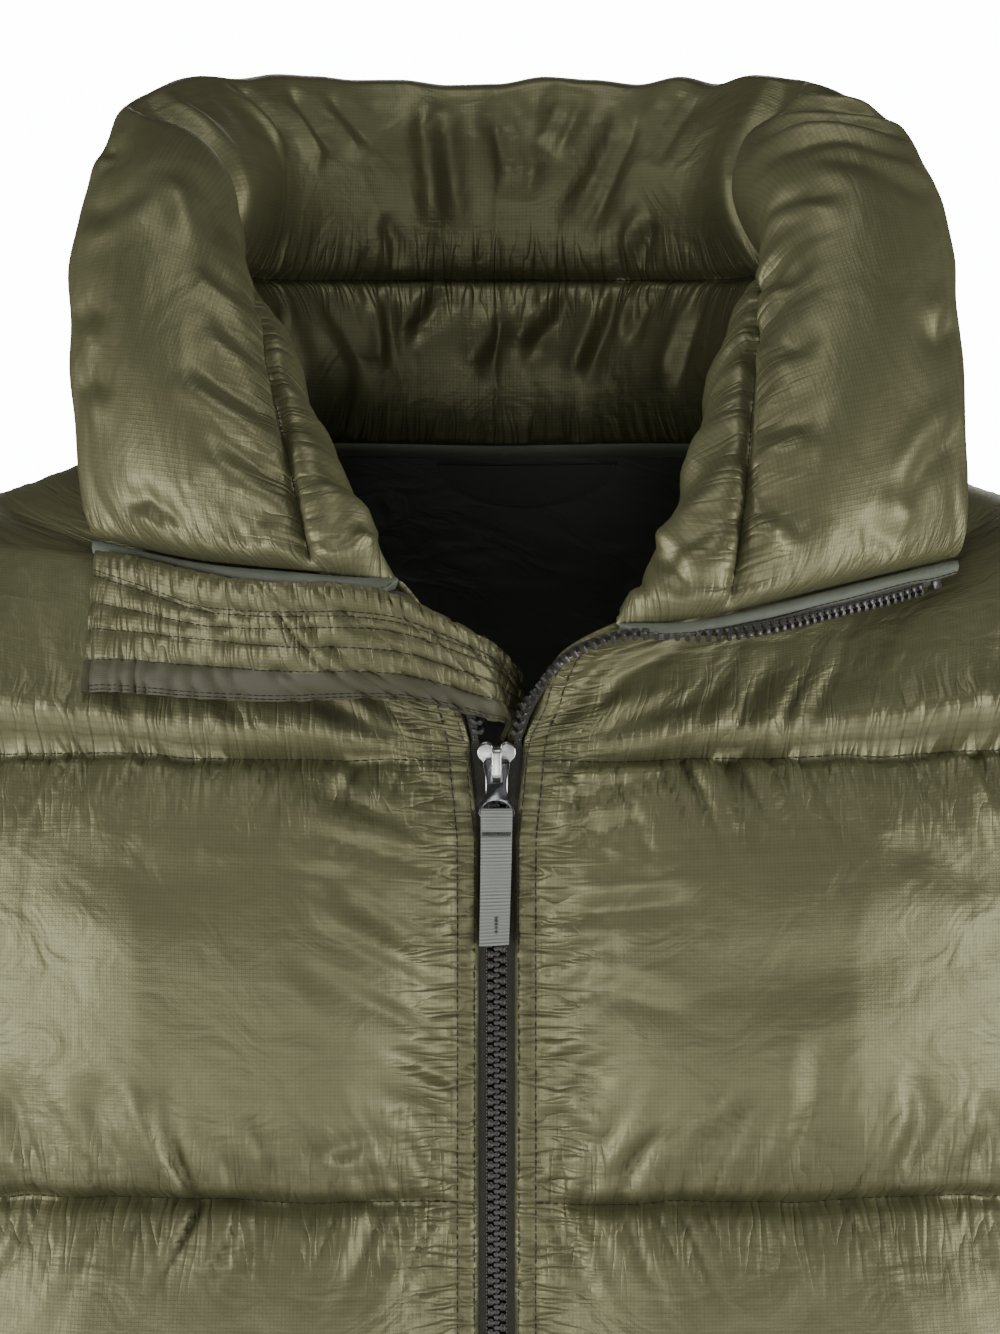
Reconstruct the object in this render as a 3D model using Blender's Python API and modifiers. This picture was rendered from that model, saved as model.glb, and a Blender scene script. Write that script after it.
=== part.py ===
"""A down jacket, filled out as if worn, its zip closed up to the throat and its collar folded open.

Sizes and tables are in millimetres and become metres when a mesh is made. +Z is up, +X is the
wearer's left and -Y is forward. The origin lies midway between the high points of the shoulders,
beside the neck."""

import math

import bmesh
import bpy
import numpy as np

MM = 0.001
GAP = 0.3                   # left between two pieces that are sewn together
NECK_GAP = 0.5              # the same round the neck, where the seam turns sharply

# --- the body's cut
HIGH_POINT_X = 92.0         # from the centre to the high point of a shoulder, beside the neck
SHOULDER_DROP = 0.37        # fall of the shoulder seam for each millimetre outwards
SHOULDER_TIP_X = 226.0
BODY_LENGTH = 700.0
BAFFLE_HEIGHT = 129.0
YOKE_SEAM_Z = -91.0         # the highest quilting seam
QUILT_SEAMS = 5
SECTION_SQUARENESS = 2.4    # 2 is an ellipse
FRONT_SHOULDER_ROUND = 160.0   # height over which the shoulder rounds down to the chest
BACK_SHOULDER_ROUND = 140.0
FRONT_ARMHOLE_SCOOP = 56.0
BACK_ARMHOLE_SCOOP = 44.0

# --- padding, each side of the middle of the wall
SEAM_HALF = 1.6
PLACKET_HALF = 1.8
BODY_PUFF_OUT = 17.0
BODY_PUFF_IN = 3.0
YOKE_PUFF_OUT = 6.0
SLEEVE_PUFF_OUT = 12.0
SLEEVE_PUFF_IN = 3.0
UNDERARM_PINCH = 80.0       # the padding is squeezed this far round the underarm
COLLAR_PUFF_OUT = 8.0
COLLAR_PUFF_IN = 13.0
COLLAR_EDGE_HALF = 3.0
PLACKET_RISE = 16.0         # the padding swells to its full depth over this much cloth
SEAM_RISE = 26.0            # the same beside a side seam or an armhole
COLLAR_END_RISE = 20.0
NECK_BLEND = 14.0           # the front turns into the way its neck seam faces over this much
PUFF_ROWS = (0.0, 0.18, 0.5, 0.82, 1.0)   # where a baffle is cut across, from seam to seam

# --- the zip
ZIP_EDGE_X = 5.3            # from the centre to the edge of a front
ZIP_RECESS = 1.0            # the tape lies this far behind the middle of the front's edge
PLACKET_WIDTH = 10.0        # the flat band beside the zip
CHAIN_HALF_WIDTH = 3.0
CHAIN_HALF_THICKNESS = 1.2
TAPE_THICKNESS = 0.8
SLIDER_TOP_Z = -85.0
SLIDER_LENGTH = 16.0
SLIDER_WIDTH = 10.5
SLIDER_HALF_DEPTH = 3.9
SLIDER_PLATE = 1.4
LEFT_BINDING_WIDTH = 2.4    # the wearer's left, on the zip side
RIGHT_BINDING_WIDTH = 3.8
FLAP_THICKNESS = 2.4
LINING_THICKNESS = 1.0
LINING_SLACK = 2.0          # how far the back's lining hangs clear of its padding
PATCH_X = 9.5               # the neck patch sits a little to the wearer's left
PATCH_WIDTH = 57.0
PATCH_HEIGHT = 16.0
PATCH_DROP = 3.0            # below the neck seam
PATCH_THICKNESS = 0.8

# Half width, depth in front of the shoulder seams and depth behind them, at heights of the body.
TORSO = (
    # z, half width, front, back
    (-700.0, 226.0, 120.0, 108.0),
    (-607.0, 238.0, 127.0, 114.0),
    (-478.0, 241.0, 129.0, 116.0),
    (-349.0, 241.0, 131.0, 119.0),
    (-220.0, 241.0, 129.0, 121.0),
    (-91.0, 239.0, 122.0, 120.0),
    (40.0, 232.0, 118.0, 118.0),
)

# Centre, turn from upright, and half widths of the sleeve, each row at a quilting seam.
SLEEVE = (
    # x, y, z, tilt in degrees, half width across, half width front to back
    (312.0, 2.0, -219.0, 56.0, 85.0, 76.0),
    (338.0, -2.0, -306.0, 22.0, 67.0, 75.0),
    (354.0, 0.0, -398.0, 13.5, 60.0, 66.0),
    (376.0, 2.0, -494.0, 12.5, 55.0, 60.0),
    (396.0, -6.0, -590.0, 12.0, 49.0, 53.0),
    (412.0, -16.0, -684.0, 11.0, 40.0, 43.0),
)
ARMHOLE_UNDERARM_Z = YOKE_SEAM_Z - 1.5 * BAFFLE_HEIGHT

# The collar's sections, by distance from the centre of the back: its neck seam, its seam between
# the baffles, the middle of the upper baffle and its top edge, then the way the neck seam faces.
COLLAR_BACK = (
    # distance, neck xyz, middle seam xyz, upper baffle xyz, top edge xyz, facing xyz
    (0.0, (0, 80, -8), (0, 80, 46), (0, 84, 79), (0, 88, 109), (0.0, 0.95, 0.30)),
    (45.0, (43, 72, -7), (43, 74, 46), (44, 78, 79), (45, 83, 109), (0.45, 0.85, 0.30)),
    (90.0, (76, 44, -5), (75, 48, 47), (76, 53, 80), (82, 58, 109), (0.75, 0.50, 0.40)),
)
COLLAR_LEFT = COLLAR_BACK + (
    (115.0, (87, 22, -2), (84, 26, 49), (82, 31, 81), (99, 36, 107), (0.80, 0.25, 0.50)),
    (135.0, (92, 0, 0), (89, 4, 50), (86, 8, 81), (117, 14, 98), (0.80, 0.00, 0.60)),
    (165.0, (90, -28, -9), (86, -27, 50), (101, -24, 72), (132, -6, 79), (0.80, -0.25, 0.55)),
    (190.0, (84, -52, -18), (81, -56, 36), (110, -44, 53), (136, -24, 57), (0.78, -0.40, 0.48)),
    (215.0, (74, -76, -30), (77, -86, 14), (110, -70, 26), (138, -42, 33), (0.83, -0.40, 0.38)),
    (240.0, (57, -100, -41), (73, -114, -14), (107, -92, -6), (139, -60, 4), (0.92, -0.28, 0.25)),
    (258.0, (43, -119, -47), (69, -127, -36), (105, -102, -29), (138, -70, -22), (0.98, -0.15, 0.15)),
    (268.0, (35, -128, -50), (67, -130, -46), (103, -106, -39), (137, -73, -33), (1.0, 0.0, 0.1)),
)
COLLAR_RIGHT = COLLAR_BACK + (
    (115.0, (87, 22, -2), (84, 26, 49), (84, 31, 81), (103, 34, 107), (0.80, 0.25, 0.50)),
    (135.0, (92, 0, 0), (89, 4, 50), (88, 8, 81), (115, 12, 99), (0.80, 0.00, 0.60)),
    (165.0, (90, -28, -9), (83, -28, 50), (97, -24, 71), (124, -8, 77), (0.80, -0.25, 0.55)),
    (190.0, (83, -52, -16), (74, -58, 36), (101, -46, 50), (128, -26, 53), (0.78, -0.40, 0.48)),
    (215.0, (71, -77, -26), (67, -86, 14), (99, -70, 25), (127, -44, 29), (0.83, -0.40, 0.38)),
    (240.0, (51, -102, -33), (60, -112, -9), (94, -90, -1), (125, -60, 4), (0.92, -0.28, 0.25)),
    (258.0, (37, -119, -36), (55, -126, -27), (90, -101, -22), (122, -70, -18), (0.98, -0.15, 0.15)),
    (268.0, (29, -127, -37), (53, -130, -34), (88, -106, -32), (120, -75, -27), (1.0, 0.0, 0.1)),
)
HIGH_POINT_DISTANCE = 135.0
COLLAR_STATIONS = (
    0.0, 30.0, 60.0, 90.0, 115.0, 135.0, 150.0, 165.0, 190.0, 215.0, 240.0, 258.0, 268.0
)
COLLAR_PARTS = (0.0, 0.45, 0.72, 1.0)     # where the table's four points lie across the collar
COLLAR_ROWS = (0.0, 0.07, 0.22, 0.38, 0.45, 0.53, 0.72, 0.92, 1.0)

# The open halves of the zip, from the slider up and out along the collar: the middle of the
# teeth, the way from them to the cloth, and how far away the cloth's edge is.
ZIP_LEFT = (
    # x, y, z, way xyz, reach
    (3.4, -117.6, -84.6, (1.0, 0.0, 0.0), 4.8),
    (5.9, -122.0, -76.0, (0.85, 0.5, -0.05), 6.0),
    (10.6, -127.0, -70.0, (0.6, 0.78, 0.15), 6.4),
    (17.0, -131.5, -62.5, (0.25, 0.85, 0.45), 6.6),
    (25.0, -133.5, -57.5, (0.12, 0.85, 0.50), 7.0),
    (34.0, -134.5, -54.5, (0.1, 0.81, 0.56), 7.2),
    (67.0, -135.5, -53.8, (0.0, 0.58, 0.81), 8.2),
    (103.0, -108.0, -48.6, (0.0, 0.2, 0.98), 9.8),
    (124.0, -88.0, -44.5, (0.0, 0.2, 0.98), 9.2),
    (134.0, -76.5, -41.5, (0.05, 0.25, 0.96), 9.0),
)
ZIP_RIGHT = (
    (3.4, -117.6, -84.6, (1.0, 0.0, 0.0), 4.8),
    (4.5, -121.0, -76.0, (0.9, 0.42, 0.0), 6.0),
    (7.0, -124.0, -69.0, (0.7, 0.7, 0.1), 6.4),
    (12.0, -128.0, -60.0, (0.4, 0.8, 0.4), 6.6),
    (19.0, -130.5, -52.0, (0.2, 0.75, 0.6), 7.6),
    (28.0, -131.5, -44.5, (0.1, 0.5, 0.85), 9.0),
    (53.0, -131.5, -43.5, (0.0, 0.2, 0.98), 9.4),
    (88.0, -108.5, -41.5, (0.0, 0.2, 0.98), 9.6),
    (117.0, -80.0, -37.0, (0.05, 0.25, 0.96), 9.4),
)
FRONT_V_ROWS_LEFT = ((8.2, -118.4, -84.6), (12.2, -120.6, -74.6), (19.0, -126.6, -59.0))
FRONT_V_ROWS_RIGHT = ((8.2, -118.4, -84.6), (11.6, -120.0, -72.0), (17.4, -124.6, -53.0))

# The storm flap: its sewn edge and its free edge, from the collar's top corner to the slider.
FLAP_OPEN = (
    # sewn xyz, free xyz
    ((-119, -84, -32.5), (-122, -102, -69)),
    ((-106, -97.5, -34), (-107, -110, -69)),
    ((-92, -110, -37), (-92, -117, -69)),
    ((-78, -121, -39), (-75, -124, -68.5)),
    ((-64, -131.6, -39.5), (-58, -132, -69)),
    ((-46, -137.2, -39), (-40, -137.4, -70)),
    ((-30, -136.5, -40.5), (-23, -137, -71.5)),
    ((-18, -135.5, -46), (-10, -134.5, -74)),
    ((-7, -131, -52), (-1, -130, -76)),
    ((2, -121, -59), (1.4, -120, -76.6)),
    ((7, -112, -69), (9, -112, -80)),
    ((2, -109.5, -84), (16, -109.5, -91)),
    ((-8, -110.5, -100), (22, -110.5, -106)),
)
FLAP_SEWN_X = -12.0
FLAP_FREE_X = 22.0
FLAP_BEHIND = 6.6           # from the middle of a front's edge back to the flap

# --- the slider's hanging parts
PIVOT_Y = -124.2
PIVOT_Z = -90.4
PULL_LEAN = 5.0             # degrees from plumb, along the slope of the chest
BRIDGE_WIDTH = 2.6
PULLER_THICKNESS = 1.4
PULLER_LENGTH = 14.6
PULLER_HEAD_WIDTH = 7.4
PULLER_FOOT_WIDTH = 10.6
RIBBON_WIDTH = 8.6
RIBBON_LENGTH = 38.0
RIBBON_THICKNESS = 2.2

COLOURS = {
    # name: (red, green, blue), roughness, metallic
    "shell_ripstop": ((0.155, 0.145, 0.075), 0.42, 0.0),
    "lining": ((0.030, 0.034, 0.028), 0.55, 0.0),
    "binding": ((0.120, 0.140, 0.120), 0.70, 0.0),
    "zip_tape": ((0.055, 0.052, 0.042), 0.85, 0.0),
    "zip_teeth": ((0.070, 0.068, 0.062), 0.40, 0.0),
    "slider_metal": ((0.180, 0.180, 0.180), 0.25, 1.0),
    "ribbon": ((0.290, 0.310, 0.280), 0.80, 0.0),
}


# --------------------------------------------------------------------------- curves and forms

def unit(vectors):
    return vectors / np.linalg.norm(vectors, axis=-1, keepdims=True)


def smooth(knots, values, at):
    """A cubic curve through the values, its slope at each knot taken from the knots beside it."""
    knots = np.asarray(knots, float)
    values = np.asarray(values, float)
    at = np.asarray(at, float)
    slopes = np.gradient(values, knots, axis=0)
    left = np.clip(np.searchsorted(knots, at, side="right") - 1, 0, len(knots) - 2)
    step = knots[left + 1] - knots[left]
    t = (at - knots[left]) / step
    spread = t.shape + (1,) * (values.ndim - 1)
    t = t.reshape(spread)
    step = step.reshape(spread)
    ease = t * t * (3 - 2 * t)
    leave = t * (1 - t) ** 2 * step
    arrive = -t * t * (1 - t) * step
    ends = values[left] * (1 - ease) + values[left + 1] * ease
    return ends + slopes[left] * leave + slopes[left + 1] * arrive


def along(points, distances):
    """Points at these distances along a polyline."""
    walked = np.concatenate([[0], np.cumsum(np.linalg.norm(np.diff(points, axis=0), axis=1))])
    return np.column_stack([np.interp(distances, walked, points[:, k]) for k in range(3)])


def length_of(points):
    return float(np.linalg.norm(np.diff(points, axis=0), axis=1).sum())


def swell(share):
    """The padding's fullness across a baffle, from 0 at one seam to 0 at the next."""
    return np.sin(np.pi * np.clip(share, 0, 1)) ** 0.75


def rise(distance, reach):
    """From 0 at an edge to 1 at this reach from it."""
    t = np.clip(distance / reach, 0, 1)
    return np.sqrt(t * (2 - t))


def torso(z, column):
    rows = np.array(TORSO)
    return smooth(rows[:, 0], rows[:, column], z)


def shoulder_z(x):
    return -(np.abs(x) - HIGH_POINT_X) * SHOULDER_DROP


def depth(x, z, front):
    """How far the body's form stands in front of the shoulder seams' plane, or behind it."""
    reach = torso(z, 2 if front else 3)
    over = np.clip(np.abs(x) / torso(z, 1), 0, 1)
    across = (1 - over ** SECTION_SQUARENESS) ** (1 / SECTION_SQUARENESS)
    height = FRONT_SHOULDER_ROUND if front else BACK_SHOULDER_ROUND
    drop = np.clip((shoulder_z(x) - z) / height, 0, 1)
    return reach * across * np.sqrt(1 - (1 - drop) ** 2)


def armhole(turn, front):
    """The armhole's seam, from the shoulder's tip, at no turn, down to the underarm, at pi."""
    top = float(shoulder_z(SHOULDER_TIP_X))
    middle = (top + ARMHOLE_UNDERARM_Z) / 2
    z = middle + (top - middle) * np.cos(turn)
    side = float(torso(ARMHOLE_UNDERARM_Z, 1))
    scoop = FRONT_ARMHOLE_SCOOP if front else BACK_ARMHOLE_SCOOP
    x = SHOULDER_TIP_X + (side - SHOULDER_TIP_X) * turn / np.pi - scoop * np.sin(turn) ** 0.9
    y = depth(x, z, front) * (-1 if front else 1)
    return np.stack(np.broadcast_arrays(x, y, z), axis=-1)


def armhole_turn(z):
    top = float(shoulder_z(SHOULDER_TIP_X))
    middle = (top + ARMHOLE_UNDERARM_Z) / 2
    return np.arccos(np.clip((z - middle) / (top - middle), -1, 1))


def armhole_facing(turn, front):
    """The way the armhole's seam faces, shared by the body and the sleeve."""
    point = armhole(turn, front)
    middle_z = (float(shoulder_z(SHOULDER_TIP_X)) + ARMHOLE_UNDERARM_Z) / 2
    spread = np.stack(
        np.broadcast_arrays(
            65.0 * (1 + np.cos(turn)) / 2 + 80.0 * ((1 - np.cos(turn)) / 2) ** 3 + 10.0,
            point[..., 1],
            point[..., 2] - middle_z,
        ),
        axis=-1,
    )
    return unit(spread)


def underarm_pinch(points, front):
    """How full the padding may be near the lower armhole, where body and sleeve press together."""
    lower = armhole(np.linspace(1.5, np.pi, 30), front)
    away = np.linalg.norm(points[..., None, :] - lower, axis=-1).min(axis=-1)
    return np.clip(away / UNDERARM_PINCH, 0, 1)


# --------------------------------------------------------------------------- meshes

def material(name):
    found = bpy.data.materials.get(name)
    if found:
        return found
    colour, roughness, metallic = COLOURS[name]
    made = bpy.data.materials.new(name)
    made.use_nodes = True
    shader = made.node_tree.nodes["Principled BSDF"]
    shader.inputs["Base Color"].default_value = (*colour, 1.0)
    shader.inputs["Roughness"].default_value = roughness
    shader.inputs["Metallic"].default_value = metallic
    made.diffuse_color = (*colour, 1.0)
    return made


def add(name, mesh, finish):
    mesh.materials.append(material(finish))
    made = bpy.data.objects.new(name, mesh)
    bpy.data.collections["down_jacket"].objects.link(made)
    return made


def grid_normals(points, ring):
    """The way each point of a grid of rows faces, across its rows and columns."""
    along_rows = np.gradient(points, axis=0)
    if ring:
        around = (np.roll(points, -1, axis=1) - np.roll(points, 1, axis=1)) / 2
    else:
        around = np.gradient(points, axis=1)
    return unit(np.cross(around, along_rows) + 1e-12)


def split_quad(shell, a, b, c, d):
    """Two triangles, split the shorter way so that sewn pieces match."""
    if (a.co - c.co).length < (b.co - d.co).length:
        triangles = ((a, b, c), (a, c, d))
    else:
        triangles = ((a, b, d), (b, c, d))
    for corners in triangles:
        if len({tuple(v.co) for v in corners}) == 3:
            shell.faces.new(corners)


def padded_wall(name, points, normals, outside, inside, finish, ring=False):
    """One closed wall: the grid moved out and in along its normals, with its open edges closed."""
    rows, columns = points.shape[:2]
    outer = points + normals * np.broadcast_to(outside, (rows, columns))[..., None]
    inner = points - normals * np.broadcast_to(inside, (rows, columns))[..., None]
    shell = bmesh.new()
    faces_of = []
    for grid in (outer, inner):
        faces_of.append([[shell.verts.new(tuple(p * MM)) for p in row] for row in grid])
    wide = columns if ring else columns - 1
    for layer in faces_of:
        for r in range(rows - 1):
            for c in range(wide):
                n = (c + 1) % columns
                split_quad(shell, layer[r][c], layer[r][n], layer[r + 1][n], layer[r + 1][c])
    upper, lower = faces_of
    for r in (0, rows - 1):
        for c in range(wide):
            n = (c + 1) % columns
            split_quad(shell, upper[r][c], upper[r][n], lower[r][n], lower[r][c])
    if not ring:
        for c in (0, columns - 1):
            for r in range(rows - 1):
                split_quad(shell, upper[r][c], upper[r + 1][c], lower[r + 1][c], lower[r][c])
    bmesh.ops.remove_doubles(shell, verts=shell.verts, dist=1e-6)
    bmesh.ops.recalc_face_normals(shell, faces=shell.faces)
    if shell.calc_volume(signed=True) < 0:
        bmesh.ops.reverse_faces(shell, faces=shell.faces)
    mesh = bpy.data.meshes.new(name)
    shell.to_mesh(mesh)
    shell.free()
    mesh.shade_smooth()
    return add(name, mesh, finish)


def thin_sheet(name, points, thickness, finish):
    """An even sheet of cloth: a grid of points with a Solidify about its middle."""
    sheet = bmesh.new()
    verts = [[sheet.verts.new(tuple(np.asarray(p) * MM)) for p in row] for row in points]
    for r in range(len(verts) - 1):
        for c in range(len(verts[0]) - 1):
            sheet.faces.new((verts[r][c], verts[r][c + 1], verts[r + 1][c + 1], verts[r + 1][c]))
    mesh = bpy.data.meshes.new(name)
    sheet.to_mesh(mesh)
    sheet.free()
    made = add(name, mesh, finish)
    wall = made.modifiers.new("thickness", "SOLIDIFY")
    wall.thickness = thickness * MM
    wall.offset = 0
    return made


def box_mesh(name, size, centre, bevel):
    """A block with rounded edges, in millimetres."""
    block = bmesh.new()
    bmesh.ops.create_cube(block, size=1)
    bmesh.ops.scale(block, vec=[s * MM for s in size], verts=block.verts)
    if bevel:
        bmesh.ops.bevel(
            block, geom=block.edges, offset=bevel * MM, segments=2, profile=0.5, affect="EDGES"
        )
    bmesh.ops.translate(block, vec=[c * MM for c in centre], verts=block.verts)
    mesh = bpy.data.meshes.new(name)
    block.to_mesh(mesh)
    block.free()
    return mesh


def flat_plate(name, outline, y, thickness, bevel=0.0):
    """A plate of this outline in x and z, standing across y."""
    plate = bmesh.new()
    corners = [plate.verts.new((x * MM, (y - thickness / 2) * MM, z * MM)) for x, z in outline]
    face = plate.faces.new(corners)
    made = bmesh.ops.extrude_face_region(plate, geom=[face])
    moved = [v for v in made["geom"] if isinstance(v, bmesh.types.BMVert)]
    bmesh.ops.translate(plate, vec=(0, thickness * MM, 0), verts=moved)
    bmesh.ops.recalc_face_normals(plate, faces=plate.faces)
    if bevel:
        rims = [e for e in plate.edges if len({round(v.co.y, 6) for v in e.verts}) == 1]
        bmesh.ops.bevel(
            plate, geom=rims, offset=bevel * MM, segments=2, profile=0.5, affect="EDGES"
        )
    mesh = bpy.data.meshes.new(name)
    plate.to_mesh(mesh)
    plate.free()
    return mesh


def cut(target, cutter_name, mesh):
    """Cuts the cutter's shape out of the target, which is already on its parent."""
    cutter = bpy.data.objects.new(cutter_name, mesh)
    cutter.parent = target.parent
    cutter.hide_render = True
    cutter.display_type = "WIRE"
    bpy.data.collections["cutters"].objects.link(cutter)
    boolean = target.modifiers.new(cutter_name, "BOOLEAN")
    boolean.operation = "DIFFERENCE"
    boolean.object = cutter


def join(target, helper_name, mesh):
    """Joins the helper's shape to the target."""
    helper = bpy.data.objects.new(helper_name, mesh)
    helper.hide_render = True
    helper.display_type = "WIRE"
    bpy.data.collections["cutters"].objects.link(helper)
    boolean = target.modifiers.new(helper_name, "BOOLEAN")
    boolean.operation = "UNION"
    boolean.object = helper


# --------------------------------------------------------------------------- the collar's sections

def collar_table(side):
    return COLLAR_LEFT if side > 0 else COLLAR_RIGHT


def collar_line(side, column, stations):
    """One line of the collar's table, read at these distances from the centre of the back."""
    rows = collar_table(side)
    points = smooth([r[0] for r in rows], np.array([r[column] for r in rows], float), stations)
    return points * np.array([side, 1, 1])


def neck_line(side, stations):
    return collar_line(side, 1, stations)


def neck_facing(side, stations):
    return unit(collar_line(side, 5, stations))


def neck_way(side, stations):
    """The way the cloth crosses the neck seam, from the body into the collar."""
    stations = np.asarray(stations, float)
    ahead = neck_line(side, stations + 0.5) - neck_line(side, stations - 0.5)
    way = unit(np.cross(ahead, neck_facing(side, stations)))
    return way * np.where(way[..., 2:] + 0.9 * -way[..., 1:2] < 0, -1, 1)


def collar_surface(stations, rows, side):
    """The middle of the collar's wall: a column for each station and a row for each height."""
    lines = np.stack([collar_line(side, k, stations) for k in (1, 2, 3, 4)])
    lines[0] += neck_way(side, stations) * NECK_GAP / 2
    return smooth(COLLAR_PARTS, lines, np.asarray(rows, float))


# --------------------------------------------------------------------------- the panels

def quilt_seams():
    return [YOKE_SEAM_Z - BAFFLE_HEIGHT * k for k in range(QUILT_SEAMS)]


def body_levels():
    """(height, fullness) of each row of the body, from the hem up to the yoke's seam."""
    seams = [-BODY_LENGTH, *reversed(quilt_seams())]
    levels = []
    for low, high in zip(seams, seams[1:]):
        for share in PUFF_ROWS[:-1]:
            levels.append((low + (high - low) * share, float(swell(share))))
    return levels + [(seams[-1], 0.0)]


def level_row(z, start_x, front):
    """A level row of one half of the body, from near its centre to its side seam or armhole."""
    below = z <= ARMHOLE_UNDERARM_Z
    end = float(torso(z, 1) if below else armhole(armhole_turn(z), front)[0])
    x = start_x + (end - start_x) * np.sin(np.linspace(0, np.pi / 2, 90))
    y = depth(x, z, front) * (-1 if front else 1)
    return np.column_stack([x, y, np.full_like(x, z)])


def zip_edge_x(z):
    """Half the gap between the fronts, wider beside the slider."""
    return float(np.interp(z, (-114.0, YOKE_SEAM_Z), (ZIP_EDGE_X, 7.6)))


def front_stops(length):
    """Distances from the zip of a front's columns."""
    inner = (0.0, PLACKET_WIDTH, PLACKET_WIDTH + 14)
    outer = (length - 26, length - 9, length)
    middle = np.linspace(inner[-1], outer[0], 5)[1:-1]
    return np.array([*inner, *middle, *outer])


def blended_patch(bottom, top, left, right, shares):
    """A patch between four edges: bottom and top hold a point for each column, left and right
    one for each row, and shares says how far up each row is."""
    columns = bottom.shape[0]
    reach = np.concatenate([[0], np.cumsum(np.linalg.norm(np.diff(bottom, axis=0), axis=1))])
    reach = reach / reach[-1]
    patch = np.empty((len(shares), columns, 3))
    for r, share in enumerate(shares):
        straight = bottom * (1 - share) + top * share
        patch[r] = straight
        patch[r] += np.outer(1 - reach, left[r] - straight[0])
        patch[r] += np.outer(reach, right[r] - straight[-1])
    return patch


def front_yoke(side, bottom):
    """The front above its highest seam, fanning up to the shoulder's high point."""
    v_rows = FRONT_V_ROWS_LEFT if side > 0 else FRONT_V_ROWS_RIGHT
    stations = [s for s in reversed(COLLAR_STATIONS) if s >= HIGH_POINT_DISTANCE]
    neck = neck_line(side, stations) * np.array([side, 1, 1])
    left = np.vstack([[bottom[0]], v_rows, neck])
    count = len(left) - 1
    turns = np.linspace(float(armhole_turn(YOKE_SEAM_Z)), 0, 4)
    seam_x = np.linspace(SHOULDER_TIP_X, HIGH_POINT_X, count - 3 + 1)
    seam = np.column_stack([seam_x, np.zeros_like(seam_x), shoulder_z(seam_x)])
    right = np.vstack([armhole(turns, True), seam[1:]])
    top = np.repeat([left[-1]], len(bottom), axis=0)
    shares = np.linspace(0, 1, count + 1)
    patch = blended_patch(bottom, top, left, right, shares)
    form = -depth(patch[..., 0], patch[..., 2], True)
    reach = np.linspace(0, 1, len(bottom))
    edge = (left[:, 1] - form[:, 0])[:, None] * ((1 - reach) ** 6)[None, :]
    patch[..., 1] = form + edge
    return patch, stations, turns


def body_half(side, front):
    """Points, normals and puffs of one front."""
    levels = body_levels()
    rows = []
    for z, _ in levels:
        line = level_row(z, zip_edge_x(z), front)
        rows.append(along(line, front_stops(length_of(line))))
    lower = np.array(rows)
    yoke, stations, turns = front_yoke(side, lower[-1])
    points = np.concatenate([lower, yoke[1:]])
    normals = grid_normals(points, False)
    normals *= np.where((normals[..., 1:2] > 0) & (np.abs(normals[..., 1:2]) > 0.2), -1, 1)
    below = len(lower)
    for r, (z, _) in enumerate(levels):
        if z <= ARMHOLE_UNDERARM_Z - 1:
            normals[r, -1] = (1, 0, 0)
            points[r, -1, 1] = -GAP / 2
        else:
            turn = armhole_turn(z)
            normals[r, -1] = armhole_facing(turn, front)
    for k, turn in enumerate(turns[1:], start=below):
        normals[k, -1] = armhole_facing(turn, front)
    slope = unit(np.array([SHOULDER_DROP, 0.0, 1.0]))
    for r in range(below + len(turns) - 1, len(points)):
        normals[r, -1] = slope
        points[r, -1, 1] = -GAP / 2
    first_neck = len(points) - len(stations)
    mirror = np.array([side, 1, 1])
    facing = neck_facing(side, stations) * mirror
    way = neck_way(side, stations) * mirror
    for k in range(len(stations)):
        row = points[first_neck + k]
        near = np.clip(1 - np.linalg.norm(row - row[0], axis=1) / NECK_BLEND, 0, 1)[:, None]
        turned = unit(normals[first_neck + k] * (1 - near) + facing[k] * near)
        normals[first_neck + k, :-1] = turned[:-1]
        row[0] -= way[k] * NECK_GAP / 2
    normals[-1, :] = facing[-1]
    points[-1, :] = points[-1, 0]
    points[-1, :, 1] = -GAP / 2
    away = np.zeros(points.shape[:2])
    for r in range(len(points)):
        steps = np.linalg.norm(np.diff(points[r], axis=0), axis=1)
        away[r] = np.concatenate([[0], np.cumsum(steps)])
    ends = rise(away - PLACKET_WIDTH, PLACKET_RISE) * rise(away[:, -1:] - away, SEAM_RISE)
    ends *= underarm_pinch(points, True)
    fullness = np.array([f for _, f in levels])
    outside = fullness[:, None] * BODY_PUFF_OUT * ends[:below]
    inside = fullness[:, None] * BODY_PUFF_IN * ends[:below]
    upper_rows = len(points) - below
    shares = np.arange(1, upper_rows + 1) / upper_rows
    yoke_full = swell(shares) * YOKE_PUFF_OUT
    outside = np.vstack([outside, yoke_full[:, None] * ends[below:]])
    inside = np.vstack([inside, yoke_full[:, None] * 0.3 * ends[below:]])
    base = np.full(points.shape[:2], SEAM_HALF)
    base[:, 0] = PLACKET_HALF
    base[first_neck:, 0] = SEAM_HALF
    underarm = next(r for r, (z, _) in enumerate(levels) if z > ARMHOLE_UNDERARM_Z - 1)
    points[underarm:below + len(turns) - 1, -1, 0] -= GAP / 2
    return points * mirror, normals * mirror, outside + base, inside + base


def build_front(name, side):
    points, normals, outside, inside = body_half(side, True)
    padded_wall(name, points, normals, outside, inside, "shell_ripstop")


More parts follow.
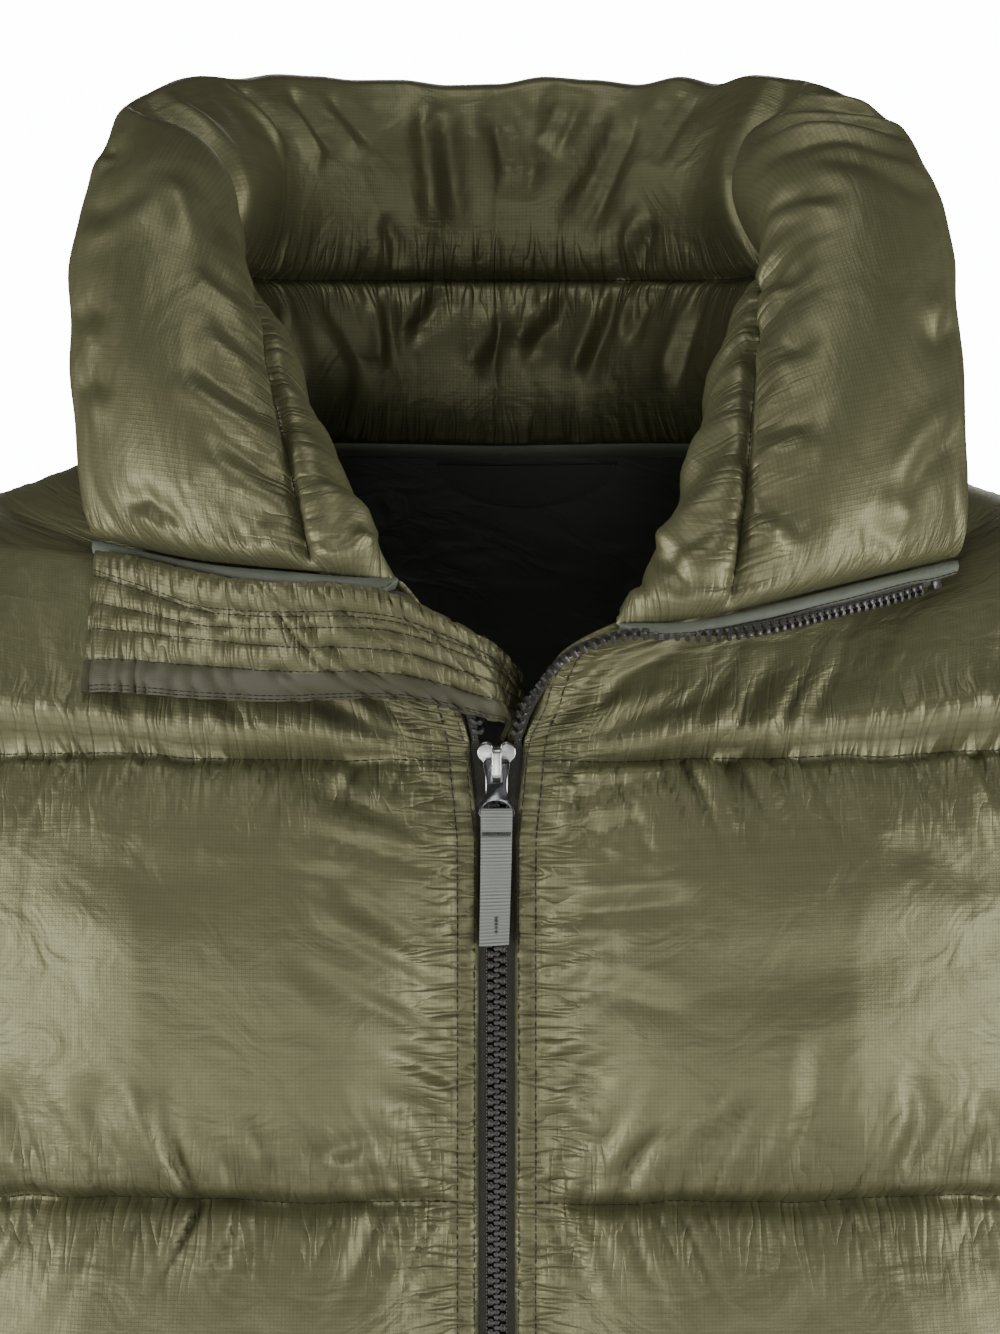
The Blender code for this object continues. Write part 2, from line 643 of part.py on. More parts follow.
def back_grid():
    """Points, normals and puffs of the back, made as its left half and mirrored."""
    levels = body_levels()
    neck_stations = [s for s in COLLAR_STATIONS if s <= HIGH_POINT_DISTANCE]
    seam_columns = 4
    columns = len(neck_stations) + seam_columns
    rows = []
    for z, _ in levels:
        line = level_row(z, 0.0, False)
        total = length_of(line)
        inner = np.linspace(0, total - 26, columns - 2)
        rows.append(along(line, np.array([*inner, total - 9, total])))
    lower = np.array(rows)
    neck = neck_line(1, neck_stations)
    seam_x = np.linspace(HIGH_POINT_X, SHOULDER_TIP_X, seam_columns + 1)[1:]
    seam = np.column_stack([seam_x, np.zeros_like(seam_x), shoulder_z(seam_x)])
    top = np.vstack([neck, seam])
    turns = np.linspace(float(armhole_turn(YOKE_SEAM_Z)), 0, 4)
    shares = np.linspace(0, 1, len(turns))
    left = lower[-1][0] * (1 - shares[:, None]) + top[0] * shares[:, None]
    patch = blended_patch(lower[-1], top, left, armhole(turns, False), shares)
    form = depth(patch[..., 0], patch[..., 2], False)
    lift = (top[:, 1] - form[-1])[None, :] * (shares ** 1.5)[:, None]
    patch[..., 1] = form + lift
    points = np.concatenate([lower, patch[1:]])
    mirrored = np.concatenate([(points * np.array([-1, 1, 1]))[:, :0:-1], points], axis=1)
    normals = grid_normals(mirrored, False)
    normals *= np.where(normals[..., 1:2] < -0.2, -1, 1)
    middle = columns - 1
    below = len(lower)
    for sign, edge in ((1, -1), (-1, 0)):
        mirror = np.array([sign, 1, 1])
        for r, (z, _) in enumerate(levels):
            if z <= ARMHOLE_UNDERARM_Z - 1:
                normals[r, edge] = np.array([1, 0, 0]) * mirror
                mirrored[r, edge, 1] = GAP / 2
            else:
                normals[r, edge] = armhole_facing(armhole_turn(z), False) * mirror
                mirrored[r, edge, 0] -= sign * GAP / 2
        for k, turn in enumerate(turns[1:], start=below):
            normals[k, edge] = armhole_facing(turn, False) * mirror
            mirrored[k, edge, 0] -= sign * GAP / 2
        slope = unit(np.array([SHOULDER_DROP, 0.0, 1.0])) * mirror
        facing = neck_facing(sign, neck_stations)
        way = neck_way(sign, neck_stations)
        for k in range(len(neck_stations)):
            normals[-1, middle + sign * k] = facing[k]
            mirrored[-1, middle + sign * k] -= way[k] * NECK_GAP / 2 / (1 if k else 2)
        high = middle + sign * (len(neck_stations) - 1)
        normals[-1, high] = facing[-1]
        for k in range(len(neck_stations) - 1, columns):
            mirrored[-1, middle + sign * k, 1] = GAP / 2
            if k > len(neck_stations) - 1:
                normals[-1, middle + sign * k] = slope
    away = np.zeros(mirrored.shape[:2])
    for r in range(len(mirrored)):
        steps = np.linalg.norm(np.diff(mirrored[r], axis=0), axis=1)
        away[r] = np.concatenate([[0], np.cumsum(steps)])
    ends = rise(np.minimum(away, away[:, -1:] - away), SEAM_RISE)
    ends *= underarm_pinch(np.abs(mirrored) * np.array([1, 1, -1]), False)
    fullness = np.array([f for _, f in levels])
    yoke_full = swell(shares[1:])
    outside = np.vstack([
        fullness[:, None] * BODY_PUFF_OUT * ends[:below],
        yoke_full[:, None] * YOKE_PUFF_OUT * 1.4 * ends[below:],
    ])
    inside = np.vstack([
        fullness[:, None] * BODY_PUFF_IN * ends[:below],
        0 * ends[below:],
    ])
    return mirrored, normals, outside + SEAM_HALF, inside + SEAM_HALF


def build_back():
    points, normals, outside, inside = back_grid()
    padded_wall("back", points, normals, outside, inside, "shell_ripstop")
    build_lining(points, normals)


def build_lining(points, normals):
    """The back's lining, a smooth sheet just inside its padding."""
    depth_in = np.full(points.shape[:2], SEAM_HALF + BODY_PUFF_IN + LINING_SLACK)
    depth_in[-1] = SEAM_HALF + 0.8
    depth_in[-3:-1] = SEAM_HALF + LINING_SLACK + 1.5
    depth_in += GAP + LINING_THICKNESS / 2
    moved = points - normals * depth_in[..., None]
    upper = 4
    rows = [0, 4, 8, 12, 13, 14, 15, 16, *range(len(points) - upper, len(points))]
    moved = moved[sorted(set(rows))][:, 2:-2]
    thin_sheet("lining_back", moved, LINING_THICKNESS, "lining")
    build_neck_patch(moved, normals[sorted(set(rows))][:, 2:-2])


# --------------------------------------------------------------------------- sleeves

def sleeve_columns():
    """(turn, whether it is on the front) of each column, from the shoulder's tip forwards."""
    yoke = np.linspace(float(armhole_turn(YOKE_SEAM_Z)), 0, 4)
    level = [z for z, _ in body_levels() if z > ARMHOLE_UNDERARM_Z - 1]
    turns = sorted({*(float(t) for t in yoke), *(float(armhole_turn(z)) for z in level)})
    front = [(t, True) for t in turns]
    back = [(t, False) for t in reversed(turns[1:-1])]
    return front + back


def sleeve_ring(row, angles):
    x, y, z, tilt, across, through = row
    lean = math.radians(tilt)
    outward = np.array([math.cos(lean), 0.0, math.sin(lean)])
    forward = np.array([0.0, -1.0, 0.0])
    ring = np.outer(np.cos(angles) * across, outward) + np.outer(np.sin(angles) * through, forward)
    return np.array([x, y, z]) + ring


def sleeve_grid(side):
    columns = sleeve_columns()
    first = np.array([armhole(np.array(t), f) for t, f in columns])
    facing = np.array([armhole_facing(np.array(t), f) for t, f in columns])
    first[:, 0] += GAP / 2
    angles = np.array([t if f else 2 * np.pi - t for t, f in columns])
    rings = [first] + [sleeve_ring(row, angles) for row in SLEEVE]
    rings = np.array(rings)
    rows = []
    fullness = []
    spots = np.arange(len(rings), dtype=float)
    for k in range(len(rings) - 1):
        for share in PUFF_ROWS[:-1]:
            rows.append(k + share)
            fullness.append(float(swell(share)))
    rows.append(float(len(rings) - 1))
    fullness.append(0.0)
    points = smooth(spots, rings, rows)
    normals = -grid_normals(points, True)
    centre = points.mean(axis=1, keepdims=True)
    if ((points - centre) * normals).sum() < 0:
        normals = -normals
    normals[0] = facing
    room = np.linalg.norm(np.gradient(rings, axis=0), axis=-1)
    narrow = np.clip(smooth(spots, room, np.array(rows)) / 90.0, 0.12, 1)
    narrow = narrow * np.where(
        points[..., 1] < 0, underarm_pinch(points, True), underarm_pinch(points, False)
    )
    outside = np.array(fullness)[:, None] * SLEEVE_PUFF_OUT * narrow + SEAM_HALF
    inside = np.array(fullness)[:, None] * SLEEVE_PUFF_IN * narrow + SEAM_HALF
    mirror = np.array([side, 1, 1])
    return points * mirror, normals * mirror, outside, inside


def build_sleeve(name, side):
    points, normals, outside, inside = sleeve_grid(side)
    padded_wall(name, points, normals, outside, inside, "shell_ripstop", ring=True)


# --------------------------------------------------------------------------- collar and trims

def collar_grid():
    right = collar_surface(COLLAR_STATIONS, COLLAR_ROWS, -1)[:, :0:-1]
    left = collar_surface(COLLAR_STATIONS, COLLAR_ROWS, 1)
    points = np.concatenate([right, left], axis=1)
    normals = grid_normals(points, False)
    back = len(COLLAR_STATIONS) - 1
    if normals[2, back, 1] < 0:
        normals = -normals
    facing = np.concatenate(
        [neck_facing(-1, COLLAR_STATIONS)[:0:-1], neck_facing(1, COLLAR_STATIONS)]
    )
    normals[0] = facing
    stations = np.array(COLLAR_STATIONS)
    away = COLLAR_STATIONS[-1] - np.concatenate([stations[:0:-1], stations])
    ends = rise(away, COLLAR_END_RISE)
    rows = np.array(COLLAR_ROWS)
    seam = COLLAR_PARTS[1]
    full = np.where(rows < seam, swell(rows / seam), swell((rows - seam) / (1 - seam)))
    base = np.where(rows >= 1, COLLAR_EDGE_HALF, SEAM_HALF)
    outside = full[:, None] * COLLAR_PUFF_OUT * ends + base[:, None]
    inside = full[:, None] * COLLAR_PUFF_IN * ends + base[:, None]
    outside[-1, [0, -1]] = SEAM_HALF
    inside[-1, [0, -1]] = SEAM_HALF
    return points, normals, outside, inside


def build_collar():
    points, normals, outside, inside = collar_grid()
    padded_wall("collar", points, normals, outside, inside, "shell_ripstop")


def zip_rows(side):
    """The open zip: middle of the teeth, way to the cloth and reach, mirrored to its side."""
    table = ZIP_LEFT if side > 0 else ZIP_RIGHT
    mirror = np.array([side, 1, 1])
    middles = np.array([row[:3] for row in table], float) * mirror
    ways = unit(np.array([row[3] for row in table], float)) * mirror
    reach = np.array([row[4] for row in table], float)
    return middles, ways, reach


def build_binding(name, side, width):
    """The strip that binds the collar's end."""
    rows = np.array(COLLAR_ROWS[1:])
    end = collar_surface([COLLAR_STATIONS[-1]], rows, side)[:, 0]
    inner = collar_surface([COLLAR_STATIONS[-1] - 2], rows, side)[:, 0]
    way = unit(unit(end - inner) + np.array([0.0, -0.1, -0.6]))
    strips = [end + way * (3 * GAP + width * share) for share in (0.0, 0.5, 1.0)]
    points = np.stack(strips, axis=1)
    thin_sheet(name, points, 2 * SEAM_HALF + 0.8, "binding")


def centre_line(levels):
    """The middle of the fronts' zip edges at these heights."""
    levels = np.asarray(levels, float)
    return -depth(np.full_like(levels, ZIP_EDGE_X), levels, True) + ZIP_RECESS


def closed_levels():
    return [z for z, _ in body_levels()]


def build_zip_tape(name, side, binding_width):
    """One tape, up the closed front, through the slider and out along the collar's end."""
    grid = []
    for z in closed_levels():
        y = float(centre_line([z])[0])
        grid.append(((side * (CHAIN_HALF_WIDTH + GAP), y, z), (side * (zip_edge_x(z) - GAP), y, z)))
    middles, ways, reach = zip_rows(side)
    for k in range(len(middles)):
        past_neck = abs(middles[k][0]) > 27
        stop = reach[k] - 2 * GAP - (binding_width + 5 * GAP if past_neck else 3 * GAP)
        grid.append((middles[k] + ways[k] * 2.0, middles[k] + ways[k] * stop))
    thin_sheet(name, grid, TAPE_THICKNESS, "zip_tape")


def build_chains():
    levels = [SLIDER_TOP_Z - SLIDER_LENGTH - GAP]
    levels += [z for z in reversed(closed_levels()) if z < levels[0] - 4]
    grid = []
    for z in levels:
        y = float(centre_line([z])[0])
        bottom = z <= -BODY_LENGTH + 1
        height = z + 12.6 if bottom else z
        grid.append([(x, y, height) for x in (-CHAIN_HALF_WIDTH, 0, CHAIN_HALF_WIDTH)])
    thin_sheet("zip_chain_closed", grid, 2 * CHAIN_HALF_THICKNESS, "zip_teeth")
    for name, side in (("zip_chain_left", 1), ("zip_chain_right", -1)):
        middles, ways, _ = zip_rows(side)
        middles = middles.copy()
        middles[-1] = middles[-2] + (middles[-1] - middles[-2]) * 0.85
        strip = [(m - w * 1.6, m + w * 1.6) for m, w in zip(middles, ways)]
        thin_sheet(name, strip, 2 * CHAIN_HALF_THICKNESS, "zip_teeth")


def build_stops():
    for name, side in (("zip_stop_left", 1), ("zip_stop_right", -1)):
        middles, ways, _ = zip_rows(side)
        ahead = unit(middles[-1] - middles[-2])
        start = middles[-2] + (middles[-1] - middles[-2]) * 0.85 + ahead * GAP
        strip = [
            (start + ahead * run - ways[-1] * 1.5, start + ahead * run + ways[-1] * 1.5)
            for run in (0.0, 3.4)
        ]
        thin_sheet(name, strip, 2.8, "zip_teeth")
    y = float(centre_line([-BODY_LENGTH + 6])[0])
    box = box_mesh("zip_bottom_box", (5.8, 4.4, 12.0), (0, y, -BODY_LENGTH + 6), 0.6)
    add("zip_bottom_box", box, "zip_teeth")


def build_flap():
    grid = []
    for sewn, free in FLAP_OPEN:
        sewn = np.array(sewn, float)
        free = np.array(free, float)
        grid.append((sewn, (sewn + free) / 2, free))
    for z in [z for z in reversed(closed_levels()[::2]) if z < -110]:
        y = float(centre_line([z])[0]) - ZIP_RECESS + FLAP_BEHIND
        middle = (FLAP_SEWN_X + FLAP_FREE_X) / 2
        grid.append([np.array([x, y, z + 2]) for x in (FLAP_SEWN_X, middle, FLAP_FREE_X)])
    thin_sheet("storm_flap", grid, FLAP_THICKNESS, "shell_ripstop")


def build_neck_trims():
    """The thin binding along the back neck seam and the half-moon patch under it."""
    stations = np.linspace(-120, 120, 17)
    seam = np.array([neck_line(1 if s >= 0 else -1, [abs(s)])[0] for s in stations])
    facing = np.array([neck_facing(1 if s >= 0 else -1, [abs(s)])[0] for s in stations])
    radius = 1.0
    inward = SEAM_HALF + LINING_THICKNESS + 1.6 + 3 * GAP + radius
    path = seam - facing * inward - np.array([0, 0, 1.2])
    curve = bpy.data.curves.new("neck_binding", "CURVE")
    curve.dimensions = "3D"
    curve.bevel_depth = radius * MM
    curve.bevel_resolution = 1
    curve.use_fill_caps = True
    spline = curve.splines.new("POLY")
    spline.points.add(len(path) - 1)
    for spot, place in zip(spline.points, path):
        spot.co = (*(place * MM), 1)
    curve.materials.append(material("binding"))
    made = bpy.data.objects.new("neck_binding", curve)
    bpy.data.collections["down_jacket"].objects.link(made)


def build_neck_patch(points, normals):
    """The half-moon patch on the lining, its straight edge up under the neck seam."""
    middle = points.shape[1] // 2
    rows = np.arange(len(points) - 4, len(points))
    knots = np.arange(4.0)
    offset = LINING_THICKNESS / 2 + GAP + PATCH_THICKNESS / 2
    grid = []
    for down in np.linspace(0, 1, 5):
        half = PATCH_WIDTH / 2 * math.sqrt(max(1 - down ** 2, 0.06))
        line = []
        for share in np.linspace(-1, 1, 9):
            x = PATCH_X + half * share
            spots = np.array([
                [np.interp(x, points[r, :, 0], points[r, :, k]) for k in range(3)] for r in rows
            ])
            ways = np.array([
                [np.interp(x, points[r, :, 0], normals[r, :, k]) for k in range(3)] for r in rows
            ])
            walked = np.concatenate([[0], np.cumsum(np.linalg.norm(np.diff(spots, axis=0), axis=1))])
            at = walked[-1] - PATCH_DROP - PATCH_HEIGHT * down
            place = np.array([np.interp(at, walked, spots[:, k]) for k in range(3)])
            way = np.array([np.interp(at, walked, ways[:, k]) for k in range(3)])
            line.append(place - unit(way) * offset)
        grid.append(line)
    thin_sheet("neck_patch", grid, PATCH_THICKNESS, "lining")


# --------------------------------------------------------------------------- slider and pull

def build_slider():
    y = float(centre_line([SLIDER_TOP_Z - SLIDER_LENGTH / 2])[0])
    low = SLIDER_TOP_Z - SLIDER_LENGTH
    half = SLIDER_WIDTH / 2
    outline = ((-half, SLIDER_TOP_Z - 4), (-half + 1.6, SLIDER_TOP_Z), (half - 1.6, SLIDER_TOP_Z),
               (half, SLIDER_TOP_Z - 4), (half - 0.9, low + 1), (half - 1.9, low),
               (-half + 1.9, low), (-half + 0.9, low + 1))
    front_y = y - SLIDER_HALF_DEPTH + SLIDER_PLATE / 2
    back_y = y + SLIDER_HALF_DEPTH - SLIDER_PLATE / 2
    body = add("slider_body", flat_plate("slider_body", outline, front_y, SLIDER_PLATE, 0.35),
               "slider_metal")
    join(body, "slider_back_plate", flat_plate("slider_back_plate", outline, back_y, SLIDER_PLATE))
    post = (2.4, 2 * SLIDER_HALF_DEPTH - SLIDER_PLATE, 6.0)
    join(body, "slider_post", box_mesh("slider_post", post, (0, y, SLIDER_TOP_Z - 3.4), 0))
    face = y - SLIDER_HALF_DEPTH - GAP
    arch_out = PIVOT_Y - 2.6
    arch = ((face, -86.6), (arch_out + 1.0, -86.6), (arch_out, -88.2), (arch_out, -93.6),
            (face, -97.4))
    inner = ((face + 0.5, -88.3), (PIVOT_Y - 1.3, -88.3), (PIVOT_Y - 1.3, -92.6),
             (face + 0.5, -95.2))
    bridge = add("slider_bridge", side_plate("slider_bridge", arch, BRIDGE_WIDTH), "slider_metal")
    cut(bridge, "bridge_tunnel", side_plate("bridge_tunnel", inner, BRIDGE_WIDTH + 2))


def side_plate(name, outline, width):
    """A plate of this outline in y and z, standing across x about the centre."""
    plate = bmesh.new()
    corners = [plate.verts.new((-width / 2 * MM, y * MM, z * MM)) for y, z in outline]
    face = plate.faces.new(corners)
    made = bmesh.ops.extrude_face_region(plate, geom=[face])
    moved = [v for v in made["geom"] if isinstance(v, bmesh.types.BMVert)]
    bmesh.ops.translate(plate, vec=(width * MM, 0, 0), verts=moved)
    bmesh.ops.recalc_face_normals(plate, faces=plate.faces)
    mesh = bpy.data.meshes.new(name)
    plate.to_mesh(mesh)
    plate.free()
    return mesh


def build_pull():
    """The metal puller in the bridge and the ribbon looped through its foot, on the hinge's axis."""
    pivot = bpy.data.objects.new("zip_pull_axis", None)
    pivot.location = (0, PIVOT_Y * MM, PIVOT_Z * MM)
    pivot.rotation_euler.x = -math.radians(PULL_LEAN)
    bpy.data.collections["down_jacket"].objects.link(pivot)
    head = PULLER_HEAD_WIDTH / 2
    foot = PULLER_FOOT_WIDTH / 2
    top = 0.8
    low = top - PULLER_LENGTH
    outline = ((-head, top - 1), (-head + 1, top), (head - 1, top), (head, top - 1),
               (head - 0.5, -8.0), (foot, -10.2), (foot, low), (-foot, low), (-foot, -10.2),
               (-head + 0.5, -8.0))
    puller = add("puller", flat_plate("puller", outline, 0, PULLER_THICKNESS, 0.3), "slider_metal")
    puller.parent = pivot
    cut(puller, "puller_window", box_mesh("puller_window", (3.4, 6, 5.8), (0, 0, -3.7), 0))
    cut(puller, "puller_slot", box_mesh("puller_slot", (9.0, 6, 1.9), (0, 0, low + 2.75), 0))
    bar_z = low + 0.9
    ribbon_top = low + 3.0
    ribbon = add(
        "pull_ribbon",
        box_mesh("pull_ribbon", (RIBBON_WIDTH, RIBBON_THICKNESS + 1.6, RIBBON_LENGTH + 3),
                 (0, 0, ribbon_top - (RIBBON_LENGTH + 3) / 2), 0.5),
        "ribbon",
    )
    ribbon.parent = pivot
    cut(ribbon, "ribbon_loop",
        box_mesh("ribbon_loop", (20, PULLER_THICKNESS + 0.6, 2.4), (0, 0, bar_z), 0))


def clear_scene():
    for thing in list(bpy.data.objects):
        bpy.data.objects.remove(thing, do_unlink=True)
    for name in ("down_jacket", "cutters"):
        made = bpy.data.collections.new(name)
        bpy.context.scene.collection.children.link(made)


def main():
    clear_scene()
    build_front("front_left", 1)
    build_front("front_right", -1)
    build_back()
    build_sleeve("sleeve_left", 1)
    build_sleeve("sleeve_right", -1)
    build_collar()
    build_binding("collar_binding_left", 1, LEFT_BINDING_WIDTH)
    build_binding("collar_binding_right", -1, RIGHT_BINDING_WIDTH)
    build_flap()
    build_zip_tape("zip_tape_left", 1, LEFT_BINDING_WIDTH)
    build_zip_tape("zip_tape_right", -1, RIGHT_BINDING_WIDTH)
    build_chains()
    build_stops()
    build_neck_trims()
    build_slider()
    build_pull()


main()
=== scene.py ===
"""Looks of an olive down jacket, filled out as if worn, with its collar folded open.

Sizes and tables are in millimetres, in the part's own frame: +Z up, +X the wearer's left and
-Y forwards, with the origin midway between the high points of the shoulders. Meshes are in metres.
"""

import logging
import math
from dataclasses import dataclass, replace
from enum import Enum
from typing import Callable, Optional, Sequence

import bmesh
import bpy
import numpy as np
from mathutils import Matrix, Vector


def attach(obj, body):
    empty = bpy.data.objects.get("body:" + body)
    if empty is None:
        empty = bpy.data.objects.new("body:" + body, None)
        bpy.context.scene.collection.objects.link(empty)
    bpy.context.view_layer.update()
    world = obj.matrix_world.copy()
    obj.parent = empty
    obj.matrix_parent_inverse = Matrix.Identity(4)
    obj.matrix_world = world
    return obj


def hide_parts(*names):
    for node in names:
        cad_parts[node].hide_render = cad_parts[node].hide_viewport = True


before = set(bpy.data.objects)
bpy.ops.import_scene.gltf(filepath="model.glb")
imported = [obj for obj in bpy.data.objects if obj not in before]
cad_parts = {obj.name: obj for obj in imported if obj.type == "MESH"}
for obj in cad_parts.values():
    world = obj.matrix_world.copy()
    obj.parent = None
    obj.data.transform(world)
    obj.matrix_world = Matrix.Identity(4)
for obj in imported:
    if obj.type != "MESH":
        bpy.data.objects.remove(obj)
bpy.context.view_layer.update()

MM = 0.001
# points nearer than this are one, in metres: round a sleeve's seam, and along a tube's
RING_WELD = 0.00002
TUBE_WELD = 0.00003
LOG = logging.getLogger("down_jacket")

Array = np.ndarray
Colour = tuple[float, float, float]
MeshObject = bpy.types.Object


class Side(Enum):
    """The wearer's left, at +X, or right."""

    LEFT = 1
    RIGHT = -1

    @property
    def mirror(self) -> Array:
        """What a point of the left side is multiplied by."""
        return np.array([self.value, 1.0, 1.0])

    @property
    def word(self) -> str:
        """The side's name in a piece's name."""
        return self.name.lower()


# ------------------------------------------------------------------------------- arithmetic

def unit(vectors: Array) -> Array:
    """Vectors of length one.

    Args:
        vectors: Vectors along the last axis.

    Returns:
        The same vectors, scaled.
    """
    return vectors / (np.linalg.norm(vectors, axis=-1, keepdims=True) + 1e-12)


def smooth(knots: Sequence[float], values: Array, at: Array) -> Array:
    """A cubic curve through values, its slope at each knot taken from the knots beside it.

    Args:
        knots: Rising positions of the values.
        values: One value, point or grid for each knot.
        at: Positions to read, of any shape when values are numbers, else a list.

    Returns:
        The curve's values at those positions.
    """
    knots = np.asarray(knots, float)
    values = np.asarray(values, float)
    at = np.asarray(at, float)
    slopes = np.gradient(values, knots, axis=0)
    left = np.clip(np.searchsorted(knots, at, side="right") - 1, 0, len(knots) - 2)
    step = knots[left + 1] - knots[left]
    t = (at - knots[left]) / step
    spread = t.shape + (1,) * (values.ndim - 1)
    t, step = t.reshape(spread), step.reshape(spread)
    ease = t * t * (3 - 2 * t)
    ends = values[left] * (1 - ease) + values[left + 1] * ease
    return ends + slopes[left] * t * (1 - t) ** 2 * step - slopes[left + 1] * t * t * (1 - t) * step


def swell(share: Array) -> Array:
    """How full the padding is across a baffle: 0 at a seam, 1 halfway, 0 at the next seam."""
    return np.sin(np.pi * np.clip(share, 0, 1)) ** 0.55


def sag(share: Array, droop: float) -> Array:
    """A baffle's swell with its down sunk; share runs up from the lower seam, droop is under 1."""
    return swell(np.clip(share, 0, 1) ** droop)


def rise(distance: Array, reach: float) -> Array:
    """From 0 at an edge up to 1 at this reach from it, round at first."""
    t = np.clip(distance / reach, 0, 1)
    return np.sqrt(t * (2 - t))


def lengths(points: Array) -> Array:
    """Distance walked along a line of points, from 0 at its first."""
    steps = np.linalg.norm(np.diff(points, axis=0), axis=-1)
    return np.concatenate([np.zeros_like(steps[:1]), np.cumsum(steps, axis=0)])


def widths(grid: Array) -> Array:
    """Distance walked along each row of a grid of points."""
    return lengths(grid.transpose(1, 0, 2)).T


def forwards(count: int) -> Array:
    """That many vectors that face forwards."""
    return np.tile([0.0, -1.0, 0.0], (count, 1))


def loosened(points: Array, spare: Array | float) -> Array:
    """A grid of points enlarged this many times about its middle."""
    middle = points.mean(axis=(0, 1))
    return middle + (points - middle) * spare


def both_halves(half: Array) -> Array:
    """A left half's rows of points, with their mirror image joined on at the middle."""
    return np.concatenate([(half * Side.RIGHT.mirror)[:, :0:-1], half], axis=1)


def along(points: Array, distances: Array) -> Array:
    """Points at these distances along a polyline."""
    walked = lengths(points)
    return np.column_stack([np.interp(distances, walked, points[:, k]) for k in range(3)])


def grain(x: Array, y: Array, seed: int) -> Array:
    """Smooth random relief between -1 and 1, the same each run.

    Args:
        x: Positions across, one feature to a unit.
        y: Positions along, one feature to a unit.
        seed: Which relief.

    Returns:
        The relief at each position.
    """
    def corner(i: Array, j: Array) -> Array:
        mixed = np.sin(i * 127.1 + j * 311.7 + seed * 74.7) * 43758.5453
        return 2 * (mixed - np.floor(mixed)) - 1

    x, y = np.broadcast_arrays(np.asarray(x, float), np.asarray(y, float))
    i, j = np.floor(x), np.floor(y)
    u, v = x - i, y - j
    u, v = u * u * (3 - 2 * u), v * v * (3 - 2 * v)
    low = corner(i, j) * (1 - u) + corner(i + 1, j) * u
    high = corner(i, j + 1) * (1 - u) + corner(i + 1, j + 1) * u
    return low * (1 - v) + high * v


def refine(values: Array, axes: Sequence[int] = (0, 1)) -> Array:
    """Twice as many grid points, the new ones on a smooth curve through the old.

    Args:
        values: A grid of numbers or points, or a plain list with axes (0,).
        axes: The grid's axes to refine.

    Returns:
        The finer grid.
    """
    for axis in axes:
        rows = np.moveaxis(np.asarray(values, float), axis, 0)
        wide = np.concatenate([2 * rows[:1] - rows[1:2], rows, 2 * rows[-1:] - rows[-2:-1]])
        finer = np.empty((2 * len(rows) - 1,) + rows.shape[1:])
        finer[::2] = rows
        finer[1::2] = (9 * (wide[1:-2] + wide[2:-1]) - wide[:-3] - wide[3:]) / 16
        values = np.moveaxis(finer, 0, axis)
    return values


def round_rim(outer: Array, inner: Array) -> tuple[Array, Array]:
    """Thins a panel towards its four rims, as folded cloth does."""
    rows, columns = outer.shape[:2]
    from_rim = np.minimum.outer(np.minimum(np.arange(rows), np.arange(rows)[::-1]),
                                np.minimum(np.arange(columns), np.arange(columns)[::-1]))
    full = np.interp(from_rim, (0, 1, 2), (0.5, 0.88, 1.0))[..., None]
    middle = (outer + inner) / 2
    return middle + (outer - middle) * full, middle + (inner - middle) * full


def grid_normals(points: Array) -> Array:
    """The way each point of a grid faces, across its rows and columns."""
    return unit(np.cross(np.gradient(points, axis=1), np.gradient(points, axis=0)))


def fade(distance: Array, reach: float) -> Array:
    """From 1 at an edge down to 0 beyond this reach."""
    return np.exp(-((distance / reach) ** 2))


# ------------------------------------------------------------------------------- the cut's form

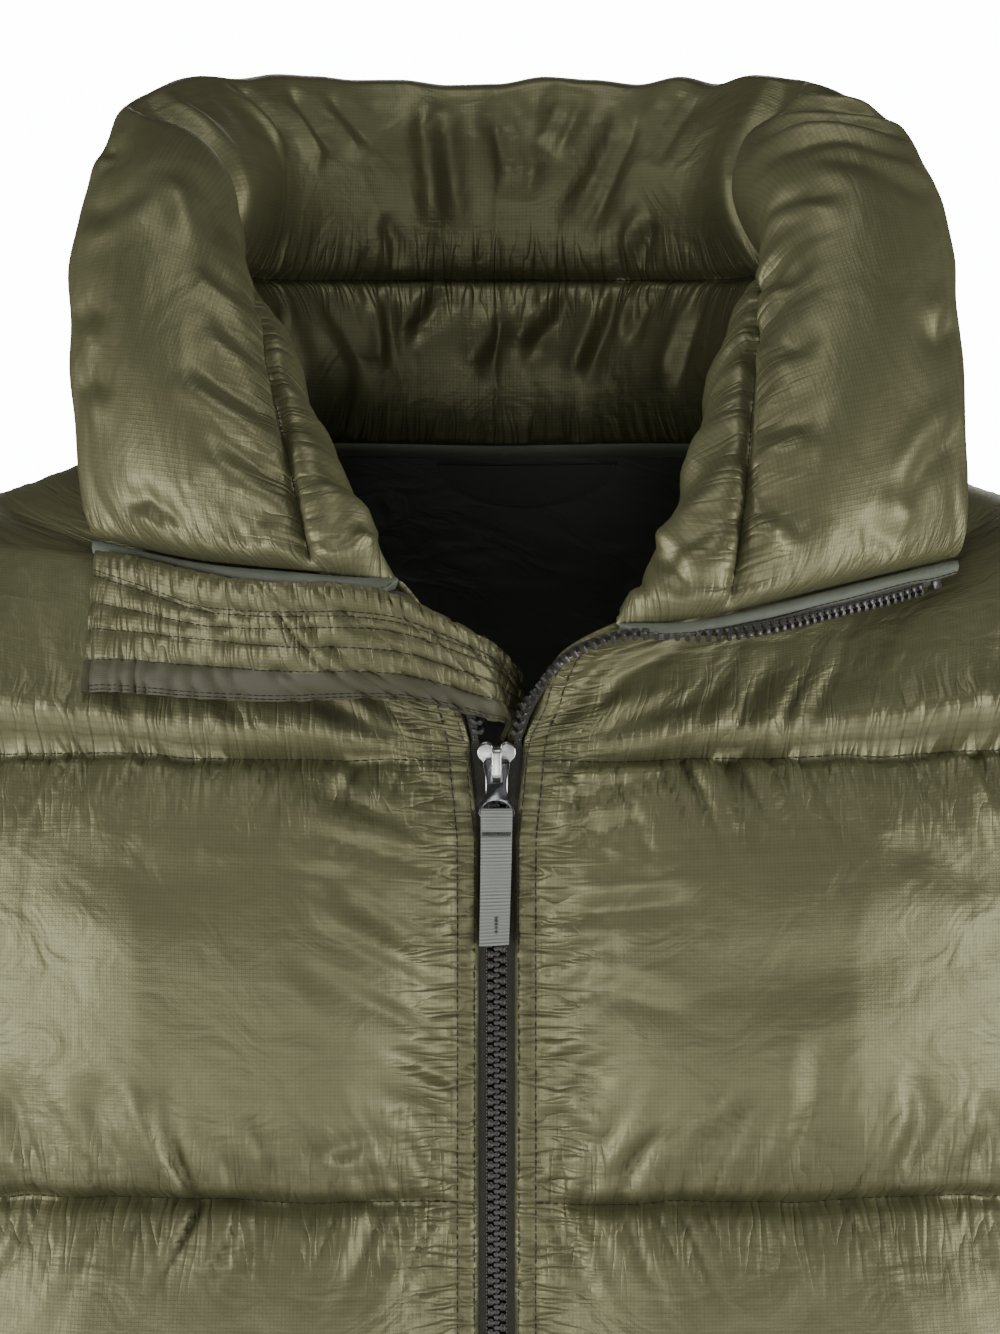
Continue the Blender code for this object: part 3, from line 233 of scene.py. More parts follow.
@dataclass(frozen=True)
class BodyForm:
    """The body's form, filled out, that its quilted panels are sewn to."""

    high_point_x: float = 92.0
    shoulder_drop: float = 0.37
    shoulder_tip_x: float = 226.0
    length: float = 700.0
    baffle: float = 129.0
    yoke_seam_z: float = -91.0
    seams: int = 5
    squareness: float = 2.4
    front_round: float = 160.0
    back_round: float = 140.0
    front_scoop: float = 56.0
    back_scoop: float = 44.0
    # how far the armhole faces outwards, against the height it faces
    facing_top: float = 65.0
    facing_underarm: float = 80.0
    facing_least: float = 10.0
    # the padding is thin this near to the armhole below this turn
    underarm_pinch: float = 80.0
    pinch_turn: float = 1.5
    pinch_spots: int = 16
    # z, half width, front, back
    torso: tuple = (
        (-700.0, 226.0, 120.0, 108.0),
        (-607.0, 238.0, 127.0, 114.0),
        (-478.0, 241.0, 129.0, 116.0),
        (-349.0, 241.0, 131.0, 119.0),
        (-220.0, 241.0, 129.0, 121.0),
        (-91.0, 239.0, 122.0, 120.0),
        (40.0, 232.0, 118.0, 118.0),
    )

    @property
    def underarm_z(self) -> float:
        """Height of the underarm."""
        return self.yoke_seam_z - 1.5 * self.baffle

    @property
    def seam_levels(self) -> list[float]:
        """Heights of the hem and the quilting seams, from the hem up."""
        quilted = [self.yoke_seam_z - self.baffle * k for k in range(self.seams)]
        return [-self.length, *reversed(quilted)]

    def reach(self, z: Array, column: int) -> Array:
        """One column of the torso's table at these heights."""
        rows = np.array(self.torso)
        return smooth(rows[:, 0], rows[:, column], z)

    def shoulder_z(self, x: Array) -> Array:
        """Height of the shoulder seam at x."""
        return -(np.abs(x) - self.high_point_x) * self.shoulder_drop

    def depth(self, x: Array, z: Array, front: bool) -> Array:
        """How far the form stands before the shoulder seams' plane, or behind it."""
        over = np.clip(np.abs(x) / self.reach(z, 1), 0, 1)
        across = (1 - over ** self.squareness) ** (1 / self.squareness)
        height = self.front_round if front else self.back_round
        drop = np.clip((self.shoulder_z(x) - z) / height, 0, 1)
        return self.reach(z, 2 if front else 3) * across * np.sqrt(1 - (1 - drop) ** 2)

    def armhole(self, turn: Array, front: bool) -> Array:
        """The armhole's seam, from the shoulder's tip at no turn to the underarm at pi."""
        top = float(self.shoulder_z(self.shoulder_tip_x))
        z = (top + self.underarm_z) / 2 + (top - self.underarm_z) / 2 * np.cos(turn)
        side = float(self.reach(self.underarm_z, 1))
        scoop = self.front_scoop if front else self.back_scoop
        x = self.shoulder_tip_x + (side - self.shoulder_tip_x) * turn / np.pi
        x = x - scoop * np.abs(np.sin(turn)) ** 0.9
        y = self.depth(x, z, front) * (-1 if front else 1)
        return np.stack(np.broadcast_arrays(x, y, z), axis=-1)

    def armhole_turn(self, z: Array) -> Array:
        """Where the armhole passes this height."""
        top = float(self.shoulder_z(self.shoulder_tip_x))
        middle, half = (top + self.underarm_z) / 2, (top - self.underarm_z) / 2
        return np.arccos(np.clip((np.asarray(z) - middle) / half, -1, 1))

    def armhole_facing(self, turn: Array, front: bool) -> Array:
        """The way the armhole's seam faces, shared by body and sleeve."""
        point = self.armhole(turn, front)
        middle = (float(self.shoulder_z(self.shoulder_tip_x)) + self.underarm_z) / 2
        outwards = (self.facing_top * (1 + np.cos(turn)) / 2
                    + self.facing_underarm * ((1 - np.cos(turn)) / 2) ** 3 + self.facing_least)
        spread = np.broadcast_arrays(outwards, point[..., 1], point[..., 2] - middle)
        return unit(np.stack(spread, axis=-1))

    def pinch(self, points: Array, front: bool) -> Array:
        """How full the padding may be near the lower armhole."""
        lower = self.armhole(np.linspace(self.pinch_turn, np.pi, self.pinch_spots), front)
        away = np.full(points.shape[:-1], 1e9)
        for spot in lower:
            away = np.minimum(away, np.linalg.norm(points - spot, axis=-1))
        return np.clip(away / self.underarm_pinch, 0, 1)


@dataclass(frozen=True)
class CollarForm:
    """The collar's wall: its table of sections by distance from the centre of the back."""

    high_point: float = 135.0
    seam_share: float = 0.45
    end: float = 268.0
    parts: tuple = (0.0, 0.45, 0.72, 1.0)
    # distance, neck xyz, middle seam xyz, upper baffle xyz, top edge xyz, facing xyz
    back: tuple = (
        (0.0, (0, 80, -8), (0, 80, 46), (0, 84, 79), (0, 88, 109), (0.0, 0.95, 0.30)),
        (45.0, (43, 72, -7), (43, 74, 46), (44, 78, 79), (45, 83, 109), (0.45, 0.85, 0.30)),
        (90.0, (76, 44, -5), (75, 48, 47), (76, 53, 80), (82, 58, 109), (0.75, 0.50, 0.40)),
    )
    # distance and facing xyz of each lapel's sections
    facings: tuple = (
        (115.0, (0.80, 0.25, 0.50)),
        (135.0, (0.80, 0.00, 0.60)),
        (165.0, (0.80, -0.25, 0.55)),
        (190.0, (0.78, -0.40, 0.48)),
        (215.0, (0.83, -0.40, 0.38)),
        (240.0, (0.92, -0.28, 0.25)),
        (258.0, (0.98, -0.15, 0.15)),
        (268.0, (1.0, 0.0, 0.1)),
    )
    # the same sections' neck xyz, middle seam xyz, upper baffle xyz and top edge xyz
    left: tuple = (
        ((87, 22, -2), (84, 26, 49), (82, 31, 81), (99, 36, 107)),
        ((92, 0, 0), (89, 4, 50), (86, 8, 81), (117, 14, 98)),
        ((90, -28, -9), (86, -27, 50), (101, -24, 72), (132, -6, 79)),
        ((84, -52, -18), (81, -56, 36), (110, -44, 53), (136, -24, 57)),
        ((74, -76, -30), (77, -86, 14), (110, -70, 26), (138, -42, 33)),
        ((57, -100, -41), (73, -114, -14), (107, -92, -6), (139, -60, 4)),
        ((43, -119, -47), (69, -127, -36), (105, -102, -29), (138, -70, -22)),
        ((35, -128, -50), (67, -130, -46), (103, -106, -39), (137, -73, -33)),
    )
    right: tuple = (
        ((87, 22, -2), (84, 26, 49), (84, 31, 81), (103, 34, 107)),
        ((92, 0, 0), (89, 4, 50), (88, 8, 81), (115, 12, 99)),
        ((90, -28, -9), (83, -28, 50), (97, -24, 71), (124, -8, 77)),
        ((83, -52, -16), (74, -58, 36), (101, -46, 50), (128, -26, 53)),
        ((71, -77, -26), (67, -86, 14), (99, -70, 25), (127, -44, 29)),
        ((51, -102, -33), (60, -112, -9), (94, -90, -1), (125, -60, 4)),
        ((37, -119, -36), (55, -126, -27), (90, -101, -22), (122, -70, -18)),
        ((29, -127, -37), (53, -130, -34), (88, -106, -32), (120, -75, -27)),
    )

    def line(self, side: Side, column: int, stations: Array) -> Array:
        """One line of the table at these distances from the centre of the back."""
        lapel = self.left if side is Side.LEFT else self.right
        rows = list(self.back)
        rows += [(at, *places, way) for (at, way), places in zip(self.facings, lapel)]
        points = smooth([r[0] for r in rows], np.array([r[column] for r in rows], float), stations)
        return points * side.mirror

    def neck(self, side: Side, stations: Array) -> Array:
        """The neck seam."""
        return self.line(side, 1, stations)

    def facing(self, side: Side, stations: Array) -> Array:
        """The way the neck seam faces."""
        return unit(self.line(side, 5, stations))

    def surface(self, side: Side, stations: Array, rows: Array) -> Array:
        """The middle of the collar's wall, a row for each share of its height."""
        lines = np.stack([self.line(side, k, stations) for k in (1, 2, 3, 4)])
        return smooth(self.parts, lines, rows)


@dataclass(frozen=True)
class Padding:
    """How far the padding stands out, each side of the middle of a wall."""

    seam: float = 1.6
    body_out: float = 17.0
    body_in: float = 3.0
    yoke_out: float = 6.0
    sleeve_out: float = 12.0
    sleeve_in: float = 3.0
    collar_out: float = 8.0
    collar_in: float = 13.0
    collar_edge: float = 3.0
    placket_width: float = 6.2


BODY = BodyForm()
COLLAR = CollarForm()
PAD = Padding()


# ------------------------------------------------------------------------------- finishes

class NodeGraph:
    """A short way to write a material's nodes."""

    valley = 0.6

    def __init__(self, name: str) -> None:
        """Starts a material with one Principled shader."""
        self.material = bpy.data.materials.new(name)
        self.material.use_nodes = True
        self.tree = self.material.node_tree
        self.shader = self.tree.nodes["Principled BSDF"]

    def add(self, kind: str, **settings: object) -> bpy.types.Node:
        """Adds a node of this kind with these properties."""
        made = self.tree.nodes.new(kind)
        for key, value in settings.items():
            setattr(made, key, value)
        return made

    def feed(self, node: bpy.types.Node, socket: object, source: object) -> None:
        """Sets a socket to a number or colour, or links it to an output."""
        target = node.inputs[socket]
        if isinstance(source, bpy.types.NodeSocket):
            self.tree.links.new(source, target)
        else:
            target.default_value = source

    def math(self, operation: str, *sources: object, clamp: bool = False) -> bpy.types.NodeSocket:
        """A Math node's output."""
        made = self.add("ShaderNodeMath", operation=operation, use_clamp=clamp)
        for k, source in enumerate(sources):
            self.feed(made, k, source)
        return made.outputs[0]

    def place(self, map_name: str = "cloth") -> tuple:
        """A piece's own map, in millimetres: its vector and its two coordinates."""
        made = self.add("ShaderNodeUVMap", uv_map=map_name)
        split = self.add("ShaderNodeSeparateXYZ")
        self.feed(split, 0, made.outputs[0])
        return made.outputs[0], split.outputs[0], split.outputs[1]

    def stretched(self, vector: bpy.types.NodeSocket, scale: Sequence[float],
                  turn: float = 0.0) -> bpy.types.NodeSocket:
        """A vector scaled each way, and turned first by this many degrees."""
        made = self.add("ShaderNodeMapping")
        self.feed(made, "Vector", vector)
        self.feed(made, "Scale", scale)
        self.feed(made, "Rotation", (0.0, 0.0, math.radians(turn)))
        return made.outputs[0]

    def noise(self, vector: bpy.types.NodeSocket, scale: float, detail: float = 2.0,
              distortion: float = 0.0) -> bpy.types.NodeSocket:
        """A Noise texture's value."""
        made = self.add("ShaderNodeTexNoise")
        self.feed(made, "Vector", vector)
        self.feed(made, "Scale", scale)
        self.feed(made, "Detail", detail)
        self.feed(made, "Distortion", distortion)
        return made.outputs[0]

    def attribute(self, name: str) -> bpy.types.NodeSocket:
        """A number that the mesh holds at its points."""
        return self.add("ShaderNodeAttribute", attribute_name=name).outputs["Fac"]

    def paint(self, share: bpy.types.NodeSocket, low: Colour, high: Colour) -> None:
        """Colours the shader between two colours."""
        made = self.add("ShaderNodeMix", data_type="RGBA")
        self.feed(made, 0, share)
        self.feed(made, 6, (*low, 1.0))
        self.feed(made, 7, (*high, 1.0))
        self.feed(self.shader, "Base Color", made.outputs[2])

    def relief(self, height: bpy.types.NodeSocket, depth: float,
               under: Optional[bpy.types.NodeSocket] = None) -> bpy.types.NodeSocket:
        """A Bump node of this depth in metres, over another one."""
        made = self.add("ShaderNodeBump")
        self.feed(made, "Height", height)
        self.feed(made, "Distance", depth)
        if under is not None:
            self.feed(made, "Normal", under)
        return made.outputs[0]

    def sharp(self, value: bpy.types.NodeSocket) -> bpy.types.NodeSocket:
        """Round ridges between sharp valleys, from a noise round one half."""
        centred = self.math("MULTIPLY_ADD", value, 2.0, -1.0)
        return self.math("POWER", self.math("ABSOLUTE", centred), self.valley)

    def ridges(self, coordinate: bpy.types.NodeSocket, pitch: float) -> bpy.types.NodeSocket:
        """A sine along a coordinate, from 0 to 1, one wave to a pitch."""
        wave = self.math("SINE", self.math("MULTIPLY", coordinate, 2 * math.pi / pitch))
        return self.math("MULTIPLY_ADD", wave, 0.5, 0.5)


@dataclass(frozen=True)
class Grain:
    """A noise over a piece's cloth: how fine each way, how far turned, how rich, how deep."""

    across: float
    along: float
    turn: float = 0.0
    detail: float = 2.0
    distortion: float = 0.0
    depth: float = 0.0

    def over(self, g: NodeGraph, vector: bpy.types.NodeSocket) -> bpy.types.NodeSocket:
        """The noise's value."""
        placed = g.stretched(vector, (self.across, self.along, 1.0), self.turn)
        return g.noise(placed, 1.0, self.detail, self.distortion)


@dataclass(frozen=True)
class RipstopFinish:
    """Satin ripstop nylon with a fine grid, soft crinkles and puckers beside its seams."""

    name: str = "shell_ripstop"
    colour: Colour = (0.200, 0.195, 0.106)
    shade: Colour = (0.120, 0.118, 0.057)
    pitch: float = 1.1
    roughness: float = 0.49
    satin: float = 0.58
    tucked: float = 0.0
    # how thin the grid's threads look each way, how dark they are and how high they stand
    weft_thin: float = 3.0
    warp_thin: float = 5.0
    thread_tone: float = -0.30
    thread_height: float = 0.000025
    # how the cloth's tone and roughness vary
    tone_share: float = 0.45
    tone_base: float = 0.05
    rough_share: float = 0.12
    streaks: Grain = Grain(0.02, 0.35)
    mottling: Grain = Grain(0.012, 0.012)
    # crinkles all over, then puckers that run off the seams across and down the cloth
    small: Grain = Grain(0.09, 0.13, 14.0, 3.0, 1.2, 0.00022)
    wide: Grain = Grain(0.045, 0.055, -30.0, 2.0, 1.6, 0.0008)
    upright: Grain = Grain(0.24, 0.035, 10.0, 1.0, 0.6)
    level: Grain = Grain(0.05, 0.26, -24.0, 1.0, 0.6)
    across_fade: float = 1.5
    down_fade: float = 2.5
    tuck_depth: float = 0.0009

    def build(self) -> bpy.types.Material:
        """Makes the material."""
        g = NodeGraph(self.name)
        vector, across, along_ = g.place()
        weft = g.math("POWER", g.ridges(along_, self.pitch), self.weft_thin)
        warp = g.math("POWER", g.ridges(across, self.pitch), self.warp_thin)
        cell = g.math("MAXIMUM", weft, warp)
        uneven = self.streaks.over(g, vector)
        mottle = self.mottling.over(g, vector)
        tone = g.math("MULTIPLY_ADD", g.math("ADD", uneven, mottle), self.tone_share,
                      self.tone_base)
        tone = g.math("ADD", tone, g.math("MULTIPLY", cell, self.thread_tone), clamp=True)
        g.paint(tone, self.shade, self.colour)
        rough = g.math("MULTIPLY_ADD", mottle, self.rough_share,
                       self.roughness - self.rough_share / 2)
        g.feed(g.shader, "Roughness", rough)
        g.feed(g.shader, "Metallic", self.satin)
        small = self.small.over(g, vector)
        wide = self.wide.over(g, vector)
        normal = g.relief(wide, self.wide.depth)
        normal = g.relief(small, self.small.depth, normal)
        upright = g.sharp(self.upright.over(g, vector))
        level = g.sharp(self.level.over(g, vector))
        beside = g.math("POWER", g.attribute("seam_across"), self.across_fade)
        tucks = g.math("MULTIPLY", upright, g.math("ADD", beside, self.tucked))
        beside = g.math("POWER", g.attribute("seam_down"), self.down_fade)
        tucks = g.math("MULTIPLY_ADD", level, beside, tucks)
        normal = g.relief(tucks, self.tuck_depth, normal)
        normal = g.relief(cell, self.thread_height, normal)
        g.feed(g.shader, "Normal", normal)
        return g.material


@dataclass(frozen=True)
class PlainClothFinish:
    """A plain woven cloth: a lining, a binding or a patch."""

    name: str
    colour: Colour
    shade: Colour
    pitch: float
    roughness: float
    rib: float = 0.00004
    crinkle: float = 0.0006
    sheen: float = 0.0
    weave_tone: float = 0.4
    mottling: Grain = Grain(0.03, 0.03, 0.0, 3.0)
    small: Grain = Grain(0.05, 0.08, 20.0, 2.0, 1.0)

    def build(self) -> bpy.types.Material:
        """Makes the material."""
        g = NodeGraph(self.name)
        vector, across, along_ = g.place()
        weave = g.math("MULTIPLY", g.ridges(across, self.pitch), g.ridges(along_, self.pitch))
        mottle = self.mottling.over(g, vector)
        tone = g.math("ADD", g.math("MULTIPLY", weave, self.weave_tone),
                      g.math("MULTIPLY", mottle, 1 - self.weave_tone))
        g.paint(tone, self.shade, self.colour)
        g.feed(g.shader, "Roughness", self.roughness)
        g.feed(g.shader, "Sheen Weight", self.sheen)
        small = self.small.over(g, vector)
        g.feed(g.shader, "Normal", g.relief(weave, self.rib, g.relief(small, self.crinkle)))
        return g.material


@dataclass(frozen=True)
class HerringboneFinish:
    """Woven zip tape: rows of slanting threads that turn back at each rib."""

    name: str = "zip_tape"
    colour: Colour = (0.070, 0.066, 0.054)
    shade: Colour = (0.028, 0.026, 0.021)
    rib: float = 1.3
    thread: float = 0.62
    thread_height: float = 0.00016
    tone_share: float = 0.75
    tone_base: float = 0.2
    roughness: float = 0.82

    def build(self) -> bpy.types.Material:
        """Makes the material."""
        g = NodeGraph(self.name)
        _, across, along_ = g.place()
        fold = g.math("PINGPONG", across, self.rib)
        threads = g.ridges(g.math("ADD", along_, fold), self.thread)
        tone = g.math("MULTIPLY_ADD", threads, self.tone_share, self.tone_base, clamp=True)
        g.paint(tone, self.shade, self.colour)
        g.feed(g.shader, "Roughness", self.roughness)
        g.feed(g.shader, "Normal", g.relief(threads, self.thread_height))
        return g.material


@dataclass(frozen=True)
class GrosgrainFinish:
    """Ribbed ribbon: fine cords across it."""

    name: str = "ribbon"
    colour: Colour = (0.300, 0.320, 0.285)
    shade: Colour = (0.165, 0.178, 0.155)
    cord: float = 1.0
    cord_height: float = 0.00022
    cord_tone: float = 0.7
    thread: float = 0.35
    thread_tone: float = 0.25
    roughness: float = 0.7
    fuzz: Grain = Grain(1.2, 1.2, depth=0.00005)

    def build(self) -> bpy.types.Material:
        """Makes the material."""
        g = NodeGraph(self.name)
        vector, across, along_ = g.place()
        cords = g.ridges(along_, self.cord)
        threads = g.math("MULTIPLY", g.ridges(across, self.thread), self.thread_tone)
        g.paint(g.math("MULTIPLY_ADD", cords, self.cord_tone, threads, clamp=True), self.shade,
                self.colour)
        g.feed(g.shader, "Roughness", self.roughness)
        fuzz = g.relief(self.fuzz.over(g, vector), self.fuzz.depth)
        g.feed(g.shader, "Normal", g.relief(cords, self.cord_height, fuzz))
        return g.material


@dataclass(frozen=True)
class SolidFinish:
    """Plastic, metal or thread: one colour with fine wear."""

    name: str
    colour: Colour
    roughness: float
    metallic: float = 0.0
    wear: float = 0.12
    texture: float = 900.0
    bump: float = 0.00002

    def build(self) -> bpy.types.Material:
        """Makes the material."""
        g = NodeGraph(self.name)
        place = g.add("ShaderNodeTexCoord").outputs["Object"]
        fine = g.noise(place, self.texture, 3.0)
        low = tuple(c * (1 - 2 * self.wear) for c in self.colour)
        g.paint(fine, low, self.colour)
        rough = g.math("MULTIPLY_ADD", fine, self.wear, self.roughness - self.wear / 2)
        g.feed(g.shader, "Roughness", rough)
        g.feed(g.shader, "Metallic", self.metallic)
        g.feed(g.shader, "Normal", g.relief(fine, self.bump))
        return g.material


class Wardrobe:
    """Every finish, each made once."""

    def __init__(self) -> None:
        """Lists the finishes."""
        finishes = (
            RipstopFinish(),
            RipstopFinish("flap_cloth", (0.146, 0.142, 0.073), (0.094, 0.091, 0.043), pitch=0.9,
                          tucked=0.7),
            PlainClothFinish("lining", (0.105, 0.120, 0.095), (0.070, 0.080, 0.064), 0.5, 0.38,
                             crinkle=0.0016),
            PlainClothFinish("patch", (0.085, 0.096, 0.078), (0.060, 0.068, 0.056), 0.4, 0.5),
            PlainClothFinish("binding", (0.105, 0.118, 0.082), (0.075, 0.085, 0.060), 0.45, 0.55,
                             sheen=0.1),
            PlainClothFinish("band", (0.068, 0.065, 0.030), (0.042, 0.040, 0.018), 0.5, 0.6),
            HerringboneFinish(),
            GrosgrainFinish(),
            SolidFinish("zip_teeth", (0.045, 0.043, 0.038), 0.34),
            SolidFinish("thread", (0.020, 0.018, 0.009), 0.6, bump=0.00004),
            SolidFinish("bartack", (0.05, 0.05, 0.045), 0.7, bump=0.00004),
            SolidFinish("grey_thread", (0.150, 0.165, 0.140), 0.6, bump=0.00004),
            SolidFinish("slider_metal", (0.70, 0.70, 0.68), 0.32, 1.0, wear=0.06),
            SolidFinish("puller_metal", (0.13, 0.13, 0.135), 0.20, 1.0, wear=0.04),
        )
        self._made = {finish.name: finish.build() for finish in finishes}

    def __getitem__(self, name: str) -> bpy.types.Material:
        """A finish's material."""
        return self._made[name]


# ------------------------------------------------------------------------------- meshes

def deselect() -> None:
    """Leaves edit mode and selects nothing."""
    if bpy.context.object and bpy.context.object.mode != "OBJECT":
        bpy.ops.object.mode_set(mode="OBJECT")
    bpy.ops.object.select_all(action="DESELECT")


def take(piece: MeshObject) -> None:
    """Makes this piece the only selected one, and active."""
    deselect()
    piece.select_set(True)
    bpy.context.view_layer.objects.active = piece


def apply_all(piece: MeshObject) -> None:
    """Applies every modifier of a piece, in order."""
    take(piece)
    for modifier in list(piece.modifiers):
        bpy.ops.object.modifier_apply(modifier=modifier.name)


def read_points(piece: MeshObject, evaluated: bool = False) -> Array:
    """A mesh's points in metres, as its modifiers leave them if asked."""
    mesh = piece.data
    if evaluated:
        mesh = piece.evaluated_get(bpy.context.evaluated_depsgraph_get()).data
    flat = np.empty(len(mesh.vertices) * 3)
    mesh.vertices.foreach_get("co", flat)
    return flat.reshape(-1, 3)


def write_points(piece: MeshObject, points: Array) -> None:
    """Sets a mesh's points, in metres."""
    piece.data.vertices.foreach_set("co", np.asarray(points, np.float32).ravel())
    piece.data.update()


def write_attribute(piece: MeshObject, name: str, values: Array) -> None:
    """Keeps a number at each of a mesh's points."""
    made = piece.data.attributes.new(name, "FLOAT", "POINT")
    made.data.foreach_set("value", np.asarray(values, np.float32).ravel())


def link(name: str, data: bpy.types.ID) -> bpy.types.Object:
    """An object of this data, linked into the scene."""
    made = bpy.data.objects.new(name, data)
    bpy.context.scene.collection.objects.link(made)
    return made


def thicken(piece: MeshObject, thickness: float, offset: float = 0.0) -> None:
    """Adds a wall of this thickness in millimetres, about the mesh or off one face of it."""
    wall = piece.modifiers.new("wall", "SOLIDIFY")
    wall.thickness = thickness * MM
    wall.offset = offset


def box(name: str, size: Sequence[float], centre: Sequence[float]) -> MeshObject:
    """A box of this size about this centre, in millimetres."""
    deselect()
    bpy.ops.mesh.primitive_cube_add(size=1, location=(0, 0, 0))
    made = bpy.context.object
    made.name = name
    write_points(made, (read_points(made) * np.array(size) + np.array(centre)) * MM)
    return made


def cloth_grid(name: str, points: Array, across: Array, down: Array) -> MeshObject:
    """A grid primitive shaped to a grid of points.

    Args:
        name: The piece's name.
        points: Rows of points, in millimetres.
        across: Each point's place on the flat cloth, across, in millimetres.
        down: The same, along.

    Returns:
        The new mesh object, with its flat place in a UV map named "cloth".
    """
    rows, columns = points.shape[:2]
    deselect()
    bpy.ops.mesh.primitive_grid_add(x_subdivisions=columns - 1, y_subdivisions=rows - 1, size=1)
    piece = bpy.context.object
    piece.name = piece.data.name = name
    write_points(piece, points.reshape(-1, 3) * MM)
    corners = np.empty(len(piece.data.loops), np.int32)
    piece.data.loops.foreach_get("vertex_index", corners)
    flat = np.column_stack([np.broadcast_to(across, (rows, columns)).ravel(),
                            np.broadcast_to(down, (rows, columns)).ravel()])
    layer = piece.data.uv_layers[0]
    layer.name = "cloth"
    layer.data.foreach_set("uv", flat[corners].astype(np.float32).ravel())
    return piece


def smooth_shade(piece: MeshObject, angle: float = 60.0) -> None:
    """Shades a piece smooth but for edges sharper than this, in degrees."""
    take(piece)
    bpy.ops.object.shade_smooth_by_angle(angle=math.radians(angle))


def finish_piece(piece: MeshObject, body: str, material: bpy.types.Material,
                 stands_for: Sequence[str] = ()) -> MeshObject:
    """Dresses a piece and ties it to its body.

    Args:
        piece: The finished mesh.
        body: The CAD body that it rides on.
        material: Its material.
        stands_for: The CAD nodes that it replaces.

    Returns:
        The piece.
    """
    piece.data.materials.clear()
    piece.data.materials.append(material)
    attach(piece, body)
    if stands_for:
        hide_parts(*stands_for)
    LOG.info("%s: %d faces", piece.name, len(piece.data.polygons))
    return piece


@dataclass
class Patch:
    """A grid of one padded panel: the middle of its wall and what stands off it."""

    points: Array
    normals: Array
    outside: Array
    inside: Array
    full: Array
    across: Array
    down: Array
    seam_across: Array
    seam_down: Array
    off_seam: Array | float = 0.0

    def refined(self) -> "Patch":
        """The same panel on a grid twice as fine."""
        finer = {}
        for name, values in self.__dict__.items():
            if np.ndim(values) < 2:
                finer[name] = refine(values, (0,)) if np.ndim(values) else values
            else:
                finer[name] = refine(values)
        finer["normals"] = unit(finer["normals"])
        return Patch(**finer)


@dataclass(frozen=True)
class Billow:
    """Cloth simulation that swells one face of a padded panel between its pinned seams."""

    frames: int = 16
    pressure: float = 5.0
    spare_length: float = 1.06
    spare_width: float = 1.02
    stiffness: float = 12.0
    bending: float = 0.15
    damping: float = 8.0
    air_damping: float = 2.0
    mass: float = 0.08
    quality: int = 6
    cap: float = 9.0

    def run(self, name: str, start: Array, rest: Array, pinned: Array, outwards: Array) -> Array:
        """Swells a grid.

        Args:
            name: The grid's name while it is simulated.
            start: Rows of points where the cloth starts, in millimetres.
            rest: The same points where no thread is stretched.
            pinned: How firmly each point is held, from 0 to 1.
            outwards: The way each point swells.

        Returns:
            The points after the simulation, in millimetres.
        """
        zero = np.zeros(start.shape[:2])
        sheet = cloth_grid(name, start, zero, zero)
        held = sheet.vertex_groups.new(name="held")
        for weight in np.unique(np.round(pinned, 2)):
            if weight > 0:
                spots = np.flatnonzero(np.abs(pinned.ravel() - weight) < 0.005)
                held.add([int(k) for k in spots], float(weight), "REPLACE")
        sheet.shape_key_add(name="Basis")
        slack = sheet.shape_key_add(name="slack")
        slack.data.foreach_set("co", (rest.reshape(-1, 3) * MM).astype(np.float32).ravel())
        slack.value = 0.0
        cloth = sheet.modifiers.new("cloth", "CLOTH").settings
        cloth.quality = self.quality
        cloth.mass = self.mass
        cloth.tension_stiffness = self.stiffness
        cloth.compression_stiffness = self.stiffness
        cloth.shear_stiffness = self.stiffness / 3
        cloth.bending_stiffness = self.bending
        for kind in ("tension", "compression", "shear"):
            setattr(cloth, f"{kind}_damping", self.damping)
        cloth.air_damping = self.air_damping
        cloth.vertex_group_mass = "held"
        cloth.rest_shape_key = slack
        cloth.use_pressure = True
        middle = sheet.data.polygons[len(sheet.data.polygons) // 2]
        way = Vector(outwards.reshape(-1, 3)[middle.vertices[0]])
        cloth.uniform_pressure_force = self.pressure * (1 if middle.normal.dot(way) > 0 else -1)
        cloth.effector_weights.gravity = 0.0
        scene = bpy.context.scene
        for number in range(1, self.frames + 1):
            scene.frame_set(number)
        moved = read_points(sheet, evaluated=True).reshape(start.shape) / MM
        scene.frame_set(1)
        bpy.data.objects.remove(sheet, do_unlink=True)
        step = moved - start
        size = np.linalg.norm(step, axis=-1, keepdims=True)
        return start + step * np.minimum(1, self.cap / (size + 1e-9))


def padded_panel(name: str, outer: Array, inner: Array, patch: Patch, levels: int = 1,
                 closed_ring: bool = False) -> MeshObject:
    """A padded panel: two faces of cloth joined round their edges.

    Args:
        name: The piece's name.
        outer: Rows of points of the face that shows most, in millimetres.
        inner: The same for the other face.
        patch: The panel's grid, for its place on the flat cloth.
        levels: How many times the faces are subdivided.
        closed_ring: Whether the first and last columns are one seam.

    Returns:
        The closed mesh.
    """
    piece = cloth_grid(name, outer, patch.across, patch.down)
    write_attribute(piece, "seam_across", patch.seam_across)
    write_attribute(piece, "seam_down", patch.seam_down)
    thicken(piece, 1.0, 1.0 if faces_in(piece, outer, inner) else -1.0)
    apply_all(piece)
    count = outer.shape[0] * outer.shape[1]
    points = read_points(piece)
    points[:count] = outer.reshape(-1, 3) * MM
    points[count:] = inner.reshape(-1, 3) * MM
    write_points(piece, points)
    if closed_ring:
        weld(piece, RING_WELD)
    turn_outwards(piece)
    if levels:
        finer = piece.modifiers.new("finer", "SUBSURF")
        finer.levels = finer.render_levels = levels
        apply_all(piece)
    smooth_shade(piece, 80.0)
    return piece


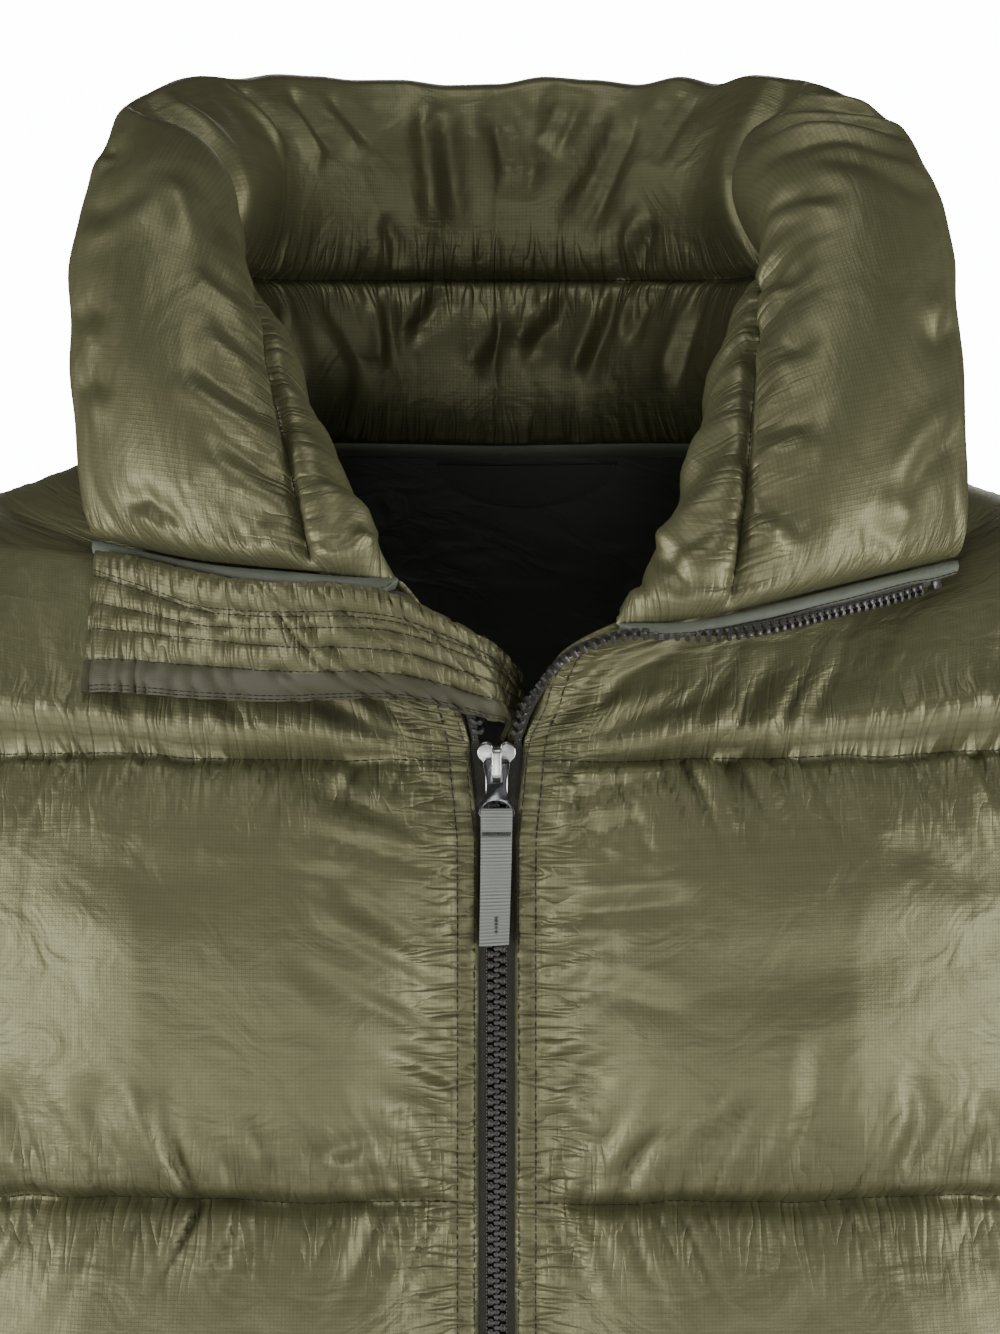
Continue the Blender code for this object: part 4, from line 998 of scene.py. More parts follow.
def faces_in(piece: MeshObject, outer: Array, inner: Array) -> bool:
    """Whether the grid's faces look from its outer points to its inner ones."""
    face = piece.data.polygons[len(piece.data.polygons) // 2]
    row, column = outer.shape[0] // 2, outer.shape[1] // 2
    inwards = Vector(inner[row, column] - outer[row, column])
    return face.normal.dot(inwards) > 0


def edit_all(piece: MeshObject, operator: Callable, **settings: object) -> None:
    """Runs an edit mode operator on the whole of a mesh."""
    take(piece)
    bpy.ops.object.mode_set(mode="EDIT")
    bpy.ops.mesh.select_all(action="SELECT")
    operator(**settings)
    bpy.ops.object.mode_set(mode="OBJECT")


def weld(piece: MeshObject, reach: float) -> None:
    """Merges a mesh's points that lie within this reach, in metres."""
    edit_all(piece, bpy.ops.mesh.remove_doubles, threshold=reach)


def turn_outwards(piece: MeshObject) -> None:
    """Turns a closed mesh's faces outwards."""
    edit_all(piece, bpy.ops.mesh.normals_make_consistent, inside=False)


def tube(name: str, rings: Array) -> MeshObject:
    """A tube closed at both ends, from a ring of points at each place along it."""
    piece = cloth_grid(name, rings, widths(rings), lengths(rings))
    weld(piece, TUBE_WELD)
    take(piece)
    bpy.ops.object.mode_set(mode="EDIT")
    bpy.ops.mesh.select_all(action="DESELECT")
    bpy.ops.mesh.select_non_manifold()
    bpy.ops.mesh.fill_holes(sides=0)
    bpy.ops.object.mode_set(mode="OBJECT")
    turn_outwards(piece)
    smooth_shade(piece, 70.0)
    return piece


# ------------------------------------------------------------------------------- padded panels

@dataclass(frozen=True)
class Crease:
    """A soft fold pressed into a panel along a line of places, deepest halfway along it."""

    path: tuple[tuple[float, float], ...]
    depth: float
    width: float
    ridge: float = 0.6
    taper: float = 0.35
    past_end: float = 0.2
    steepness: float = 1.6
    ridge_off: float = 2.0
    ridge_width: float = 1.1

    def press(self, x: Array, z: Array) -> Array:
        """How deep the crease is at these places, in millimetres.

        Args:
            x: Places across the panel.
            z: Places up it.

        Returns:
            The depth, less than 0 on the ridge that stands along the crease's right.
        """
        knots = np.array(self.path, float)
        starts = lengths(knots)
        best = np.full(np.shape(x), 1e9)
        off, walked = np.zeros(np.shape(x)), np.zeros(np.shape(x))
        for k in range(len(knots) - 1):
            run = knots[k + 1] - knots[k]
            size = starts[k + 1] - starts[k]
            share = ((x - knots[k][0]) * run[0] + (z - knots[k][1]) * run[1]) / size ** 2
            held = np.clip(share, -self.past_end if k == 0 else 0,
                           1 + self.past_end if k == len(knots) - 2 else 1)
            away_x = x - knots[k][0] - held * run[0]
            away_z = z - knots[k][1] - held * run[1]
            away = np.hypot(away_x, away_z)
            side = np.sign(away_x * run[1] - away_z * run[0])
            nearer = away < best
            best = np.where(nearer, away, best)
            off = np.where(nearer, away * side, off)
            walked = np.where(nearer, starts[k] + held * size, walked)
        ends = np.clip(np.minimum(walked, starts[-1] - walked) / (self.taper * starts[-1]), 0, 1)
        valley = np.exp(-np.abs(off / self.width) ** self.steepness)
        bank = np.exp(-((off - self.ridge_off * self.width) / (self.ridge_width * self.width)) ** 2)
        return self.depth * (valley - self.ridge * bank) * ends * ends * (3 - 2 * ends)


def part_swollen(points: Array, way: Array, size: Array, share: float = 0.85) -> Array:
    """Points this share of the way out to where the padding stands, where cloth starts."""
    return points + way * (PAD.seam + share * (size - PAD.seam))[..., None]


def spaced(low: float, high: float, step: float) -> Array:
    """Even stops from low to just short of high, about a step apart."""
    count = max(1, round(abs(high - low) / step))
    return np.linspace(low, high, count, endpoint=False)


@dataclass(frozen=True)
class Fronts:
    """The two quilted fronts, flat beside the zip."""

    fine: float = 3.25
    coarse: float = 8.5
    fine_width: float = 150.0
    zip_edge_x: float = 5.3
    slider_edge_x: float = 7.6
    slider_low_z: float = -114.0
    chest_droop: float = 0.62
    droop: float = 0.85
    puff_out: float = 25.0
    yoke_more: float = 7.0
    lip: float = 3.6
    zip_slope: float = 52.0
    seam_wave: float = 1.0
    # rows are close together down to this far below the chest baffle's lower seam
    fine_below: float = 30.0
    fine_columns: float = 3.0
    far_columns: int = 15
    # how far out the cloth starts, and how much fuller than its padding the yoke's is cut
    start_share: float = 0.8
    yoke_start: float = 2.0
    # which knot of the yoke's edge is level with the shoulder's tip, and its coarse columns:
    # how far from the zip the first are, and from the armhole the last
    tip: int = 3
    yoke_near: tuple = (0, 10, 24)
    yoke_far: tuple = (26, 9, 0)
    # how far in from a seam or an edge each of these reaches
    armhole_reach: float = 9.0
    end_reach: float = 26.0
    wave_reach: float = 20.0
    wave_rows: int = 6
    # the column whose length is the flat cloth's
    measured: int = 20
    lip_up: float = 8.0
    lip_reach: float = 7.0
    yoke_rise: float = 11.0
    yoke_full_x: float = 95.0
    yoke_full_reach: float = 45.0
    yoke_in: float = 1.8
    across_reach: float = 23.0
    calm_yoke: float = 0.55
    placket_puff: float = 0.6
    placket_pucker: float = 1.0
    neck_stations: tuple = (268.0, 258.0, 240.0, 215.0, 190.0, 165.0, 150.0, 135.0)
    v_left: tuple = ((8.2, -118.4, -84.6), (12.2, -120.6, -74.6), (19.0, -126.6, -59.0))
    v_right: tuple = ((8.2, -118.4, -84.6), (11.6, -120.0, -72.0), (17.4, -124.6, -53.0))
    billow: Billow = Billow()
    creases_left: tuple = (
        Crease(((62, -74), (34, -82), (14, -90)), 1.6, 3.0),
        Crease(((100, -76), (78, -86)), 1.0, 4.0),
        Crease(((36, -56), (22, -70), (14, -84)), 2.4, 2.6),
        Crease(((58, -58), (36, -66), (24, -78)), 1.6, 2.8),
        Crease(((60, -96), (36, -99), (13, -105)), 1.8, 3.0),
        Crease(((46, -108), (13, -116)), 1.6, 3.0),
        Crease(((60, -132), (38, -134), (13, -136)), 2.4, 3.4, 1.0),
        Crease(((40, -144), (13, -148)), 1.5, 3.0),
        Crease(((60, -166), (34, -158), (13, -158)), 1.4, 4.0),
        Crease(((36, -184), (13, -176)), 1.6, 3.4),
        Crease(((30, -206), (13, -190)), 1.8, 3.0),
        Crease(((52, -196), (40, -206), (34, -216)), 1.8, 2.8),
        Crease(((74, -188), (62, -202), (58, -217)), 2.0, 3.2),
        Crease(((92, -168), (90, -192), (86, -217)), 2.2, 4.0),
        Crease(((120, -178), (122, -196), (114, -216)), 2.4, 3.6),
        Crease(((140, -186), (144, -200), (136, -216)), 2.0, 3.4),
        Crease(((104, -116), (126, -122), (150, -134)), 1.6, 7.0),
        Crease(((60, -146), (90, -152), (120, -150)), 1.0, 8.0),
        Crease(((180, -180), (170, -216)), 2.0, 5.0),
        Crease(((200, -150), (176, -170)), 2.0, 6.0),
    )
    creases_right: tuple = (
        Crease(((14, -90), (34, -82), (56, -73)), 1.8, 3.0),
        Crease(((14, -86), (30, -76), (46, -66)), 1.4, 2.6),
        Crease(((70, -84), (86, -70)), 1.2, 3.0),
        Crease(((104, -86), (112, -72)), 1.0, 3.2),
        Crease(((13, -112), (36, -106), (62, -97)), 2.2, 3.6),
        Crease(((13, -122), (34, -118), (56, -112)), 2.0, 3.4),
        Crease(((13, -132), (40, -124), (66, -126)), 1.2, 3.0),
        Crease(((13, -150), (34, -136), (52, -124)), 2.4, 3.4, 0.9),
        Crease(((13, -160), (36, -148), (56, -138)), 1.4, 3.0),
        Crease(((13, -170), (40, -160), (62, -144)), 1.2, 4.0),
        Crease(((13, -182), (32, -176)), 1.6, 3.2),
        Crease(((13, -196), (34, -187)), 1.8, 3.2),
        Crease(((32, -198), (52, -206), (48, -214)), 1.8, 3.0),
        Crease(((62, -217), (66, -204), (72, -192)), 2.0, 2.8),
        Crease(((88, -217), (92, -202), (96, -180)), 2.4, 3.4),
        Crease(((102, -217), (112, -200), (116, -178)), 2.0, 4.0),
        Crease(((128, -217), (136, -204), (142, -180)), 2.4, 4.4),
        Crease(((62, -122), (92, -128), (130, -120)), 1.2, 8.0),
        Crease(((170, -216), (184, -184)), 2.0, 5.0),
        Crease(((176, -170), (204, -150)), 2.0, 6.0),
    )

    def edge_x(self, z: Array) -> Array:
        """Half the gap between the fronts."""
        return np.interp(z, (self.slider_low_z, BODY.yoke_seam_z),
                         (self.zip_edge_x, self.slider_edge_x))

    def levels(self) -> list[tuple[float, float]]:
        """Height and fullness of each row, from the hem up to the yoke's seam."""
        rows = []
        seams = BODY.seam_levels
        for low, high in zip(seams, seams[1:]):
            chest = high == seams[-1]
            stops = spaced(low, high, self.fine if chest else self.coarse)
            if high == seams[-2]:
                change = high - self.fine_below
                stops = [*spaced(low, change, self.coarse), *spaced(change, high, self.fine)]
            droop = self.chest_droop if chest else self.droop
            rows += [(float(z), float(sag((z - low) / (high - low), droop))) for z in stops]
        return [*rows, (seams[-1], 0.0)]

    def row(self, z: float) -> Array:
        """A level row of a front, from its zip to its side seam or armhole."""
        if z <= BODY.underarm_z:
            end = float(BODY.reach(z, 1))
        else:
            end = float(BODY.armhole(BODY.armhole_turn(z), True)[0])
        start = float(self.edge_x(z))
        x = start + (end - start) * np.sin(np.linspace(0, np.pi / 2, 120))
        return np.column_stack([x, -BODY.depth(x, z, True), np.full_like(x, z)])

    def stops(self, length: float) -> Array:
        """Distances from the zip of the columns."""
        return np.concatenate([spaced(0, PAD.placket_width, self.fine_columns),
                               spaced(PAD.placket_width, self.fine_width, self.fine),
                               np.linspace(self.fine_width, length, self.far_columns)])

    def yoke(self, side: Side, bottom: Array, stops: Array) -> tuple[Array, Array, Array]:
        """The front above its highest seam, fanning up to the shoulder's high point.

        Args:
            side: Which front.
            bottom: The row along the seam.
            stops: That row's distances from the zip.

        Returns:
            The rows of points, each row's share of the way up, and its neck station or -1.
        """
        v_rows = self.v_left if side is Side.LEFT else self.v_right
        neck = COLLAR.neck(side, np.array(self.neck_stations)) * side.mirror
        left = np.vstack([[bottom[0]], v_rows, neck])
        count = len(left) - 1
        spans = np.linalg.norm(np.diff(left, axis=0), axis=1)
        t = np.concatenate([k + spaced(0, 1, self.fine / spans[k]) for k in range(count)]
                           + [[count]])
        first_neck = len(v_rows) + 1
        left = smooth(np.arange(count + 1), left, t)
        turns = np.interp(t, (0, self.tip), (float(BODY.armhole_turn(BODY.yoke_seam_z)), 0))
        seam_x = np.interp(t, (self.tip, count), (BODY.shoulder_tip_x, BODY.high_point_x))
        seam = np.column_stack([seam_x, np.zeros_like(t), BODY.shoulder_z(seam_x)])
        right = np.where((t <= self.tip)[:, None], BODY.armhole(turns, True), seam)
        reach = lengths(bottom) / lengths(bottom)[-1]
        share = (t / count)[:, None, None]
        patch = bottom[None] * (1 - share) + left[-1] * share
        patch = patch + (1 - reach)[None, :, None] * (left - patch[:, 0])[:, None]
        patch = patch + reach[None, :, None] * (right - patch[:, -1])[:, None]
        form = -BODY.depth(patch[..., 0], patch[..., 2], True)
        length = stops[-1]
        near, far = self.yoke_near, length - np.array(self.yoke_far)
        coarse = np.concatenate([near, np.linspace(near[-1], far[0], 5)[1:-1], far])
        order = np.interp(stops, coarse, np.linspace(0, 1, len(coarse)))
        patch[..., 1] = form + (left[:, 1] - form[:, 0])[:, None] * ((1 - order) ** 6)[None]
        stations = np.interp(t, np.arange(first_neck, count + 1), self.neck_stations, left=-1)
        return patch, t / count, np.where(t >= first_neck, stations, -1)

    def grid(self, side: Side) -> tuple[Array, Array, Array, Array, int, Array]:
        """The middle of one front's wall.

        Args:
            side: Which front.

        Returns:
            Its points, the way they face, how far each is from the zip, how full each row is,
            how many rows lie below the yoke, and which rows start on the neck's seam.
        """
        levels = self.levels()
        lower = []
        for z, _ in levels:
            line = self.row(z)
            lower.append(along(line, self.stops(lengths(line)[-1])))
        lower = np.array(lower)
        below = len(lower)
        yoke, shares, stations = self.yoke(side, lower[-1], self.stops(lengths(line)[-1]))
        points = np.concatenate([lower, yoke[1:]])
        normals = grid_normals(points)
        normals *= np.where(normals[..., 1:2] > 0.2, -1, 1)
        away = widths(points)
        facing = normals[:, -1].copy()
        turns = BODY.armhole_turn(points[:, -1, 2])
        at_armhole = (points[:, -1, 2] > BODY.underarm_z - 1) & (points[:, -1, 0] > 150)
        facing[:below] = (1, 0, 0)
        facing[at_armhole] = BODY.armhole_facing(turns[at_armhole], True)
        knots = len(self.v_left) + len(self.neck_stations)
        tip_rows = int(np.sum(shares[1:] * knots <= self.tip))
        seam_rows = np.arange(len(points)) >= below + tip_rows - 1
        facing[seam_rows] = unit(np.array([BODY.shoulder_drop, 0.0, 1.0]))
        near_end = fade(away[:, -1:] - away, self.armhole_reach)[..., None]
        normals = unit(normals * (1 - near_end) + facing[:, None] * near_end)
        neck_rows = np.flatnonzero(stations[1:] > 0) + below
        at_neck = COLLAR.facing(side, stations[1:][neck_rows - below]) * side.mirror
        near_neck = fade(away[neck_rows], self.armhole_reach)[..., None]
        normals[neck_rows] = unit(normals[neck_rows] * (1 - near_neck)
                                  + at_neck[:, None] * near_neck)
        normals[-1] = at_neck[-1]
        points[:, -1, 0] -= 0.3 * at_armhole
        points[(points[..., 1] > -0.3)] -= np.array([0.0, 0.2, 0.0])
        off = np.abs(points[..., 2][..., None] - np.array(BODY.seam_levels[1:])).min(axis=-1)
        wavy = grain(away / 12.0, points[:, :1, 2] / 60.0, 40 + side.value)
        off_ends = np.clip(away / self.wave_reach, 0, 1) * np.clip(
            (away[:, -1:] - away) / self.wave_reach, 0, 1)
        low_rows = (np.arange(len(points)) < below + self.wave_rows)[:, None]
        points[..., 2] += self.seam_wave * wavy * fade(off, 9) * off_ends * low_rows
        climbed = lengths(points[:, self.measured])
        top = rise(climbed[below:] - climbed[below - 1], self.yoke_rise)
        top = top * rise(1 - shares[1:], 0.2)
        full = np.concatenate([[f for _, f in levels], top])
        return points, normals, away, full, below, neck_rows

    def patch(self, side: Side) -> tuple[Patch, Array]:
        """One front's grid, and how firmly each point is held while the padding swells."""
        points, normals, away, full, below, neck_rows = self.grid(side)
        to_end = away[:, -1:] - away
        number = np.arange(len(points))[:, None]
        ends = np.sin(np.pi / 2 * np.clip((away - PAD.placket_width) / self.zip_slope, 0, 1))
        ends = ends ** 0.9 * rise(to_end, self.end_reach)
        ends = ends * BODY.pinch(points, True)
        wide = np.clip((away - self.yoke_full_x) / self.yoke_full_reach, 0, 1)
        size = np.where(number < below, self.puff_out, wide * self.yoke_more + PAD.yoke_out)
        swollen = full[:, None] * ends
        above = points[..., 2] - BODY.yoke_seam_z
        lip = self.lip * fade(above - self.lip_up, self.lip_reach) * ends
        lip[:below] = 0
        base = np.full(points.shape[:2], PAD.seam)
        inside = swollen * np.where(number < below, PAD.body_in, self.yoke_in) + base
        held = (full[:, None] < 0.02) | (away < PAD.placket_width - 2) | (to_end < 1)
        held[neck_rows[0]:] |= away[neck_rows[0]:] < 2
        held[-3:] = True
        down = lengths(points[:, self.measured])[:, None] * np.ones((1, points.shape[1]))
        off = np.abs(points[..., 2][..., None] - np.array(BODY.seam_levels)).min(axis=-1)
        from_seam = np.where(number < below, off, above)
        seam_across = fade(from_seam, self.across_reach) * np.clip(away / 14, 0, 1)
        seam_down = fade(np.abs(away - PAD.placket_width - 3), 17) + 0.6 * fade(to_end, 14)
        seam_down[neck_rows] += 0.8 * fade(away[neck_rows], 12)
        patch = Patch(points * side.mirror, normals * side.mirror, swollen * size + base + lip,
                      inside, full, away, down, seam_across, seam_down, np.abs(from_seam))
        return patch, held.astype(float)

    def build(self, side: Side, wardrobe: Wardrobe) -> MeshObject:
        """Builds one front."""
        patch, held = self.patch(side)
        outwards = patch.normals
        start = part_swollen(patch.points, outwards, patch.outside, self.start_share)
        size = np.where(patch.points[..., 2] < BODY.yoke_seam_z - 1, self.puff_out,
                        PAD.yoke_out + self.yoke_start)
        rest = patch.points + outwards * size[..., None]
        rest = rest * np.array([self.billow.spare_width, self.billow.spare_width,
                                self.billow.spare_length])
        outer = refine(self.billow.run("swelling_front", start, rest, held, outwards))
        patch = patch.refined()
        outwards = patch.normals
        x, z = np.abs(patch.points[..., 0]), patch.points[..., 2]
        creases = self.creases_left if side is Side.LEFT else self.creases_right
        pressed = sum(c.press(x, z) for c in creases)
        above = np.clip((z - BODY.yoke_seam_z) / 3, 0, 1)
        wrinkled = PUCKERS.over(patch, 3 + side.value, 1.0 - self.calm_yoke * above)
        between = np.sin(np.pi * np.clip(patch.across / PAD.placket_width, 0, 1))
        pucker = ridged(patch.across / 9.0, patch.down / 2.7 + patch.across * 0.08, 21 + side.value)
        placket = between ** 0.7 * (self.placket_puff + self.placket_pucker * pucker)
        relief = relief_within(wrinkled - pressed, patch.outside - PAD.seam)
        outer = outer + outwards * (relief + placket)[..., None]
        inner = patch.points - outwards * patch.inside[..., None]
        outer, inner = round_rim(outer, inner)
        name = f"front_{side.word}"
        piece = padded_panel(f"{name}_padded", outer, inner, patch, levels=0)
        return finish_piece(piece, "root", wardrobe["shell_ripstop"], [name])


def ridged(x: Array, y: Array, seed: int) -> Array:
    """Relief of round ridges between sharp valleys, from -1 to about 1."""
    return 2.3 * np.abs(grain(x, y, seed)) ** 0.65 - 1.0


@dataclass(frozen=True)
class Puckers:
    """Puckers that run off a panel's seams, and the soft swells between them."""

    # pitch across the panel, length down it, height
    wide: tuple = (8.5, 90.0, 1.9)
    broad: tuple = (4.7, 110.0, 1.5)
    fine: tuple = (2.7, 50.0, 0.7)
    # length across the panel, pitch down it, height
    level: tuple = (50.0, 7.0, 1.1)
    fine_level: tuple = (30.0, 3.4, 0.7)
    # how much the first ones lean away from their seam, and the level ones climb as they go
    lean: float = 0.45
    climb: float = 0.6
    # the swells: width across, how slowly they slant with the distance down, and height down
    soft: tuple = (34.0, 60.0, 26.0)
    fine_soft: tuple = (17.0, 30.0, 14.0)
    fine_share: float = 0.5
    soft_height: float = 0.7

    def over(self, patch: Patch, seed: int, size: float | Array = 1.0) -> Array:
        """The puckers' relief on a panel.

        Args:
            patch: The panel's grid.
            seed: Which puckers.
            size: How large they are.

        Returns:
            Their height along the normals, in millimetres.
        """
        across, down, near = patch.across, patch.down, patch.seam_across
        leaning = across - self.lean * patch.off_seam
        wide = ridged(leaning / self.wide[0], down / self.wide[1], seed)
        broad = ridged(leaning / self.broad[0], down / self.broad[1], seed + 7)
        fine = ridged(leaning / self.fine[0] + 3.0, down / self.fine[1], seed + 1)
        uneven = 0.85 + 0.5 * grain(across / 26.0, down / 60.0, seed + 6)
        rising = down - self.climb * across
        level = ridged(across / self.level[0], rising / self.level[1], seed + 2)
        level = level + self.fine_level[2] * ridged(
            across / self.fine_level[0], rising / self.fine_level[1], seed + 5)
        tucks = (wide * self.wide[2] + broad * self.broad[2]) * uneven * near
        tucks = tucks + fine * self.fine[2] * near ** 2
        tucks = tucks + level * patch.seam_down * self.level[2]
        soft = grain(across / self.soft[0] + down / self.soft[1], down / self.soft[2], seed + 3)
        soft = soft + self.fine_share * grain(across / self.fine_soft[0] - down / self.fine_soft[1],
                                              down / self.fine_soft[2], seed + 4)
        return size * (tucks + self.soft_height * soft)


PUCKERS = Puckers()


def relief_within(relief: Array, puff: Array) -> Array:
    """Keeps folds shallower than the padding they are pressed in.

    Args:
        relief: How far the folds stand out, less than 0 where they sink.
        puff: How far the padding stands off its seams' level.

    Returns:
        The relief, flat at the seams and never below their level.
    """
    room = 0.7 * np.clip(puff, 0, None) + 0.05
    return np.where(relief < 0, -room * np.tanh(-relief / room), np.minimum(relief, 2.5 * room))


@dataclass(frozen=True)
class Back:
    """The quilted back, made as its left half and mirrored."""

    step: float = 8.0
    columns: int = 36
    neck_columns: int = 18
    yoke_rows: int = 14
    yoke_lift: float = 1.4
    # how far in from a seam or an edge the padding thins and the puckers reach
    end_reach: float = 26.0
    across_reach: float = 16.0
    down_reach: float = 14.0
    press_room: float = 3.0
    billow: Billow = Billow(frames=12)
    creases: tuple = (
        Crease(((20, -205), (34, -190), (70, -172)), 1.8, 5.0),
        Crease(((-120, -212), (-96, -196), (-80, -170)), 2.0, 5.0),
        Crease(((-40, -335), (-30, -310), (-10, -290)), 1.8, 6.0),
        Crease(((140, -335), (124, -310), (100, -284)), 2.0, 6.0),
        Crease(((-160, -464), (-146, -440), (-120, -412)), 1.8, 6.0),
        Crease(((60, -470), (72, -450), (90, -424)), 1.8, 5.0),
    )

    def half(self) -> tuple[Array, Array, Array]:
        """The left half's points, its rows' fullness, and whether each lies below the yoke."""
        seams = BODY.seam_levels
        rows, full = [], []
        count = self.columns
        for low, high in zip(seams, [*seams[1:], None]):
            stops = spaced(low, high, self.step) if high is not None else [low]
            for z in stops:
                end = float(BODY.reach(z, 1))
                if z > BODY.underarm_z:
                    end = float(BODY.armhole(BODY.armhole_turn(z), False)[0])
                x = end * np.sin(np.linspace(0, np.pi / 2, 120))
                line = np.column_stack([x, BODY.depth(x, z, False), np.full_like(x, z)])
                rows.append(along(line, lengths(line)[-1] * np.linspace(0, 1, count)))
                full.append(0.0 if high is None else float(swell((z - low) / (high - low))))
        lower = np.array(rows)
        stations = np.linspace(0, COLLAR.high_point, self.neck_columns)
        seam_x = np.linspace(BODY.high_point_x, BODY.shoulder_tip_x,
                             count - self.neck_columns + 1)[1:]
        seam = np.column_stack([seam_x, np.zeros_like(seam_x), BODY.shoulder_z(seam_x)])
        top = np.vstack([COLLAR.neck(Side.LEFT, stations), seam])
        shares = np.linspace(0, 1, self.yoke_rows)[:, None, None]
        turns = np.linspace(float(BODY.armhole_turn(BODY.yoke_seam_z)), 0, self.yoke_rows)
        right = BODY.armhole(turns, False)
        bottom = lower[-1]
        reach = lengths(bottom) / lengths(bottom)[-1]
        patch = bottom[None] * (1 - shares) + top[None] * shares
        patch = patch + reach[None, :, None] * (right - patch[:, -1])[:, None]
        form = BODY.depth(patch[..., 0], patch[..., 2], False)
        patch[..., 1] = form + (top[:, 1] - form[-1])[None] * shares[..., 0] ** 1.5
        points = np.concatenate([lower, patch[1:]])
        fullness = np.concatenate([full, swell(shares[1:, 0, 0])])
        return points, fullness, np.arange(len(points)) < len(lower)

    @staticmethod
    def whole(half: Array) -> tuple[Array, Array]:
        """Both halves' points, and the way each faces."""
        points = both_halves(half)
        normals = grid_normals(points)
        return points, normals * np.where(normals[..., 1:2] < -0.2, -1, 1)

    def build(self, wardrobe: Wardrobe) -> MeshObject:
        """Builds the back."""
        half, full, lower = self.half()
        points, normals = self.whole(half)
        middle = half.shape[1] - 1
        for side in Side:
            edge = middle + side.value * middle
            turns = BODY.armhole_turn(half[:, -1, 2])
            facing = BODY.armhole_facing(turns, False)
            facing[half[:, -1, 2] <= BODY.underarm_z - 1] = (1, 0, 0)
            normals[:, edge] = facing * side.mirror
            at_neck = COLLAR.facing(side, np.linspace(0, COLLAR.high_point, self.neck_columns))
            slope = unit(np.array([BODY.shoulder_drop, 0.0, 1.0])) * side.mirror
            for k in range(middle + 1):
                normals[-1, middle + side.value * k] = at_neck[k] if k < len(at_neck) else slope
        away = widths(points)
        edge_way = np.minimum(away, away[:, -1:] - away)
        on_left = np.concatenate([np.abs(points[..., :1]), points[..., 1:]], axis=-1)
        ends = rise(edge_way, self.end_reach) * BODY.pinch(on_left, False)
        size = np.where(lower, PAD.body_out, PAD.yoke_out * self.yoke_lift)
        swollen = full[:, None] * ends
        outside = swollen * size[:, None] + PAD.seam
        inside = swollen * (lower * PAD.body_in)[:, None] + PAD.seam
        down = lengths(points[:, middle])[:, None] * np.ones((1, points.shape[1]))
        seam_z = np.array(BODY.seam_levels)
        from_seam = np.abs(points[..., 2][..., None] - seam_z).min(axis=-1)
        patch = Patch(points, normals, outside, inside, full, away, down,
                      fade(from_seam, self.across_reach)
                      * np.clip(edge_way / self.down_reach, 0, 1),
                      fade(edge_way, self.down_reach))
        held = (full[:, None] < 0.02) | (edge_way < 1)
        start = part_swollen(points, normals, outside)
        rest = (points + normals * size[:, None, None]) * np.array(
            [self.billow.spare_width, self.billow.spare_width, self.billow.spare_length])
        outer = self.billow.run("swelling_back", start, rest, held.astype(float), normals)
        pressed = sum(c.press(points[..., 0], points[..., 2]) for c in self.creases)
        pressed = pressed * np.clip(outside - PAD.seam, 0, self.press_room) / self.press_room
        outer = outer + normals * (PUCKERS.over(patch, 31) - pressed)[..., None]
        inner = points - normals * inside[..., None]
        piece = padded_panel("back_padded", outer, inner, patch)
        return finish_piece(piece, "root", wardrobe["shell_ripstop"], ["back"])


